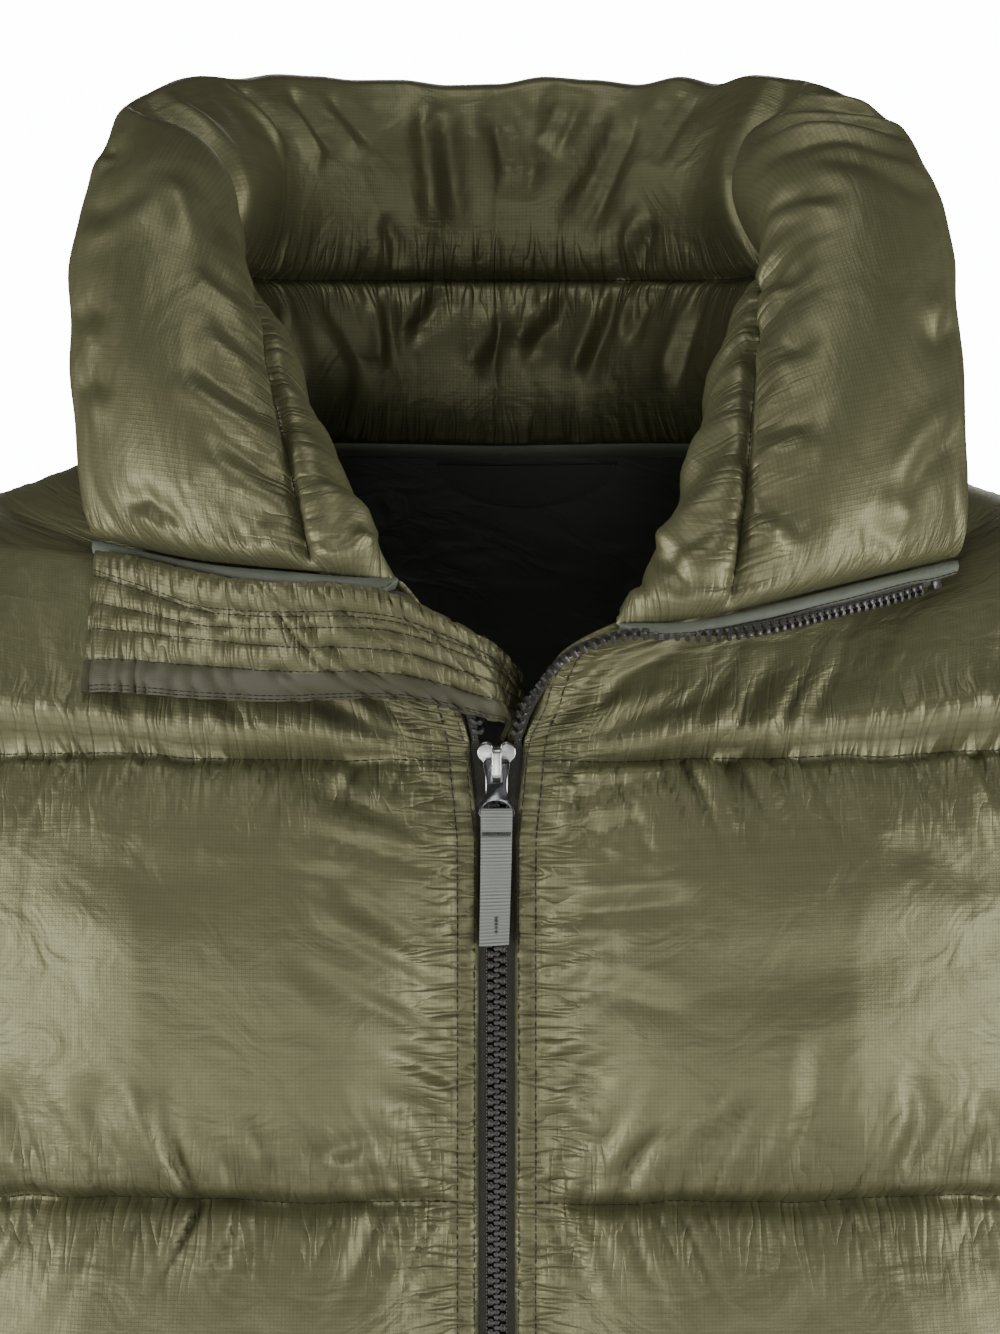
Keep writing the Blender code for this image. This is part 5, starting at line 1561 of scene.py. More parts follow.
@dataclass(frozen=True)
class Sleeves:
    """The two quilted sleeves, each a ring sewn along its underside."""

    columns: int = 56
    rows_per_baffle: int = 13
    # the row whose girth is the flat cloth's, and a baffle's length on the cloth
    measured: int = 20
    baffle: float = 98.0
    # the padding thins where the rings are nearer than this, down to this share
    narrow_room: float = 90.0
    narrow_least: float = 0.12
    across_reach: float = 16.0
    down_reach: float = 12.0
    billow: Billow = Billow(frames=10, spare_width=1.03)
    # x, y, z, tilt in degrees, half width across, half width front to back
    rings: tuple = (
        (312.0, 2.0, -219.0, 56.0, 85.0, 76.0),
        (338.0, -2.0, -306.0, 22.0, 67.0, 75.0),
        (354.0, 0.0, -398.0, 13.5, 60.0, 66.0),
        (376.0, 2.0, -494.0, 12.5, 55.0, 60.0),
        (396.0, -6.0, -590.0, 12.0, 49.0, 53.0),
        (412.0, -16.0, -684.0, 11.0, 40.0, 43.0),
    )

    def build(self, side: Side, wardrobe: Wardrobe) -> MeshObject:
        """Builds one sleeve."""
        turns = np.linspace(-np.pi, np.pi, self.columns + 1)
        front = turns >= 0
        first, facing = (np.where(front[:, None], read(np.abs(turns), True),
                                  read(np.abs(turns), False))
                         for read in (BODY.armhole, BODY.armhole_facing))
        first = first + np.array([0.3, 0, 0])
        rings = [first]
        for x, y, z, tilt, wide, deep in self.rings:
            lean = math.radians(tilt)
            out = np.array([math.cos(lean), 0.0, math.sin(lean)])
            ring = np.outer(np.cos(turns) * wide, out) - np.outer(np.sin(turns) * deep, [0, 1, 0])
            rings.append(np.array([x, y, z]) + ring)
        spots = np.arange(len(rings), dtype=float)
        at = np.linspace(0, len(rings) - 1, (len(rings) - 1) * self.rows_per_baffle + 1)
        points = smooth(spots, np.array(rings), at)
        normals = grid_normals(points)
        normals[:, 0] = normals[:, -1] = unit(normals[:, 0] + normals[:, -1])
        centre = points.mean(axis=1, keepdims=True)
        if ((points - centre) * normals).sum() < 0:
            normals = -normals
        normals[0] = facing
        full = swell(at - np.floor(at))
        room = np.linalg.norm(np.gradient(np.array(rings), axis=0), axis=-1)
        narrow = np.clip(smooth(spots, room, at) / self.narrow_room, self.narrow_least, 1)
        narrow *= np.where(points[..., 1] < 0, BODY.pinch(points, True), BODY.pinch(points, False))
        outside = full[:, None] * PAD.sleeve_out * narrow + PAD.seam
        inside = full[:, None] * PAD.sleeve_in * narrow + PAD.seam
        across = widths(points[self.measured:self.measured + 1]) * np.ones((len(points), 1))
        down = lengths(points[:, self.columns // 2])[:, None] * np.ones((1, len(turns)))
        from_seam = np.abs(at - np.round(at))[:, None] * self.baffle
        underside = np.minimum(across, across[:, -1:] - across)
        points, normals = points * side.mirror, normals * side.mirror
        patch = Patch(points, normals, outside, inside, full, across, down,
                      fade(from_seam, self.across_reach) * np.ones_like(across),
                      fade(underside, self.down_reach))
        held = (full[:, None] < 0.02) | (underside < 0.5)
        start = part_swollen(points, normals, outside)
        rest = loosened(points + normals * outside[..., None], np.array(
            [self.billow.spare_width, self.billow.spare_width, self.billow.spare_length]))
        outer = self.billow.run("swelling_sleeve", start, rest, held.astype(float), normals)
        relief = relief_within(PUCKERS.over(patch, 50 + side.value), patch.outside - PAD.seam)
        outer = outer + normals * relief[..., None]
        inner = points - normals * inside[..., None]
        name = f"sleeve_{side.word}"
        piece = padded_panel(f"{name}_padded", outer, inner, patch, closed_ring=True)
        return finish_piece(piece, "root", wardrobe["shell_ripstop"], [name])


@dataclass(frozen=True)
class Collar:
    """The stand collar, two baffles high, both its faces in shell cloth."""

    step: float = 2.75
    rows: int = 56
    billow: Billow = Billow(frames=16, pressure=5.0, spare_length=1.04, spare_width=1.04, cap=7.0)
    height: float = 118.0
    edge_wave: float = 1.8
    # the padding thins from this share of the height up
    edge_share: float = 0.93
    edge_reach: float = 0.05
    end_reach: float = 20.0
    across_reach: float = 13.0
    down_reach: float = 12.0
    # the outer face's folds lie this much further round than the inner one's
    outer_shift: float = 9.0
    # how much calmer the puckers are round the back and on the lapels
    calm_back: float = 0.45
    calm_lapel: float = 0.4
    # lines of places: distance round from the centre of the back, share of the height
    folds: tuple = (
        # the rolls at the collar's two upper corners
        Crease(((-126, 1.08), (-136, 0.86), (-142, 0.70), (-146, 0.56), (-150, 0.44)),
               15.0, 3.6, 0.0, 0.10),
        Crease(((104, 1.08), (116, 0.86), (124, 0.70), (126, 0.58), (130, 0.44)),
               15.0, 3.4, 0.0, 0.10),
        Crease(((-118, 0.98), (-128, 0.80), (-136, 0.64)), 2.6, 4.0, 0.8),
        Crease(((118, 1.0), (124, 0.86), (136, 0.72)), 3.2, 3.4, 0.9),
        # the back's upper baffle
        Crease(((-100, 0.98), (-90, 0.86), (-84, 0.76)), 2.4, 3.6, 0.9),
        Crease(((-78, 0.96), (-68, 0.84), (-60, 0.74)), 3.0, 3.4, 0.9),
        Crease(((-60, 0.94), (-50, 0.84), (-44, 0.78)), 2.0, 3.0, 0.9),
        Crease(((-12, 0.97), (-16, 0.84), (-14, 0.66), (-12, 0.52)), 3.8, 3.8, 1.0),
        Crease(((4, 0.98), (6, 0.86), (12, 0.74), (10, 0.62)), 3.6, 3.6, -0.9),
        Crease(((28, 0.97), (24, 0.86), (18, 0.74)), 3.2, 3.2, -1.0),
        Crease(((50, 0.94), (46, 0.80), (36, 0.64), (26, 0.50)), 3.4, 3.6, -0.9),
        Crease(((74, 0.96), (66, 0.84), (60, 0.72)), 2.2, 3.4, -0.8),
        Crease(((-40, 0.62), (-34, 0.54), (-32, 0.46)), 2.2, 3.4, 0.6),
        Crease(((60, 0.60), (52, 0.52), (50, 0.46)), 2.2, 3.0, 0.6),
        # the back's lower baffle
        Crease(((-70, 0.44), (-60, 0.34), (-52, 0.24), (-46, 0.12)), 3.2, 4.2, 0.8),
        Crease(((-38, 0.44), (-37, 0.34), (-36, 0.20)), 2.6, 3.4, 0.9),
        Crease(((-14, 0.44), (-24, 0.34), (-32, 0.26)), 2.8, 3.4, 0.9),
        Crease(((6, 0.36), (0, 0.28), (-6, 0.18)), 2.0, 3.4, 0.8),
        Crease(((28, 0.42), (18, 0.32), (8, 0.22)), 3.0, 3.6, 0.9),
        Crease(((42, 0.44), (40, 0.34), (34, 0.24), (30, 0.16)), 3.0, 3.4, 0.9),
        Crease(((64, 0.44), (54, 0.36), (48, 0.26)), 2.8, 3.4, 0.9),
        Crease(((84, 0.42), (78, 0.28), (70, 0.12)), 2.6, 3.6, 0.8),
        Crease(((-96, 0.40), (-86, 0.28), (-80, 0.12)), 3.0, 4.2, 0.7),
        # the right lapel, from its roll down to its end
        Crease(((-152, 0.98), (-158, 0.92), (-168, 0.90)), 2.4, 3.6, 0.6),
        Crease(((-160, 0.74), (-168, 0.64), (-182, 0.56)), 2.8, 4.0, 0.9),
        Crease(((-176, 0.98), (-178, 0.86), (-170, 0.76)), 2.2, 4.0, 0.8),
        Crease(((-188, 0.62), (-192, 0.54), (-196, 0.46)), 2.6, 3.2, 0.6),
        Crease(((-204, 0.60), (-208, 0.53), (-210, 0.46)), 2.4, 3.0, 0.6),
        Crease(((-218, 0.66), (-224, 0.56), (-228, 0.46)), 2.8, 3.4, 0.7),
        Crease(((-236, 0.62), (-240, 0.54), (-244, 0.46)), 2.8, 3.2, 0.7),
        Crease(((-210, 0.98), (-206, 0.88), (-212, 0.80)), 1.8, 4.0, 0.7),
        Crease(((-232, 0.98), (-226, 0.88), (-230, 0.80)), 1.8, 3.6, 0.7),
        Crease(((-256, 0.86), (-254, 0.76), (-260, 0.68)), 2.2, 3.0, 0.9),
        Crease(((-264, 0.62), (-256, 0.56), (-250, 0.48)), 2.2, 3.2, 0.8),
        Crease(((-176, 0.42), (-182, 0.30), (-190, 0.20)), 2.2, 3.6, 0.7),
        Crease(((-206, 0.42), (-214, 0.32), (-220, 0.20)), 2.2, 3.6, 0.7),
        Crease(((-236, 0.42), (-240, 0.32), (-248, 0.20)), 2.4, 3.6, 0.8),
        Crease(((-262, 0.40), (-254, 0.30), (-258, 0.16)), 2.0, 3.2, 0.8),
        # the left lapel, with a fan of folds at its upper corner
        Crease(((146, 1.0), (138, 0.88), (128, 0.78)), 3.6, 3.4, 1.0),
        Crease(((158, 0.98), (144, 0.84), (134, 0.70)), 3.4, 3.2, 1.0),
        Crease(((168, 0.96), (156, 0.82), (146, 0.66)), 3.0, 3.6, 1.0),
        Crease(((180, 0.94), (166, 0.82), (158, 0.70)), 2.2, 4.0, 0.9),
        Crease(((160, 0.56), (168, 0.66), (176, 0.74)), 2.2, 3.4, 0.9),
        Crease(((182, 0.46), (188, 0.54), (196, 0.58)), 2.6, 3.0, 0.7),
        Crease(((204, 0.46), (208, 0.54), (216, 0.60)), 2.2, 3.2, 0.7),
        Crease(((224, 0.46), (228, 0.54), (230, 0.62)), 2.6, 3.2, 0.7),
        Crease(((240, 0.46), (246, 0.54), (254, 0.58)), 3.2, 3.0, 1.0),
        Crease(((214, 0.98), (218, 0.88), (212, 0.80)), 2.2, 3.8, 0.7),
        Crease(((240, 0.98), (244, 0.84), (252, 0.76)), 2.2, 3.4, 0.7),
        Crease(((262, 0.80), (256, 0.72), (250, 0.68)), 1.8, 3.0, 0.8),
        Crease(((170, 0.42), (174, 0.30), (180, 0.18)), 2.2, 3.4, 0.7),
        Crease(((196, 0.42), (204, 0.32), (206, 0.20)), 2.4, 3.6, 0.8),
        Crease(((222, 0.44), (230, 0.34), (234, 0.22)), 2.8, 3.4, 0.8),
        Crease(((244, 0.42), (250, 0.34), (256, 0.22)), 2.6, 3.2, 0.9),
        Crease(((264, 0.36), (256, 0.28), (250, 0.18)), 1.8, 3.0, 0.8),
    )

    def shares(self) -> Array:
        """Each row's share of the collar's height, one of them on its seam."""
        lower = round(self.rows * COLLAR.seam_share)
        return np.concatenate([np.linspace(0, COLLAR.seam_share, lower, endpoint=False),
                               np.linspace(COLLAR.seam_share, 1, self.rows - lower)])

    def patch(self) -> Patch:
        """The collar's grid, from the wearer's right end round the back to the left end."""
        half = np.linspace(0, COLLAR.end, round(COLLAR.end / self.step) + 1)
        shares = self.shares()
        left = COLLAR.surface(Side.LEFT, half, shares)
        right = COLLAR.surface(Side.RIGHT, half, shares)[:, :0:-1]
        points = np.concatenate([right, left], axis=1)
        stations = np.concatenate([-half[:0:-1], half])
        normals = grid_normals(points)
        middle = len(half) - 1
        if normals[2, middle, 1] < 0:
            normals = -normals
        normals[0] = np.concatenate([COLLAR.facing(Side.RIGHT, half)[:0:-1],
                                     COLLAR.facing(Side.LEFT, half)])
        ends = rise(COLLAR.end - np.abs(stations), self.end_reach)
        seam = COLLAR.seam_share
        full = np.where(shares < seam, swell(shares / seam), swell((shares - seam) / (1 - seam)))
        above = np.clip((shares - self.edge_share) / self.edge_reach, 0, 1)
        base = PAD.seam + (PAD.collar_edge - PAD.seam) * above
        outside = full[:, None] * PAD.collar_out * ends + base[:, None]
        inside = full[:, None] * PAD.collar_in * ends + base[:, None]
        outside[-1, [0, -1]] = inside[-1, [0, -1]] = PAD.seam
        across = np.broadcast_to(stations, outside.shape)
        down = lengths(points)
        from_seam = np.minimum(np.abs(shares - seam), shares)[:, None] * self.height
        from_end = COLLAR.end - np.abs(across)
        return Patch(points, normals, outside, inside, full, across, down,
                     fade(from_seam, self.across_reach) * np.clip(from_end / 10, 0, 1),
                     fade(from_end, self.down_reach))

    def folded(self, patch: Patch, inner: bool) -> Array:
        """How deep the folds press the padding in at each point."""
        shares = refine(self.shares(), (0,))
        up = shares[:, None] * self.height + np.zeros_like(patch.across)
        shift = 0.0 if inner else self.outer_shift
        pressed = np.zeros_like(patch.across)
        for fold in self.folds:
            path = tuple((u + shift, v * self.height) for u, v in fold.path)
            pressed += replace(fold, path=path).press(patch.across, up)
        return pressed

    def face(self, patch: Patch, inner: bool) -> Array:
        """One face of the collar, swollen, dented and gathered."""
        way = -patch.normals if inner else patch.normals
        puff = patch.inside if inner else patch.outside
        held = (patch.full[:, None] < 0.02) | (COLLAR.end - np.abs(patch.across) < 1.0)
        held[-3:] = True
        start = part_swollen(patch.points, way, puff)
        rest = loosened(patch.points + way * puff[..., None], self.billow.spare_width)
        moved = refine(self.billow.run("swelling_collar", start, rest, held.astype(float), way))
        swollen = Patch(**{**patch.__dict__, "outside": puff}).refined()
        puff = swollen.outside
        way = -swollen.normals if inner else swollen.normals
        round_end = np.clip((np.abs(swollen.across) - 110) / 60, 0, 1)
        calm = self.calm_back + self.calm_lapel * round_end
        shape = PUCKERS.over(swollen, 70 + inner, calm) - self.folded(swollen, inner)
        climb = unit(np.gradient(swollen.points, axis=0))
        from_top = (1 - refine(self.shares(), (0,)))[:, None] * self.height
        wave = grain(swollen.across / 15.0, 0 * swollen.down, 77)
        edge = self.edge_wave * fade(from_top, 20) * wave
        edge = edge * np.clip((COLLAR.end - np.abs(swollen.across)) / 15, 0, 1)
        moved = moved + climb * edge[..., None]
        return moved + way * relief_within(shape, puff - PAD.seam)[..., None]

    def build(self, wardrobe: Wardrobe) -> MeshObject:
        """Builds the collar."""
        patch = self.patch()
        outer, inner = round_rim(self.face(patch, False), self.face(patch, True))
        piece = padded_panel("collar_padded", outer, inner, patch.refined(), levels=0)
        return finish_piece(piece, "root", wardrobe["shell_ripstop"], ["collar"])


# ------------------------------------------------------------------------------- sewn trims

def copies(name: str, points: Array, faces: Sequence[Sequence[int]], angle: float) -> MeshObject:
    """One mesh of many copies of a shape.

    Args:
        name: The piece's name.
        points: A block of points for each copy, in millimetres.
        faces: The shape's faces, by its own points' numbers.
        angle: Edges sharper than this stay sharp, in degrees.

    Returns:
        The mesh.
    """
    size = points.shape[1]
    many = [[k * size + corner for corner in face] for k in range(len(points)) for face in faces]
    mesh = bpy.data.meshes.new(name)
    mesh.from_pydata((points.reshape(-1, 3) * MM).tolist(), [], many)
    mesh.update()
    piece = link(name, mesh)
    turn_outwards(piece)
    smooth_shade(piece, angle)
    return piece


def thin_cloth(name: str, points: Array, thickness: float, across: Optional[Array] = None,
               down: Optional[Array] = None) -> MeshObject:
    """A sheet of this thickness about a grid of points, all in millimetres."""
    if across is None:
        across = widths(points)
    if down is None:
        down = lengths(points)
    piece = cloth_grid(name, points, across, down)
    thicken(piece, thickness)
    apply_all(piece)
    turn_outwards(piece)
    smooth_shade(piece, 50.0)
    return piece


def binding_strip(name: str, rings: Array, node: str, wardrobe: Wardrobe) -> None:
    """A folded grey strip on the collar.

    Args:
        name: The piece's name.
        rings: A ring of points at each place along the strip, in millimetres.
        node: The CAD node that it replaces.
        wardrobe: The finishes.
    """
    piece = finish_piece(tube(name, rings), "root", wardrobe["binding"], [node])
    girth = float(np.mean(widths(rings)[:, -1]))


@dataclass(frozen=True)
class Stitching:
    """Thread laid along a seam, one short round stitch after another."""

    pitch: float = 2.4
    share: float = 0.84
    radius: float = 0.27
    lift: float = 0.10
    reach: float = 12.0
    end_width: float = 0.6
    end_height: float = 0.5

    def settle(self, piece: MeshObject, path: Array, facing: Array) -> Array:
        """Drops a row of stitches on the finished cloth.

        Args:
            piece: The finished panel.
            path: Points along the row, in millimetres.
            facing: The way the row faces at each of them.

        Returns:
            The path as it lies on the panel.
        """
        shape = piece.evaluated_get(bpy.context.evaluated_depsgraph_get())
        height = np.zeros(len(path))
        for k, (spot, way) in enumerate(zip(path, facing)):
            start = Vector((spot + way * self.reach) * MM)
            hit, place, _, _ = shape.ray_cast(start, Vector(-way), distance=2 * self.reach * MM)
            height[k] = (Vector(place) - start).length / -MM + self.reach if hit else 0.0
        height = np.convolve(np.pad(height, 1, mode="edge"), (0.25, 0.5, 0.25), mode="valid")
        return path + facing * height[:, None]

    def points(self, path: Array, facing: Array) -> Array:
        """A block of points for each stitch of a row.

        Args:
            path: Points along the row, in millimetres.
            facing: The way the cloth faces at each of them.

        Returns:
            The stitches' points, twelve to a stitch.
        """
        total = lengths(path)[-1]
        count = max(1, int(total / self.pitch))
        starts = (np.arange(count) + 0.5 * (1 - self.share)) * total / count
        ends = starts + self.share * total / count
        walked = lengths(path)

        def read(values: Array, at: Array) -> Array:
            return np.column_stack([np.interp(at, walked, values[:, k]) for k in range(3)])

        first, last = read(path, starts), read(path, ends)
        middle = read(path, (starts + ends) / 2)
        up = unit(read(facing, (starts + ends) / 2))
        way = unit(last - first)
        side = np.cross(way, up) * self.radius
        high = up * self.radius
        low = up * (self.radius * self.end_width)
        block = []
        for centre, wide, over in ((first, self.end_width, self.end_height),
                                   (middle + up * self.lift, 1.0, 1.0),
                                   (last, self.end_width, self.end_height)):
            block += [centre - low, centre + side * wide, centre + high * over,
                      centre - side * wide]
        return np.stack(block, axis=1)

    @property
    def faces(self) -> list[tuple]:
        """A stitch's faces."""
        found = [(3, 2, 1, 0), (8, 9, 10, 11)]
        for k in (0, 4):
            for j in range(4):
                n = (j + 1) % 4
                found.append((k + j, k + n, k + 4 + n, k + 4 + j))
        return found

    def sew(self, name: str, rows: Sequence[tuple[Array, Array]], wardrobe: Wardrobe,
            finish: str = "thread", slot: str = "shell_ripstop") -> MeshObject:
        """Lays several rows of stitches as one piece."""
        blocks = np.concatenate([self.points(path, facing) for path, facing in rows])
        piece = copies(name, blocks, self.faces, 80.0)
        return finish_piece(piece, "root", wardrobe[finish])


@dataclass(frozen=True)
class StormFlap:
    """The flap behind the zip, five stitched channels wide, its top over the right front."""

    step: float = 1.2
    rows: int = 40
    thickness: float = 1.7
    puff: float = 0.95
    full_channel: float = 0.16
    flat_width: float = 36.0
    pucker_pitch: float = 4.2
    pucker_depth: float = 0.95
    fold_pitch: float = 9.0
    fold_depth: float = 0.9
    comb_pitch: float = 3.5
    comb_depth: float = 0.6
    sunk: float = 0.6
    # the strip behind the closed zip: its edges' x, its heights, and how far behind the chain
    below_x: tuple = (-12.0, 22.0)
    below_z: tuple = (-112.0, -696.0, -12.0)
    behind: float = 6.6
    # which row of the edges' table is at the slider, and where the seams' shares are given
    slider_row: int = 8
    seam_places: tuple = (0, 0.33, 0.62, 0.9)
    band_seam: int = 4
    # sewn edge xyz, free edge xyz, from the collar's corner to the slider
    edges: tuple = (
        ((-119, -84, -31.0), (-123, -101, -73.0)),
        ((-106, -97.5, -32.2), (-108, -109, -72.5)),
        ((-92, -110, -34.8), (-92, -117, -72.0)),
        ((-78, -121, -36.8), (-75, -124, -71.5)),
        ((-64, -131.2, -37.5), (-58, -132, -71.5)),
        ((-46, -136.8, -37.6), (-40, -137.4, -72)),
        ((-30, -136.5, -40.5), (-23, -137, -73.5)),
        ((-18, -135.5, -46), (-10, -134.5, -76)),
        ((-7, -131, -52), (-1, -130, -78)),
        ((2, -121, -59), (1.4, -120, -78.6)),
        ((7, -112, -69), (9, -112, -82)),
        ((2, -109.5, -84), (16, -109.5, -91)),
        ((-8, -110.5, -100), (22, -110.5, -106)),
    )
    # share of the width at the collar's corner, a third along, two thirds along and at the slider
    seams: tuple = (
        (0.13, 0.27, 0.24, 0.20),
        (0.17, 0.31, 0.28, 0.25),
        (0.36, 0.42, 0.38, 0.34),
        (0.55, 0.53, 0.55, 0.54),
        (0.77, 0.74, 0.76, 0.76),
        (0.955, 0.955, 0.955, 0.955),
        (0.985, 0.985, 0.985, 0.985),
    )

    def laid(self) -> tuple[Array, Array, Array, Array]:
        """The flap laid smooth.

        Returns:
            The distances along it, its grid of points, the way they face, and each seam's share
            of the width at those distances.
        """
        table = np.array(self.edges, float)
        walked = lengths(table.mean(axis=1))
        at = np.arange(0, walked[-1], self.step)
        sewn, free = smooth(walked, table[:, 0], at), smooth(walked, table[:, 1], at)
        share = np.linspace(0, 1, self.rows)[:, None, None]
        points = sewn[None] * (1 - share) + free[None] * share
        normals = grid_normals(points)
        if normals[self.rows // 2, len(at) // 3, 1] > 0:
            normals = -normals
        knots = np.array(self.seam_places) * walked[self.slider_row]
        return at, points, normals, np.array([np.interp(at, knots, seam) for seam in self.seams])

    def relief(self, far: Array, down: Array, lines: Array) -> Array:
        """How far the channels, puckers and folds stand off the smooth flap.

        Args:
            far: Distances along the flap, one for each point.
            down: Each row's share of the width.
            lines: Each seam's share of the width, along the flap.

        Returns:
            The relief at each point.
        """
        ends = np.zeros_like(lines[0])
        borders = np.vstack([ends, lines, ends + 1])
        relief = np.zeros(far.shape)
        for low, high in zip(borders, borders[1:]):
            inside = (down >= low) & (down < high)
            part = np.clip((down - low) / (high - low + 1e-9), 0, 1)
            size = self.puff * np.clip((high - low) / self.full_channel, 0.25, 1.1)
            relief = np.where(inside, np.sqrt(np.abs(np.sin(np.pi * part))) * size, relief)
        lean = far - 26.0 * down * np.clip((far - 30) / 80, 0, 1) * 1.4
        puckers = ridged(lean / self.pucker_pitch, down * 2.0, 5) * self.pucker_depth
        folds = grain(lean / self.fold_pitch, down * 2.4 + 3, 6) * self.fold_depth
        near = np.abs(down[..., None] - borders.T[None]).min(axis=-1)
        uneven = 0.7 * grain(far / 9, 0, 8)
        comb = 1 - 2 * np.abs(np.cos(far * np.pi / self.comb_pitch + uneven)) ** 3
        top = np.clip(1 - down / 0.25, 0, 1)
        relief = relief * (1 + 0.2 * folds) + puckers * (0.5 + np.exp(-(near / 0.05) ** 2) * 0.5)
        relief = relief + folds * 0.45 * np.clip(down * 6, 0, 1)
        return relief + comb * self.comb_depth * top * (down > 0.02)

    def hidden(self, share: Array) -> Array:
        """The strip behind the closed zip, down to the hem."""
        z = np.arange(*self.below_z)
        y = zip_line(z) - 1.0 + self.behind
        left, right = (np.column_stack([np.full_like(z, x), y, z]) for x in self.below_x)
        return left[None] * (1 - share) + right[None] * share

    def paint_band(self, piece: MeshObject, at: Array, seam: Array) -> None:
        """Gives the free edge its dark cloth, past this seam."""
        layer = np.empty(len(piece.data.loops) * 2, np.float32)
        piece.data.uv_layers["cloth"].data.foreach_get("uv", layer)
        layer = layer.reshape(-1, 2)
        for face in piece.data.polygons:
            spots = layer[list(face.loop_indices)]
            far, down = spots[:, 0].mean(), spots[:, 1].mean() / self.flat_width
            face.material_index = int(far < at[-1] and down > np.interp(far, at, seam))

    def sew(self, piece: MeshObject, points: Array, normals: Array, lines: Array,
            wardrobe: Wardrobe) -> None:
        """Sews a row of stitches along each seam."""
        thread = Stitching(pitch=2.3, radius=0.2, reach=6.0)
        columns = np.arange(points.shape[1])
        rows = []
        for line in lines:
            spot = line * (self.rows - 1)
            low = np.clip(spot.astype(int), 0, self.rows - 2)
            part = (spot - low)[:, None]
            path = points[low, columns] * (1 - part) + points[low + 1, columns] * part
            facing = normals[low, columns]
            rows.append((thread.settle(piece, path, facing), facing))
        thread.sew("flap_stitches", rows, wardrobe)

    def build(self, wardrobe: Wardrobe) -> None:
        """Builds the flap, its dark band and its rows of stitches."""
        at, points, normals, lines = self.laid()
        share = np.linspace(0, 1, self.rows)[:, None, None]
        down = share[..., 0]
        far = np.broadcast_to(at, points.shape[:2])
        relief = self.relief(far, down, lines)
        drop = np.sin(far / 15.0 + 0.7) * 1.2 * down ** 2 + 0.9 * grain(far / 30, 0, 9) * down
        shaped = points + normals * (relief - self.sunk)[..., None]
        shaped = shaped + np.array([0, 0, 1.0]) * drop[..., None]
        grid = np.concatenate([shaped, self.hidden(share)], axis=1)
        length = lengths(grid[self.rows // 2])
        piece = thin_cloth("storm_flap_cloth", grid, self.thickness,
                           np.broadcast_to(length, grid.shape[:2]),
                           np.broadcast_to(down * self.flat_width, grid.shape[:2]))
        finish_piece(piece, "root", wardrobe["flap_cloth"], ["storm_flap"])
        piece.data.materials.append(wardrobe["band"])
        self.paint_band(piece, at, lines[self.band_seam])
        self.sew(piece, shaped, normals, lines, wardrobe)


@dataclass(frozen=True)
class Binding:
    """The folded strip that binds one end of the collar."""

    width: float
    thick: float = 2.0
    start: float = 0.9
    around: int = 12
    # rings along the strip, the first of them this share of the collar's height up
    rings: int = 90
    lowest: float = 0.03
    uneven: float = 0.12
    ripple: float = 0.16
    squareness: float = 0.6
    # where the stitches lie: shares of the strip's width and thickness, and the first ring
    stitch_width: float = 0.82
    stitch_off: float = 0.93
    stitch_from: int = 6

    def build(self, side: Side, wardrobe: Wardrobe) -> None:
        """Builds the strip and its row of stitches."""
        shares = np.linspace(self.lowest, 1, self.rings)
        end = COLLAR.surface(side, np.array([COLLAR.end]), shares)[:, 0]
        inner = COLLAR.surface(side, np.array([COLLAR.end - 2]), shares)[:, 0]
        way = unit(unit(end - inner) + np.array([0.0, -0.1, -0.6]))
        run = unit(np.gradient(end, axis=0))
        face = unit(np.cross(run, way))
        face *= np.sign(-face[:, 1:2])
        taper = np.clip(np.linspace(0.25, 6.0, len(shares)), 0, 1)[:, None]
        places = np.arange(len(shares))
        reach = self.width * taper * (1 + self.uneven * grain(places / 7.0, 0, 4))[:, None]
        ring = []
        for turn in np.linspace(0, 2 * np.pi, self.around + 1):
            over = (1 - math.cos(turn)) / 2
            out = math.copysign(abs(math.sin(turn)) ** self.squareness, math.sin(turn))
            ring.append(end + way * (self.start + reach * over) + face * self.thick * out)
        points = np.stack(ring, axis=1)
        ripple = self.ripple * grain(places[:, None] / 2.5, np.arange(self.around + 1) / 4, 9)
        points += face[:, None] * ripple[..., None]
        name = f"collar_binding_{side.word}"
        binding_strip(f"{name}_strip", points, name, wardrobe)
        row = end + way * (self.start + reach * self.stitch_width)
        row = (row + face * self.thick * self.stitch_off)[self.stitch_from:]
        Stitching(pitch=2.6, radius=0.17).sew(f"binding_stitches_{side.word}", [
            (row, face[self.stitch_from:])], wardrobe, slot="binding")


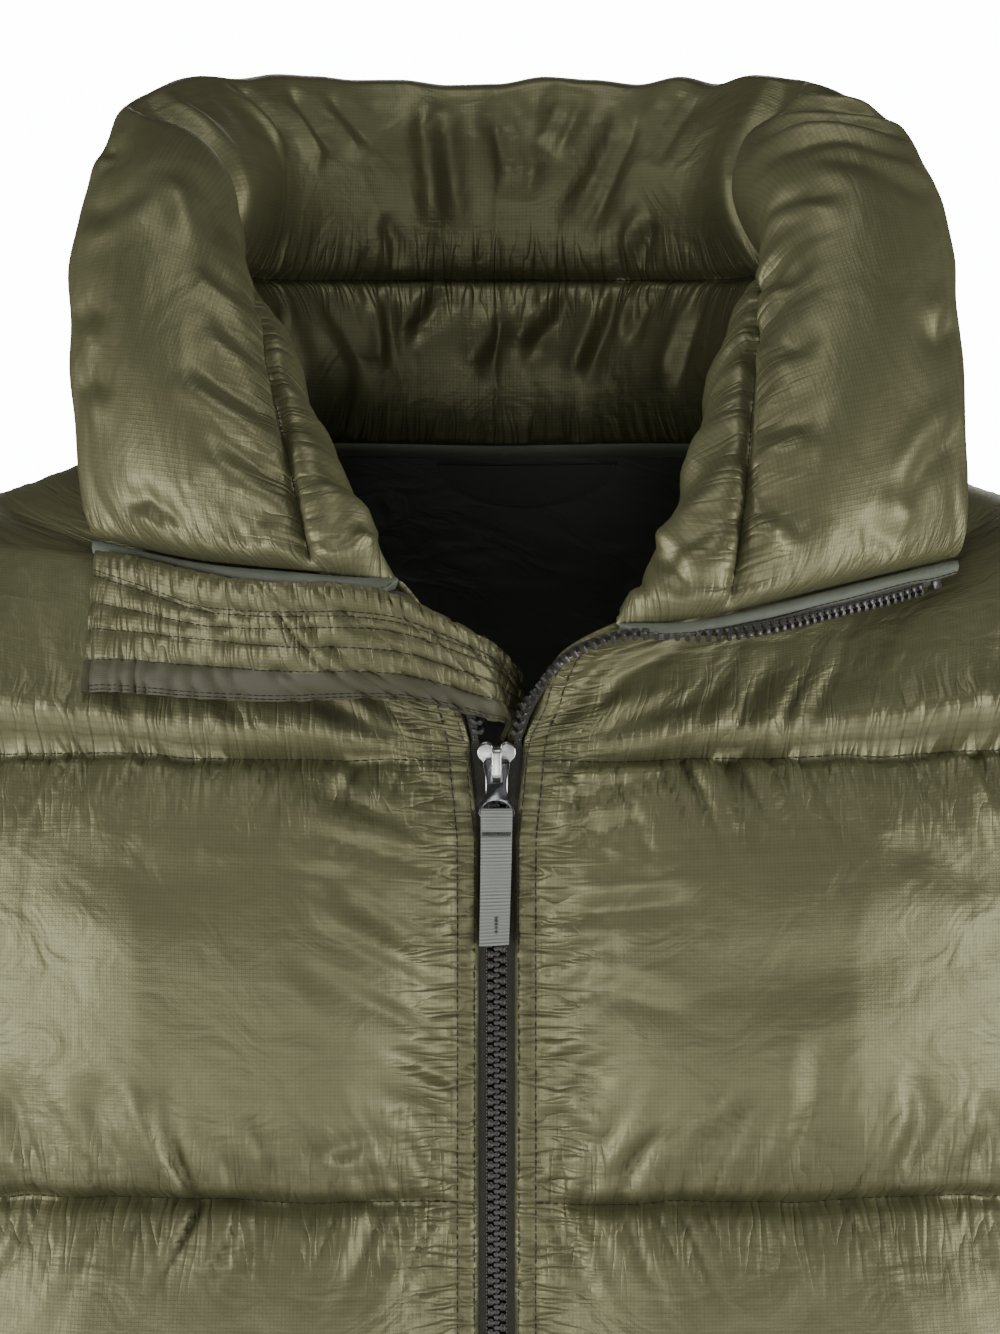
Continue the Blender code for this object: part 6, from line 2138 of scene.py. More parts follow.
@dataclass(frozen=True)
class NeckTrims:
    """The back's lining, the half-moon patch on it and the binding of the neck seam."""

    thickness: float = 1.0
    # how far inside the back's seams the lining hangs, and at its top two rows
    hang: float = 2.8
    hang_top: tuple = (1.6, 2.6)
    hang_below: float = 4.3
    patch_x: float = 9.5
    patch_width: float = 57.0
    patch_height: float = 16.0
    patch_drop: float = 3.0
    patch_hem: float = 1.2
    patch_thickness: float = 0.8
    binding_end: float = 120.0
    binding_in: float = 4.5
    binding_up: float = 1.6
    tube: float = 1.1

    def lining(self, wardrobe: Wardrobe) -> Array:
        """Hangs the lining inside the back and returns its grid."""
        half, _, _ = Back().half()
        points, normals = Back.whole(half)
        depth_in = np.full(len(points), PAD.seam + PAD.body_in + self.hang)
        depth_in[-1], depth_in[-2] = (PAD.seam + more for more in self.hang_top)
        depth_in[-6:-2] = np.linspace(depth_in[-7], PAD.seam + self.hang_below, 4)
        moved = points - normals * depth_in[:, None, None]
        moved = moved[4:, 5:-5]
        x, z = moved[..., 0], moved[..., 2]
        folds = (1.8 * grain(x / 26.0 + z / 40.0, z / 60.0, 12)
                 + 0.8 * grain(x / 11.0 - z / 24.0, z / 40.0, 13))
        folds *= np.clip((-z - 12) / 30, 0, 1)
        moved[..., 1] -= np.abs(folds)
        piece = thin_cloth("lining_back_cloth", moved, self.thickness)
        finish_piece(piece, "root", wardrobe["lining"], ["lining_back"])
        return moved

    def patch(self, lining: Array, wardrobe: Wardrobe) -> None:
        """Sews the patch on the lining."""
        middle = lining.shape[1] // 2
        column = lining[::-1, middle]
        walked = lengths(column)
        grid = []
        for down in np.linspace(0, 1, 15):
            half = self.patch_width / 2 * math.sqrt(max(1 - down ** 2, 0.004))
            at = self.patch_drop + self.patch_height * down
            row = np.interp(at, walked, np.arange(len(column)))
            low = int(row)
            line = lining[::-1][low] * (1 - row + low) + lining[::-1][low + 1] * (row - low)
            xs = self.patch_x + half * np.linspace(-1, 1, 41)
            grid.append(np.column_stack([np.interp(xs, line[:, 0], line[:, k]) for k in range(3)]))
        points = np.array(grid)
        points[..., 1] -= self.thickness / 2 + self.patch_thickness / 2 + 0.4
        piece = thin_cloth("neck_patch_cloth", points, self.patch_thickness)
        finish_piece(piece, "root", wardrobe["patch"], ["neck_patch"])
        edge = np.concatenate([points[:, 0], points[-1, 1:-1], points[::-1, -1]])
        inward = unit(points.mean(axis=(0, 1)) - edge)
        facing = forwards(len(edge))
        row = edge + inward * self.patch_hem + facing * self.patch_thickness / 2
        Stitching(pitch=2.2, radius=0.16).sew("patch_stitches", [(row, facing)], wardrobe,
                                              "grey_thread", "patch")

    def neck_binding(self, wardrobe: Wardrobe) -> None:
        """Lays the binding along the neck seam."""
        stations = np.linspace(-self.binding_end, self.binding_end, 97)
        away, on_left = np.abs(stations), (stations >= 0)[:, None]
        seam, facing = (np.where(on_left, read(Side.LEFT, away), read(Side.RIGHT, away))
                        for read in (COLLAR.neck, COLLAR.facing))
        centre = seam - facing * (PAD.seam + self.binding_in) + np.array([0, 0, self.binding_up])
        upright = unit(np.cross(np.gradient(centre, axis=0), facing))
        ring = []
        for turn in np.linspace(0, 2 * np.pi, 11):
            ring.append(centre + facing * self.tube * math.cos(turn)
                        + upright * 2.0 * self.tube * math.sin(turn))
        binding_strip("neck_binding_strip", np.stack(ring, axis=1),
                      "neck_binding", wardrobe)

    def build(self, wardrobe: Wardrobe) -> None:
        """Builds the neck's trims."""
        lining = self.lining(wardrobe)
        self.patch(lining, wardrobe)
        self.neck_binding(wardrobe)


# ------------------------------------------------------------------------------- the zip

def zip_line(levels: Array) -> Array:
    """The middle of the chain, front to back, at these heights."""
    return -BODY.depth(np.full_like(levels, Fronts().zip_edge_x), levels, True) + 1.0


@dataclass(frozen=True)
class Tooth:
    """A moulded tooth: its outline towards the other half, and along the chain."""

    outline: tuple = ((-2.65, 0.95), (-2.4, 1.15), (-1.35, 1.15), (-0.95, 0.62), (-0.55, 0.45),
                      (-0.2, 0.74), (0.25, 0.84), (0.66, 0.6), (0.86, 0.22))
    half_thickness: float = 1.2
    bevel: float = 0.28
    half_width: float = 1.1
    middle: tuple = (-0.9, 0.0)

    def shape(self) -> tuple[Array, list[tuple]]:
        """Points (out to the head, along the chain, off the tape) and faces."""
        upper = [*self.outline, *[(u, -v) for u, v in reversed(self.outline)]]
        ring = np.array(upper)
        middle = np.array(self.middle)
        inset = middle + (ring - middle) * (1 - self.bevel / self.half_width)
        layers = [(inset, -self.half_thickness), (ring, -self.half_thickness + self.bevel),
                  (ring, self.half_thickness - self.bevel), (inset, self.half_thickness)]
        points = np.array([[*p, h] for flat, h in layers for p in flat])
        count = len(ring)
        faces = [tuple(range(count)), tuple(range(4 * count - 1, 3 * count - 1, -1))]
        for layer in range(3):
            for k in range(count):
                n = (k + 1) % count
                faces.append((layer * count + k, layer * count + n,
                              (layer + 1) * count + n, (layer + 1) * count + k))
        return points, faces

    def place(self, middles: Array, heads: Array, runs: Array) -> tuple[Array, list[tuple]]:
        """Teeth at these places, each with the way of its head and of its chain."""
        points, faces = self.shape()
        off = unit(np.cross(heads, runs))
        blocks = (middles[:, None] + heads[:, None] * points[None, :, :1]
                  + runs[:, None] * points[None, :, 1:2] + off[:, None] * points[None, :, 2:])
        return blocks, faces


@dataclass(frozen=True)
class Zip:
    """The front zip: closed below its slider, and open along the collar's ends above it."""

    pitch: float = 3.1
    top_z: float = -102.2
    bottom_z: float = -688.5
    tape_thickness: float = 0.8
    tape_columns: int = 4
    # the closed tapes: their rows' heights, where a row starts and how far it goes past the cloth
    tape_z: tuple = (-699.5, -89.0, 4.0)
    tape_from: float = 3.0
    tape_over: float = 1.2
    # the open tapes' step along the chain, and where a row starts
    open_step: float = 2.0
    open_from: float = 2.0
    # how far off the chain's middle the open teeth are, and how far along it their stop is
    teeth_off: float = 0.9
    stop_along: float = 1.2
    # the edge threads: how far off the middle and how far out, closed and open
    thread_closed: tuple = (2.95, 0.75)
    thread_open: tuple = (3.3, 0.55)
    # how far each open tape ends before the collar's end, the left one first
    tape_short: tuple = (2.4, 3.8)
    box_z: float = -694.0
    box_size: tuple = (5.8, 4.4, 12.0)
    box_round: float = 0.7
    tooth: Tooth = Tooth()
    stop: Tooth = Tooth(outline=((-2.4, 1.5), (-2.0, 1.9), (0.2, 1.9), (0.6, 1.5)),
                        half_thickness=1.4)
    # middle of the teeth xyz, way to the cloth xyz, how far off the cloth's edge is
    left: tuple = (
        ((3.4, -117.6, -84.6), (1.0, 0.0, 0.0), 4.8),
        ((5.9, -122.0, -76.0), (0.85, 0.5, -0.05), 6.0),
        ((10.6, -127.0, -70.0), (0.6, 0.78, 0.15), 6.4),
        ((17.0, -131.5, -62.5), (0.25, 0.85, 0.45), 6.6),
        ((25.0, -133.5, -57.5), (0.12, 0.85, 0.50), 7.0),
        ((34.0, -134.5, -54.5), (0.1, 0.81, 0.56), 7.2),
        ((67.0, -135.5, -53.8), (0.0, 0.58, 0.81), 8.2),
        ((103.0, -108.0, -48.6), (0.0, 0.2, 0.98), 9.8),
        ((124.0, -88.0, -44.5), (0.0, 0.2, 0.98), 9.2),
        ((134.0, -76.5, -41.5), (0.05, 0.25, 0.96), 9.0),
    )
    right: tuple = (
        ((3.4, -117.6, -84.6), (1.0, 0.0, 0.0), 4.8),
        ((4.5, -121.0, -76.0), (0.9, 0.42, 0.0), 6.0),
        ((7.0, -124.0, -69.0), (0.7, 0.7, 0.1), 6.4),
        ((12.0, -128.0, -60.0), (0.4, 0.8, 0.4), 6.6),
        ((19.0, -130.5, -52.0), (0.2, 0.75, 0.6), 7.6),
        ((28.0, -131.5, -44.5), (0.1, 0.5, 0.85), 9.0),
        ((53.0, -131.5, -43.5), (0.0, 0.2, 0.98), 9.4),
        ((88.0, -108.5, -41.5), (0.0, 0.2, 0.98), 9.6),
        ((117.0, -80.0, -37.0), (0.05, 0.25, 0.96), 9.4),
    )

    def half(self, side: Side, step: float) -> tuple[Array, Array, Array]:
        """The open half's places, its ways to the cloth and how far off that is, a step apart."""
        table = self.left if side is Side.LEFT else self.right
        middles = np.array([row[0] for row in table], float)
        knots = lengths(middles)
        fine = np.linspace(0, knots[-1], 400)
        path = smooth(knots, middles, fine)
        walked = lengths(path)
        at = np.interp(np.arange(0, walked[-1] - 4.0, step), walked, fine)
        ways = unit(smooth(knots, np.array([row[1] for row in table], float), at))
        reach = np.interp(at, knots, [row[2] for row in table])
        return smooth(knots, middles, at) * side.mirror, ways * side.mirror, reach

    def build_closed(self, wardrobe: Wardrobe) -> None:
        """Builds the closed chain and its bottom box."""
        blocks = []
        faces: list[tuple] = []
        for side in Side:
            shift = 0.0 if side is Side.LEFT else self.pitch / 2
            z = np.arange(self.top_z - shift, self.bottom_z + 1.4, -self.pitch)
            y = zip_line(z)
            middles = np.column_stack([np.zeros_like(z), y, z])
            slope = np.column_stack([np.zeros_like(z), np.gradient(y, z), np.ones_like(z)])
            heads = np.tile([-float(side.value), 0.0, 0.0], (len(z), 1))
            made, faces = self.tooth.place(middles, heads, unit(slope))
            blocks.append(made)
        piece = copies("zip_teeth_closed", np.concatenate(blocks), faces, 35.0)
        finish_piece(piece, "root", wardrobe["zip_teeth"], ["zip_chain_closed"])
        y = float(zip_line(np.array([self.box_z]))[0])
        foot = box("zip_box", self.box_size, (0, y, self.box_z))
        round_edges(foot, self.box_round)
        apply_all(foot)
        smooth_shade(foot, 50.0)
        finish_piece(foot, "root", wardrobe["zip_teeth"], ["zip_bottom_box"])

    def build_open(self, side: Side, binding: float, wardrobe: Wardrobe) -> None:
        """Builds one open half: its teeth, its stop, its tape and the tape's edge threads."""
        middles, ways, _ = self.half(side, self.pitch)
        runs = unit(np.gradient(middles, axis=0))
        heads = unit(-ways + runs * np.sum(ways * runs, axis=1, keepdims=True))
        spots = middles + ways * self.teeth_off
        stops = spots + runs * self.stop_along
        for node, name, tooth, places, at in (
                ("zip_chain", "zip_teeth_{}", self.tooth, spots, slice(1, -2)),
                ("zip_stop", "zip_stop_{}_block", self.stop, stops, slice(-1, None))):
            blocks, faces = tooth.place(places[at], heads[at], runs[at])
            piece = copies(name.format(side.word), blocks, faces, 35.0)
            finish_piece(piece, "root", wardrobe["zip_teeth"],
                         [f"{node}_{side.word}"])
        self.build_tape(side, binding, wardrobe)

    def build_tape(self, side: Side, binding: float, wardrobe: Wardrobe) -> None:
        """Builds one tape, up the closed front, through the slider and along the collar's end."""
        grid = []
        for z in np.arange(*self.tape_z):
            y = float(zip_line(np.array([z]))[0])
            edge = float(Fronts().edge_x(np.array([z]))[0]) + self.tape_over
            xs = np.linspace(self.tape_from, edge, self.tape_columns) * side.value
            grid.append(np.column_stack([xs, np.full_like(xs, y), np.full_like(xs, z)]))
        middles, ways, reach = self.half(side, self.open_step)
        for k in range(len(middles)):
            past_neck = np.clip((abs(middles[k][0]) - 22) / 10, 0, 1)
            stop = reach[k] - 1.0 - (binding + 0.9) * past_neck
            shares = np.linspace(self.open_from, stop, self.tape_columns)[:, None]
            grid.append(middles[k] + ways[k] * shares)
        points = np.array(grid)
        piece = thin_cloth(f"zip_tape_{side.word}_cloth", points, self.tape_thickness)
        finish_piece(piece, "root", wardrobe["zip_tape"], [f"zip_tape_{side.word}"])
        wide = float(np.mean(widths(points)[:, -1]))
        z = np.arange(self.bottom_z, self.top_z, self.open_step)
        x = np.full_like(z, side.value * self.thread_closed[0])
        front = np.column_stack([x, zip_line(z) - self.thread_closed[1], z])
        rows = [(front, forwards(len(z)))]
        off = unit(np.cross(np.gradient(middles, axis=0), ways))
        off *= np.sign(-off[:, 1:2])
        rows.append((middles + ways * self.thread_open[0] + off * self.thread_open[1], off))
        Stitching(pitch=1.03, share=0.62, radius=0.2, lift=0.06).sew(
            f"tape_threads_{side.word}", rows, wardrobe, "grey_thread", "zip_tape")

    def build(self, wardrobe: Wardrobe) -> None:
        """Builds the whole zip."""
        self.build_closed(wardrobe)
        for side, binding in zip(Side, self.tape_short):
            self.build_open(side, binding, wardrobe)


def round_edges(piece: MeshObject, width: float) -> None:
    """Adds a rounding this wide, in millimetres, to a piece's sharp edges."""
    rounding = piece.modifiers.new("round", "BEVEL")
    rounding.width, rounding.segments = width * MM, 3
    rounding.limit_method = "ANGLE"


def filled_plate(name: str, outer: Array, holes: Sequence[Array], thickness: float,
                 bevel: float) -> MeshObject:
    """A plate in x and z with holes through it, centred on y = 0, in millimetres."""
    plate = bmesh.new()
    for loop in (outer, *holes):
        corners = [plate.verts.new((x * MM, 0, z * MM)) for x, z in loop]
        for k, corner in enumerate(corners):
            plate.edges.new((corner, corners[(k + 1) % len(corners)]))
    bmesh.ops.triangle_fill(plate, edges=plate.edges[:], use_beauty=True, use_dissolve=False)
    bmesh.ops.dissolve_limit(plate, angle_limit=0.01, verts=plate.verts[:], edges=plate.edges[:])
    mesh = bpy.data.meshes.new(name)
    plate.to_mesh(mesh)
    plate.free()
    piece = link(name, mesh)
    thicken(piece, thickness)
    round_edges(piece, bevel)
    apply_all(piece)
    turn_outwards(piece)
    smooth_shade(piece, 40.0)
    return piece


def arc(centre: tuple[float, float], radius: tuple[float, float], start: float, stop: float,
        count: int) -> list[tuple[float, float]]:
    """Points round an ellipse between two turns in degrees."""
    turns = np.radians(np.linspace(start, stop, count))
    return [(centre[0] + radius[0] * math.cos(t), centre[1] + radius[1] * math.sin(t))
            for t in turns]


@dataclass(frozen=True)
class Slider:
    """The slider: two winged plates round the teeth, and the bridge that holds the puller."""

    top_z: float = -85.0
    length: float = 16.0
    half_depth: float = 3.9
    plate: float = 1.3
    rounding: float = 0.4
    # the post's width and height, and how far below the top its middle is
    post: tuple = (2.4, 6.0)
    post_drop: float = 4.4
    # the wings bend towards each other this far, from this far out on
    bend: float = 0.35
    bend_from: float = 2.5
    # the bridge's width, and the y of its front
    bridge: float = 2.7
    bridge_y: float = -126.9
    bridge_rounding: float = 0.45

    def outline(self) -> Array:
        """The plates' outline: two round wings above a body that narrows downwards."""
        top = self.top_z
        right = [(1.2, top - 1.8), *arc((3.0, top - 3.0), (2.7, 2.8), 130, -60, 14),
                 (3.7, top - 6.2), (3.4, top - 9.0), (3.3, top - 13.0),
                 *arc((2.2, top - 14.8), (1.1, 1.2), 0, -90, 5)]
        return np.array([*right, *[(-x, z) for x, z in reversed(right)]])

    def build(self, wardrobe: Wardrobe) -> None:
        """Builds the slider's body and bridge."""
        y = float(zip_line(np.array([self.top_z - self.length / 2]))[0])
        parts = []
        for sign in (-1, 1):
            plate = filled_plate(f"plate_{sign}", self.outline(), [], self.plate, self.rounding)
            points = read_points(plate)
            off = np.abs(points[:, 0]) / MM
            points[:, 1] += (y + sign * (self.half_depth - self.plate / 2)) * MM
            bent = np.clip((off - self.bend_from) / self.bend_from, 0, 1) ** 2
            points[:, 1] += sign * -self.bend * bent * MM
            write_points(plate, points)
            parts.append(plate)
        parts.append(box("post", (self.post[0], 2 * self.half_depth - 1, self.post[1]),
                         (0, y, self.top_z - self.post_drop)))
        deselect()
        for part in parts:
            part.select_set(True)
        bpy.context.view_layer.objects.active = parts[0]
        bpy.ops.object.join()
        body = parts[0]
        body.name = body.data.name = "slider_wings"
        smooth_shade(body, 40.0)
        finish_piece(body, "root", wardrobe["slider_metal"], ["slider_body"])
        self.build_bridge(y, wardrobe)

    def build_bridge(self, y: float, wardrobe: Wardrobe) -> None:
        """Builds the arch over the puller's head."""
        face = y - self.half_depth + 0.1
        out = self.bridge_y
        outer = [(face, -86.4), *arc((out + 1.6, -88.0), (1.6, 1.6), 90, 180, 6),
                 *arc((out + 1.3, -93.9), (1.3, 1.5), 180, 270, 6), (face, -97.2)]
        inner = [(face, -95.4), *arc((out + 2.2, -93.0), (0.8, 0.8), 270, 180, 4),
                 *arc((out + 2.2, -88.8), (0.8, 0.8), 180, 90, 4), (face, -88.0)]
        loop = np.array([*outer, *inner])
        bridge = filled_plate("slider_arch", loop, [], self.bridge, self.bridge_rounding)
        points = read_points(bridge)
        write_points(bridge, np.column_stack([points[:, 1], points[:, 0], points[:, 2]]))
        turn_outwards(bridge)
        finish_piece(bridge, "root", wardrobe["slider_metal"], ["slider_bridge"])


@dataclass(frozen=True)
class Pull:
    """The hanging pull: a dark metal puller and the ribbon looped through its foot."""

    pivot: tuple = (0.0, -124.2, -90.4)
    lean: float = 5.0
    thickness: float = 1.4
    rounding: float = 0.3
    # the window's half width, top and foot
    window: tuple = (1.65, -0.9, -6.2)
    # the slot's half width, and its arch's rise, middle and foot
    slot: tuple = (4.2, 3.3, -14.7, -15.5)
    ribbon_top: float = -15.3
    ribbon_top_width: float = 9.3
    ribbon_low_width: float = 8.7
    ribbon_length: float = 38.6
    ribbon_half: float = 1.35
    ribbon_thickness: float = 0.55
    ribbon_flat: float = 9.0
    # how far the ribbon's foot hangs to the side, is bowed and is skewed
    ribbon_aside: float = 0.75
    ribbon_bow: float = 0.35
    ribbon_skew: float = 0.5
    # the bartack that closes the loop: its share of the length, its reach and how flat it sews
    tack_share: float = 0.17
    tack_reach: float = 0.05
    tack_flat: float = 0.75
    # below that bartack the two layers lie this much closer, and above it the cords stand out
    closed: float = 0.62
    cord: float = 1.08
    cord_height: float = 0.11
    loop_cords: float = 1.5
    # height below the pivot, half width
    sides: tuple = ((0.9, 2.6), (0.5, 3.5), (-0.6, 3.9), (-2.2, 3.75), (-4.4, 3.2), (-6.6, 2.95),
                    (-8.9, 3.1), (-10.8, 3.7), (-12.3, 4.5), (-13.6, 5.0), (-14.9, 5.2),
                    (-15.8, 5.1), (-16.4, 4.3))

    def seat(self, piece: MeshObject) -> None:
        """Turns a piece made about its hinge to where it hangs."""
        turn = Matrix.Rotation(-math.radians(self.lean), 4, "X")
        move = Matrix.Translation(Vector(self.pivot) * MM)
        piece.data.transform(move @ turn)
        piece.data.update()

    def build_puller(self, wardrobe: Wardrobe) -> None:
        """Builds the metal puller."""
        z = np.array([row[0] for row in self.sides])
        half = np.array([row[1] for row in self.sides])
        fine = np.linspace(0, len(z) - 1, 46)
        knots = np.arange(len(z), dtype=float)
        zs, xs = smooth(knots, z, fine), smooth(knots, half, fine)
        outer = np.array([*zip(xs, zs), *zip(-xs[::-1], zs[::-1])])
        half, top, foot = self.window
        window = np.array([(-half, top), (half, top), (half, foot), (-half, foot)])
        half, arch, middle, foot = self.slot
        slot = np.array([*arc((0, middle), (half, arch), 0, 180, 17), (-half, foot), (half, foot)])
        puller = filled_plate("puller_plate", outer, [window, slot], self.thickness,
                              self.rounding)
        self.seat(puller)
        finish_piece(puller, "zip_pull", wardrobe["puller_metal"], ["puller"])

    def build_ribbon(self, wardrobe: Wardrobe) -> None:
        """Builds the ribbon and its two bartacks."""
        top = self.ribbon_top
        low = top - self.ribbon_length
        half = self.ribbon_half
        front = [(-half, z) for z in np.arange(low, top, 0.27)]
        over = [(-half * math.cos(t), top + half * math.sin(t)) for t in np.linspace(0, np.pi, 12)]
        back = [(half, z) for z in np.arange(top, low, -0.8)]
        path = np.array([*front, *over, *back])
        walked = lengths(path)
        share = np.clip((top - path[:, 1]) / self.ribbon_length, 0, 1)
        width = self.ribbon_top_width + (self.ribbon_low_width - self.ribbon_top_width) * share
        middle = -self.ribbon_aside * share ** 1.5
        across = np.linspace(-0.5, 0.5, 15)
        in_loop = share < self.tack_share
        tack = np.exp(-((share - self.tack_share) / self.tack_reach) ** 2)
        flat = np.clip(1 - tack * self.tack_flat, 0, 1)
        rounded = np.where(in_loop, 1.0, self.closed)
        cords = np.sin(walked * 2 * np.pi / self.cord)[:, None]
        edge = 1 - np.abs(across * 2) ** 6
        height = self.cord_height * cords * edge * np.where(in_loop, self.loop_cords, 1.0)[:, None]
        points = np.zeros((len(path), len(across), 3))
        points[..., 0] = middle[:, None] + width[:, None] * across
        points[..., 1] = (path[:, 0] * rounded * flat)[:, None] * (1 - 0.12 * (across * 2) ** 2)
        points[..., 1] += np.sign(path[:, :1]) * height
        points[..., 1] += (self.ribbon_bow * np.sin(share * 5.0))[:, None]
        skew = self.ribbon_skew * across * share[:, None]
        points[..., 2] = path[:, 1][:, None] + skew
        ribbon = thin_cloth("pull_ribbon_cloth", points, self.ribbon_thickness,
                            np.broadcast_to(across * self.ribbon_flat, points.shape[:2]),
                            np.broadcast_to(walked[:, None], points.shape[:2]))
        self.seat(ribbon)
        finish_piece(ribbon, "zip_pull", wardrobe["ribbon"], ["pull_ribbon"])
        self.bartack("ribbon_bartack", (-0.1, top - 6.0), (8.6, 1.3), wardrobe)
        self.bartack("ribbon_bartack_low", (-0.1, low + 5.8), (1.4, 5.2), wardrobe)

    def bartack(self, name: str, spot: tuple[float, float], size: tuple[float, float],
                wardrobe: Wardrobe) -> None:
        """Sews a dense bar of thread on the ribbon's front."""
        wide = size[0] > size[1]
        count, slant, out = (16, 0.2, 0.75) if wide else (12, 0.15, 1.3)
        blocks = []
        thread = Stitching(pitch=1.0, share=0.98, radius=0.24, lift=0.12)
        for k in range(count):
            part = (k + 0.5) / count - 0.5
            if wide:
                ends = ((spot[0] + size[0] * part - slant, spot[1] - size[1] / 2),
                        (spot[0] + size[0] * part + slant, spot[1] + size[1] / 2))
            else:
                ends = ((spot[0] - size[0] / 2, spot[1] + size[1] * part - slant),
                        (spot[0] + size[0] / 2, spot[1] + size[1] * part + slant))
            path = np.array([[x, -out, z] for x, z in ends])
            blocks.append(replace(thread, pitch=lengths(path)[-1]).points(path, forwards(2)))
        piece = copies(name, np.concatenate(blocks), thread.faces, 80.0)
        self.seat(piece)
        finish_piece(piece, "zip_pull", wardrobe["bartack"])

    def build(self, wardrobe: Wardrobe) -> None:
        """Builds the pull."""
        self.build_puller(wardrobe)
        self.build_ribbon(wardrobe)


@dataclass(frozen=True)
class Seams:
    """The stitches of the quilting, the plackets and the collar."""

    edge_row: float = 1.2
    # how many of the grid's rows short of the shoulder each placket row ends
    short: tuple = (8, 18)
    lift: float = 0.1

    def front_rows(self, side: Side) -> list[tuple[Array, Array]]:
        """The rows of one front: its quilting seams and its two placket rows."""
        patch, _ = Fronts().patch(side)
        surface = patch.points + patch.normals * (PAD.seam + self.lift)
        rows = []
        for k in np.flatnonzero(patch.full < 1e-6)[1:-1]:
            if patch.points[k, 5, 2] < BODY.yoke_seam_z + 1:
                rows.append((surface[k, 2:], patch.normals[k, 2:]))
        for away, short in zip((self.edge_row, PAD.placket_width), self.short):
            path, facing = (np.array([[np.interp(away, patch.across[r], values[r, :, c])
                                       for c in range(3)]
                                      for r in range(2, len(surface) - short)])
                            for values in (surface, patch.normals))
            rows.append((path, unit(facing)))
        return rows

    def build(self, wardrobe: Wardrobe) -> None:
        """Sews every row that shows."""
        thread = Stitching()
        for side in Side:
            front = bpy.data.objects[f"front_{side.word}_padded"]
            rows = [(thread.settle(front, path, facing), facing)
                    for path, facing in self.front_rows(side)]
            thread.sew(f"front_stitches_{side.word}", rows, wardrobe)
        patch = Collar().patch()
        seam = int(np.argmin(np.abs(Collar().shares() - COLLAR.seam_share)))
        rows = []
        collar = bpy.data.objects["collar_padded"]
        for sign in (1, -1):
            base = patch.points[seam] + sign * patch.normals[seam] * (PAD.seam + self.lift)
            facing = sign * patch.normals[seam, 2:-2]
            rows.append((thread.settle(collar, base[2:-2], facing), facing))
        thread.sew("collar_stitches", rows, wardrobe)


# ------------------------------------------------------------------------------- studio

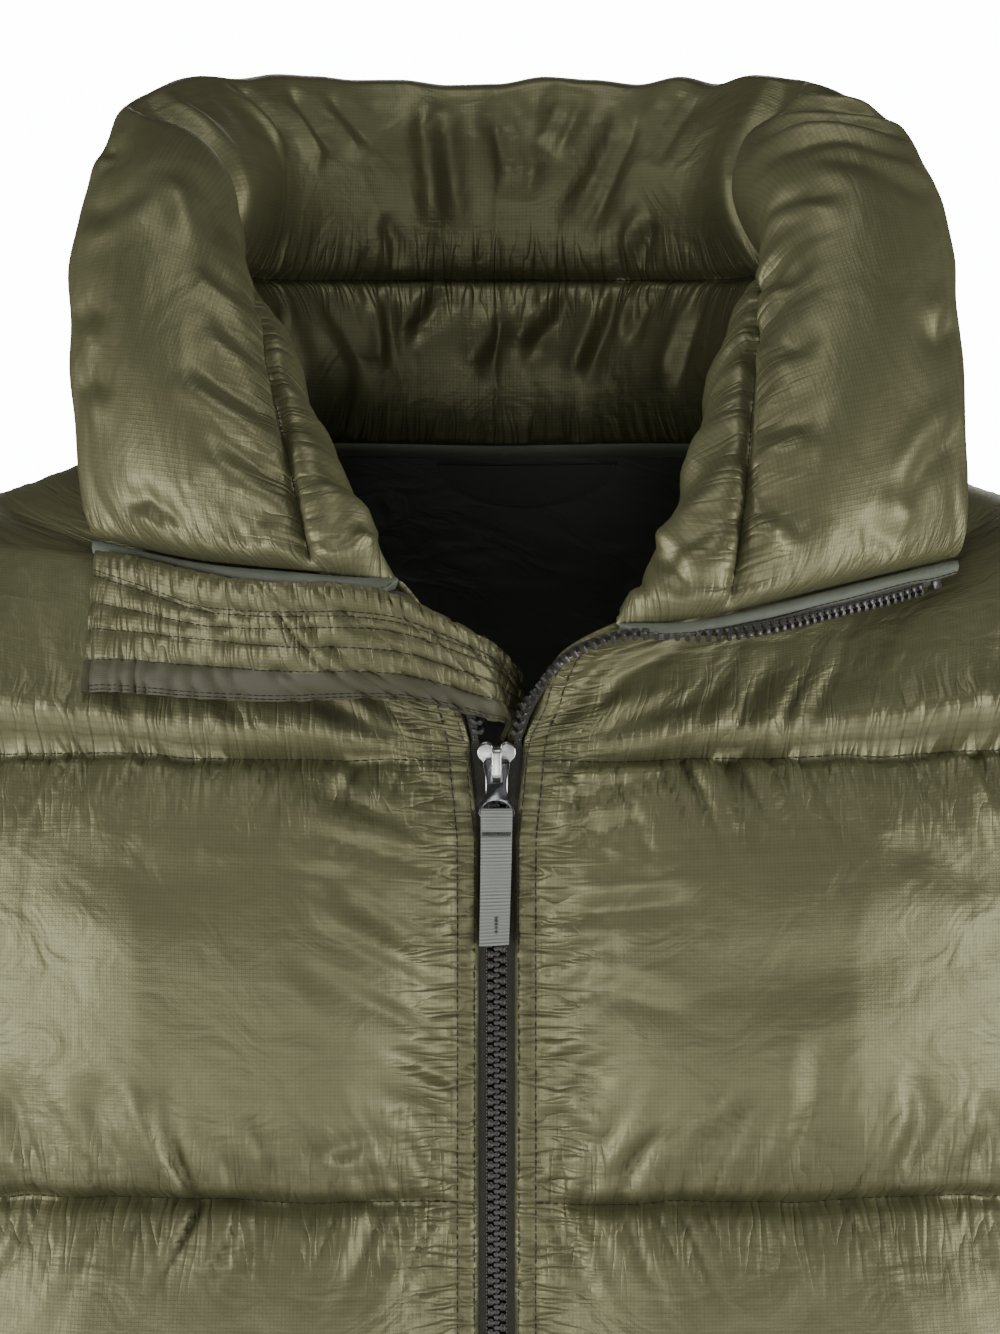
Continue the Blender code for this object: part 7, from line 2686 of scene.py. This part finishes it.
@dataclass(frozen=True)
class Studio:
    """A pale floor, soft light and the photograph's camera."""

    floor_z: float = -0.86
    floor_size: float = 6.0
    floor_colour: Colour = (0.82, 0.82, 0.81)
    sky_colour: Colour = (0.96, 0.98, 1.0)
    target: tuple = (0.001, -0.120, -0.0628)
    elevation: float = 4.0
    distance: float = 2.5
    view_width: float = 0.294
    sensor: float = 36.0
    ambient: float = 0.02
    backdrop: float = 15.0
    # name, place, size, watts
    lights: tuple = (
        ("left", (-1.35, -2.05, -0.34), 0.8, 13.0),
        ("front", (-0.1, -2.8, -0.54), 0.7, 10.0),
        ("front_high", (0.0, -2.5, 0.50), 0.7, 1.5),
        ("right", (1.55, -1.95, -0.34), 0.8, 13.0),
        ("far_left", (-2.4, -0.8, 0.10), 0.9, 46.0),
        ("far_right", (2.4, -0.8, 0.08), 0.9, 44.0),
        ("top", (-0.1, -0.6, 1.7), 0.8, 9.0),
        ("back", (0.3, 2.6, 0.5), 1.2, 14.0),
    )

    def build_floor(self) -> None:
        """Lays the floor."""
        deselect()
        bpy.ops.mesh.primitive_plane_add(size=self.floor_size, location=(0, 0, self.floor_z))
        floor = bpy.context.object
        floor.name = "floor"
        floor.data.materials.append(SolidFinish("floor", self.floor_colour, 0.8).build())

    def build_light(self) -> None:
        """Lights the object from large soft boxes and a pale surround."""
        world = bpy.data.worlds.new("surround")
        bpy.context.scene.world = world
        world.use_nodes = True
        tree = world.node_tree
        sky = tree.nodes["Background"]
        sky.inputs["Color"].default_value = (*self.sky_colour, 1.0)
        path = tree.nodes.new("ShaderNodeLightPath")
        level = tree.nodes.new("ShaderNodeMapRange")
        level.inputs["To Min"].default_value = self.ambient
        level.inputs["To Max"].default_value = self.backdrop
        tree.links.new(path.outputs["Is Camera Ray"], level.inputs["Value"])
        tree.links.new(level.outputs[0], sky.inputs["Strength"])
        for name, place, size, watts in self.lights:
            light = bpy.data.lights.new(name, "AREA")
            light.size = size
            light.energy = watts
            holder = link(name, light)
            holder.location = place
            aim = Vector(self.target) - Vector(place)
            holder.rotation_euler = aim.to_track_quat("-Z", "Y").to_euler()

    def build_camera(self) -> None:
        """Stands the camera at the photograph's angle."""
        lens = bpy.data.cameras.new("camera")
        lens.sensor_fit = "HORIZONTAL"
        lens.sensor_width = self.sensor
        lens.lens = self.sensor * self.distance / self.view_width
        lens.clip_start, lens.clip_end = 0.05, 30.0
        camera = link("camera", lens)
        up = math.radians(self.elevation)
        offset = Vector((0, -math.cos(up), math.sin(up))) * self.distance
        camera.location = Vector(self.target) + offset
        camera.rotation_euler = (-offset).to_track_quat("-Z", "Y").to_euler()
        bpy.context.scene.camera = camera

    def build(self) -> None:
        """Sets up the whole studio."""
        self.build_floor()
        self.build_light()
        self.build_camera()
        LOG.info("studio: floor, %d lights and camera", len(self.lights))


def main() -> None:
    """Dresses the jacket, piece by piece."""
    logging.basicConfig(level=logging.INFO, format="%(name)s %(message)s")
    wardrobe = Wardrobe()
    fronts, sleeves = Fronts(), Sleeves()
    for side in Side:
        fronts.build(side, wardrobe)
    Back().build(wardrobe)
    for side in Side:
        sleeves.build(side, wardrobe)
    Collar().build(wardrobe)
    StormFlap().build(wardrobe)
    Binding(width=4.6).build(Side.LEFT, wardrobe)
    Binding(width=5.8).build(Side.RIGHT, wardrobe)
    NeckTrims().build(wardrobe)
    Zip().build(wardrobe)
    Slider().build(wardrobe)
    Pull().build(wardrobe)
    Seams().build(wardrobe)
    Studio().build()


if __name__ == "__main__":
    main()
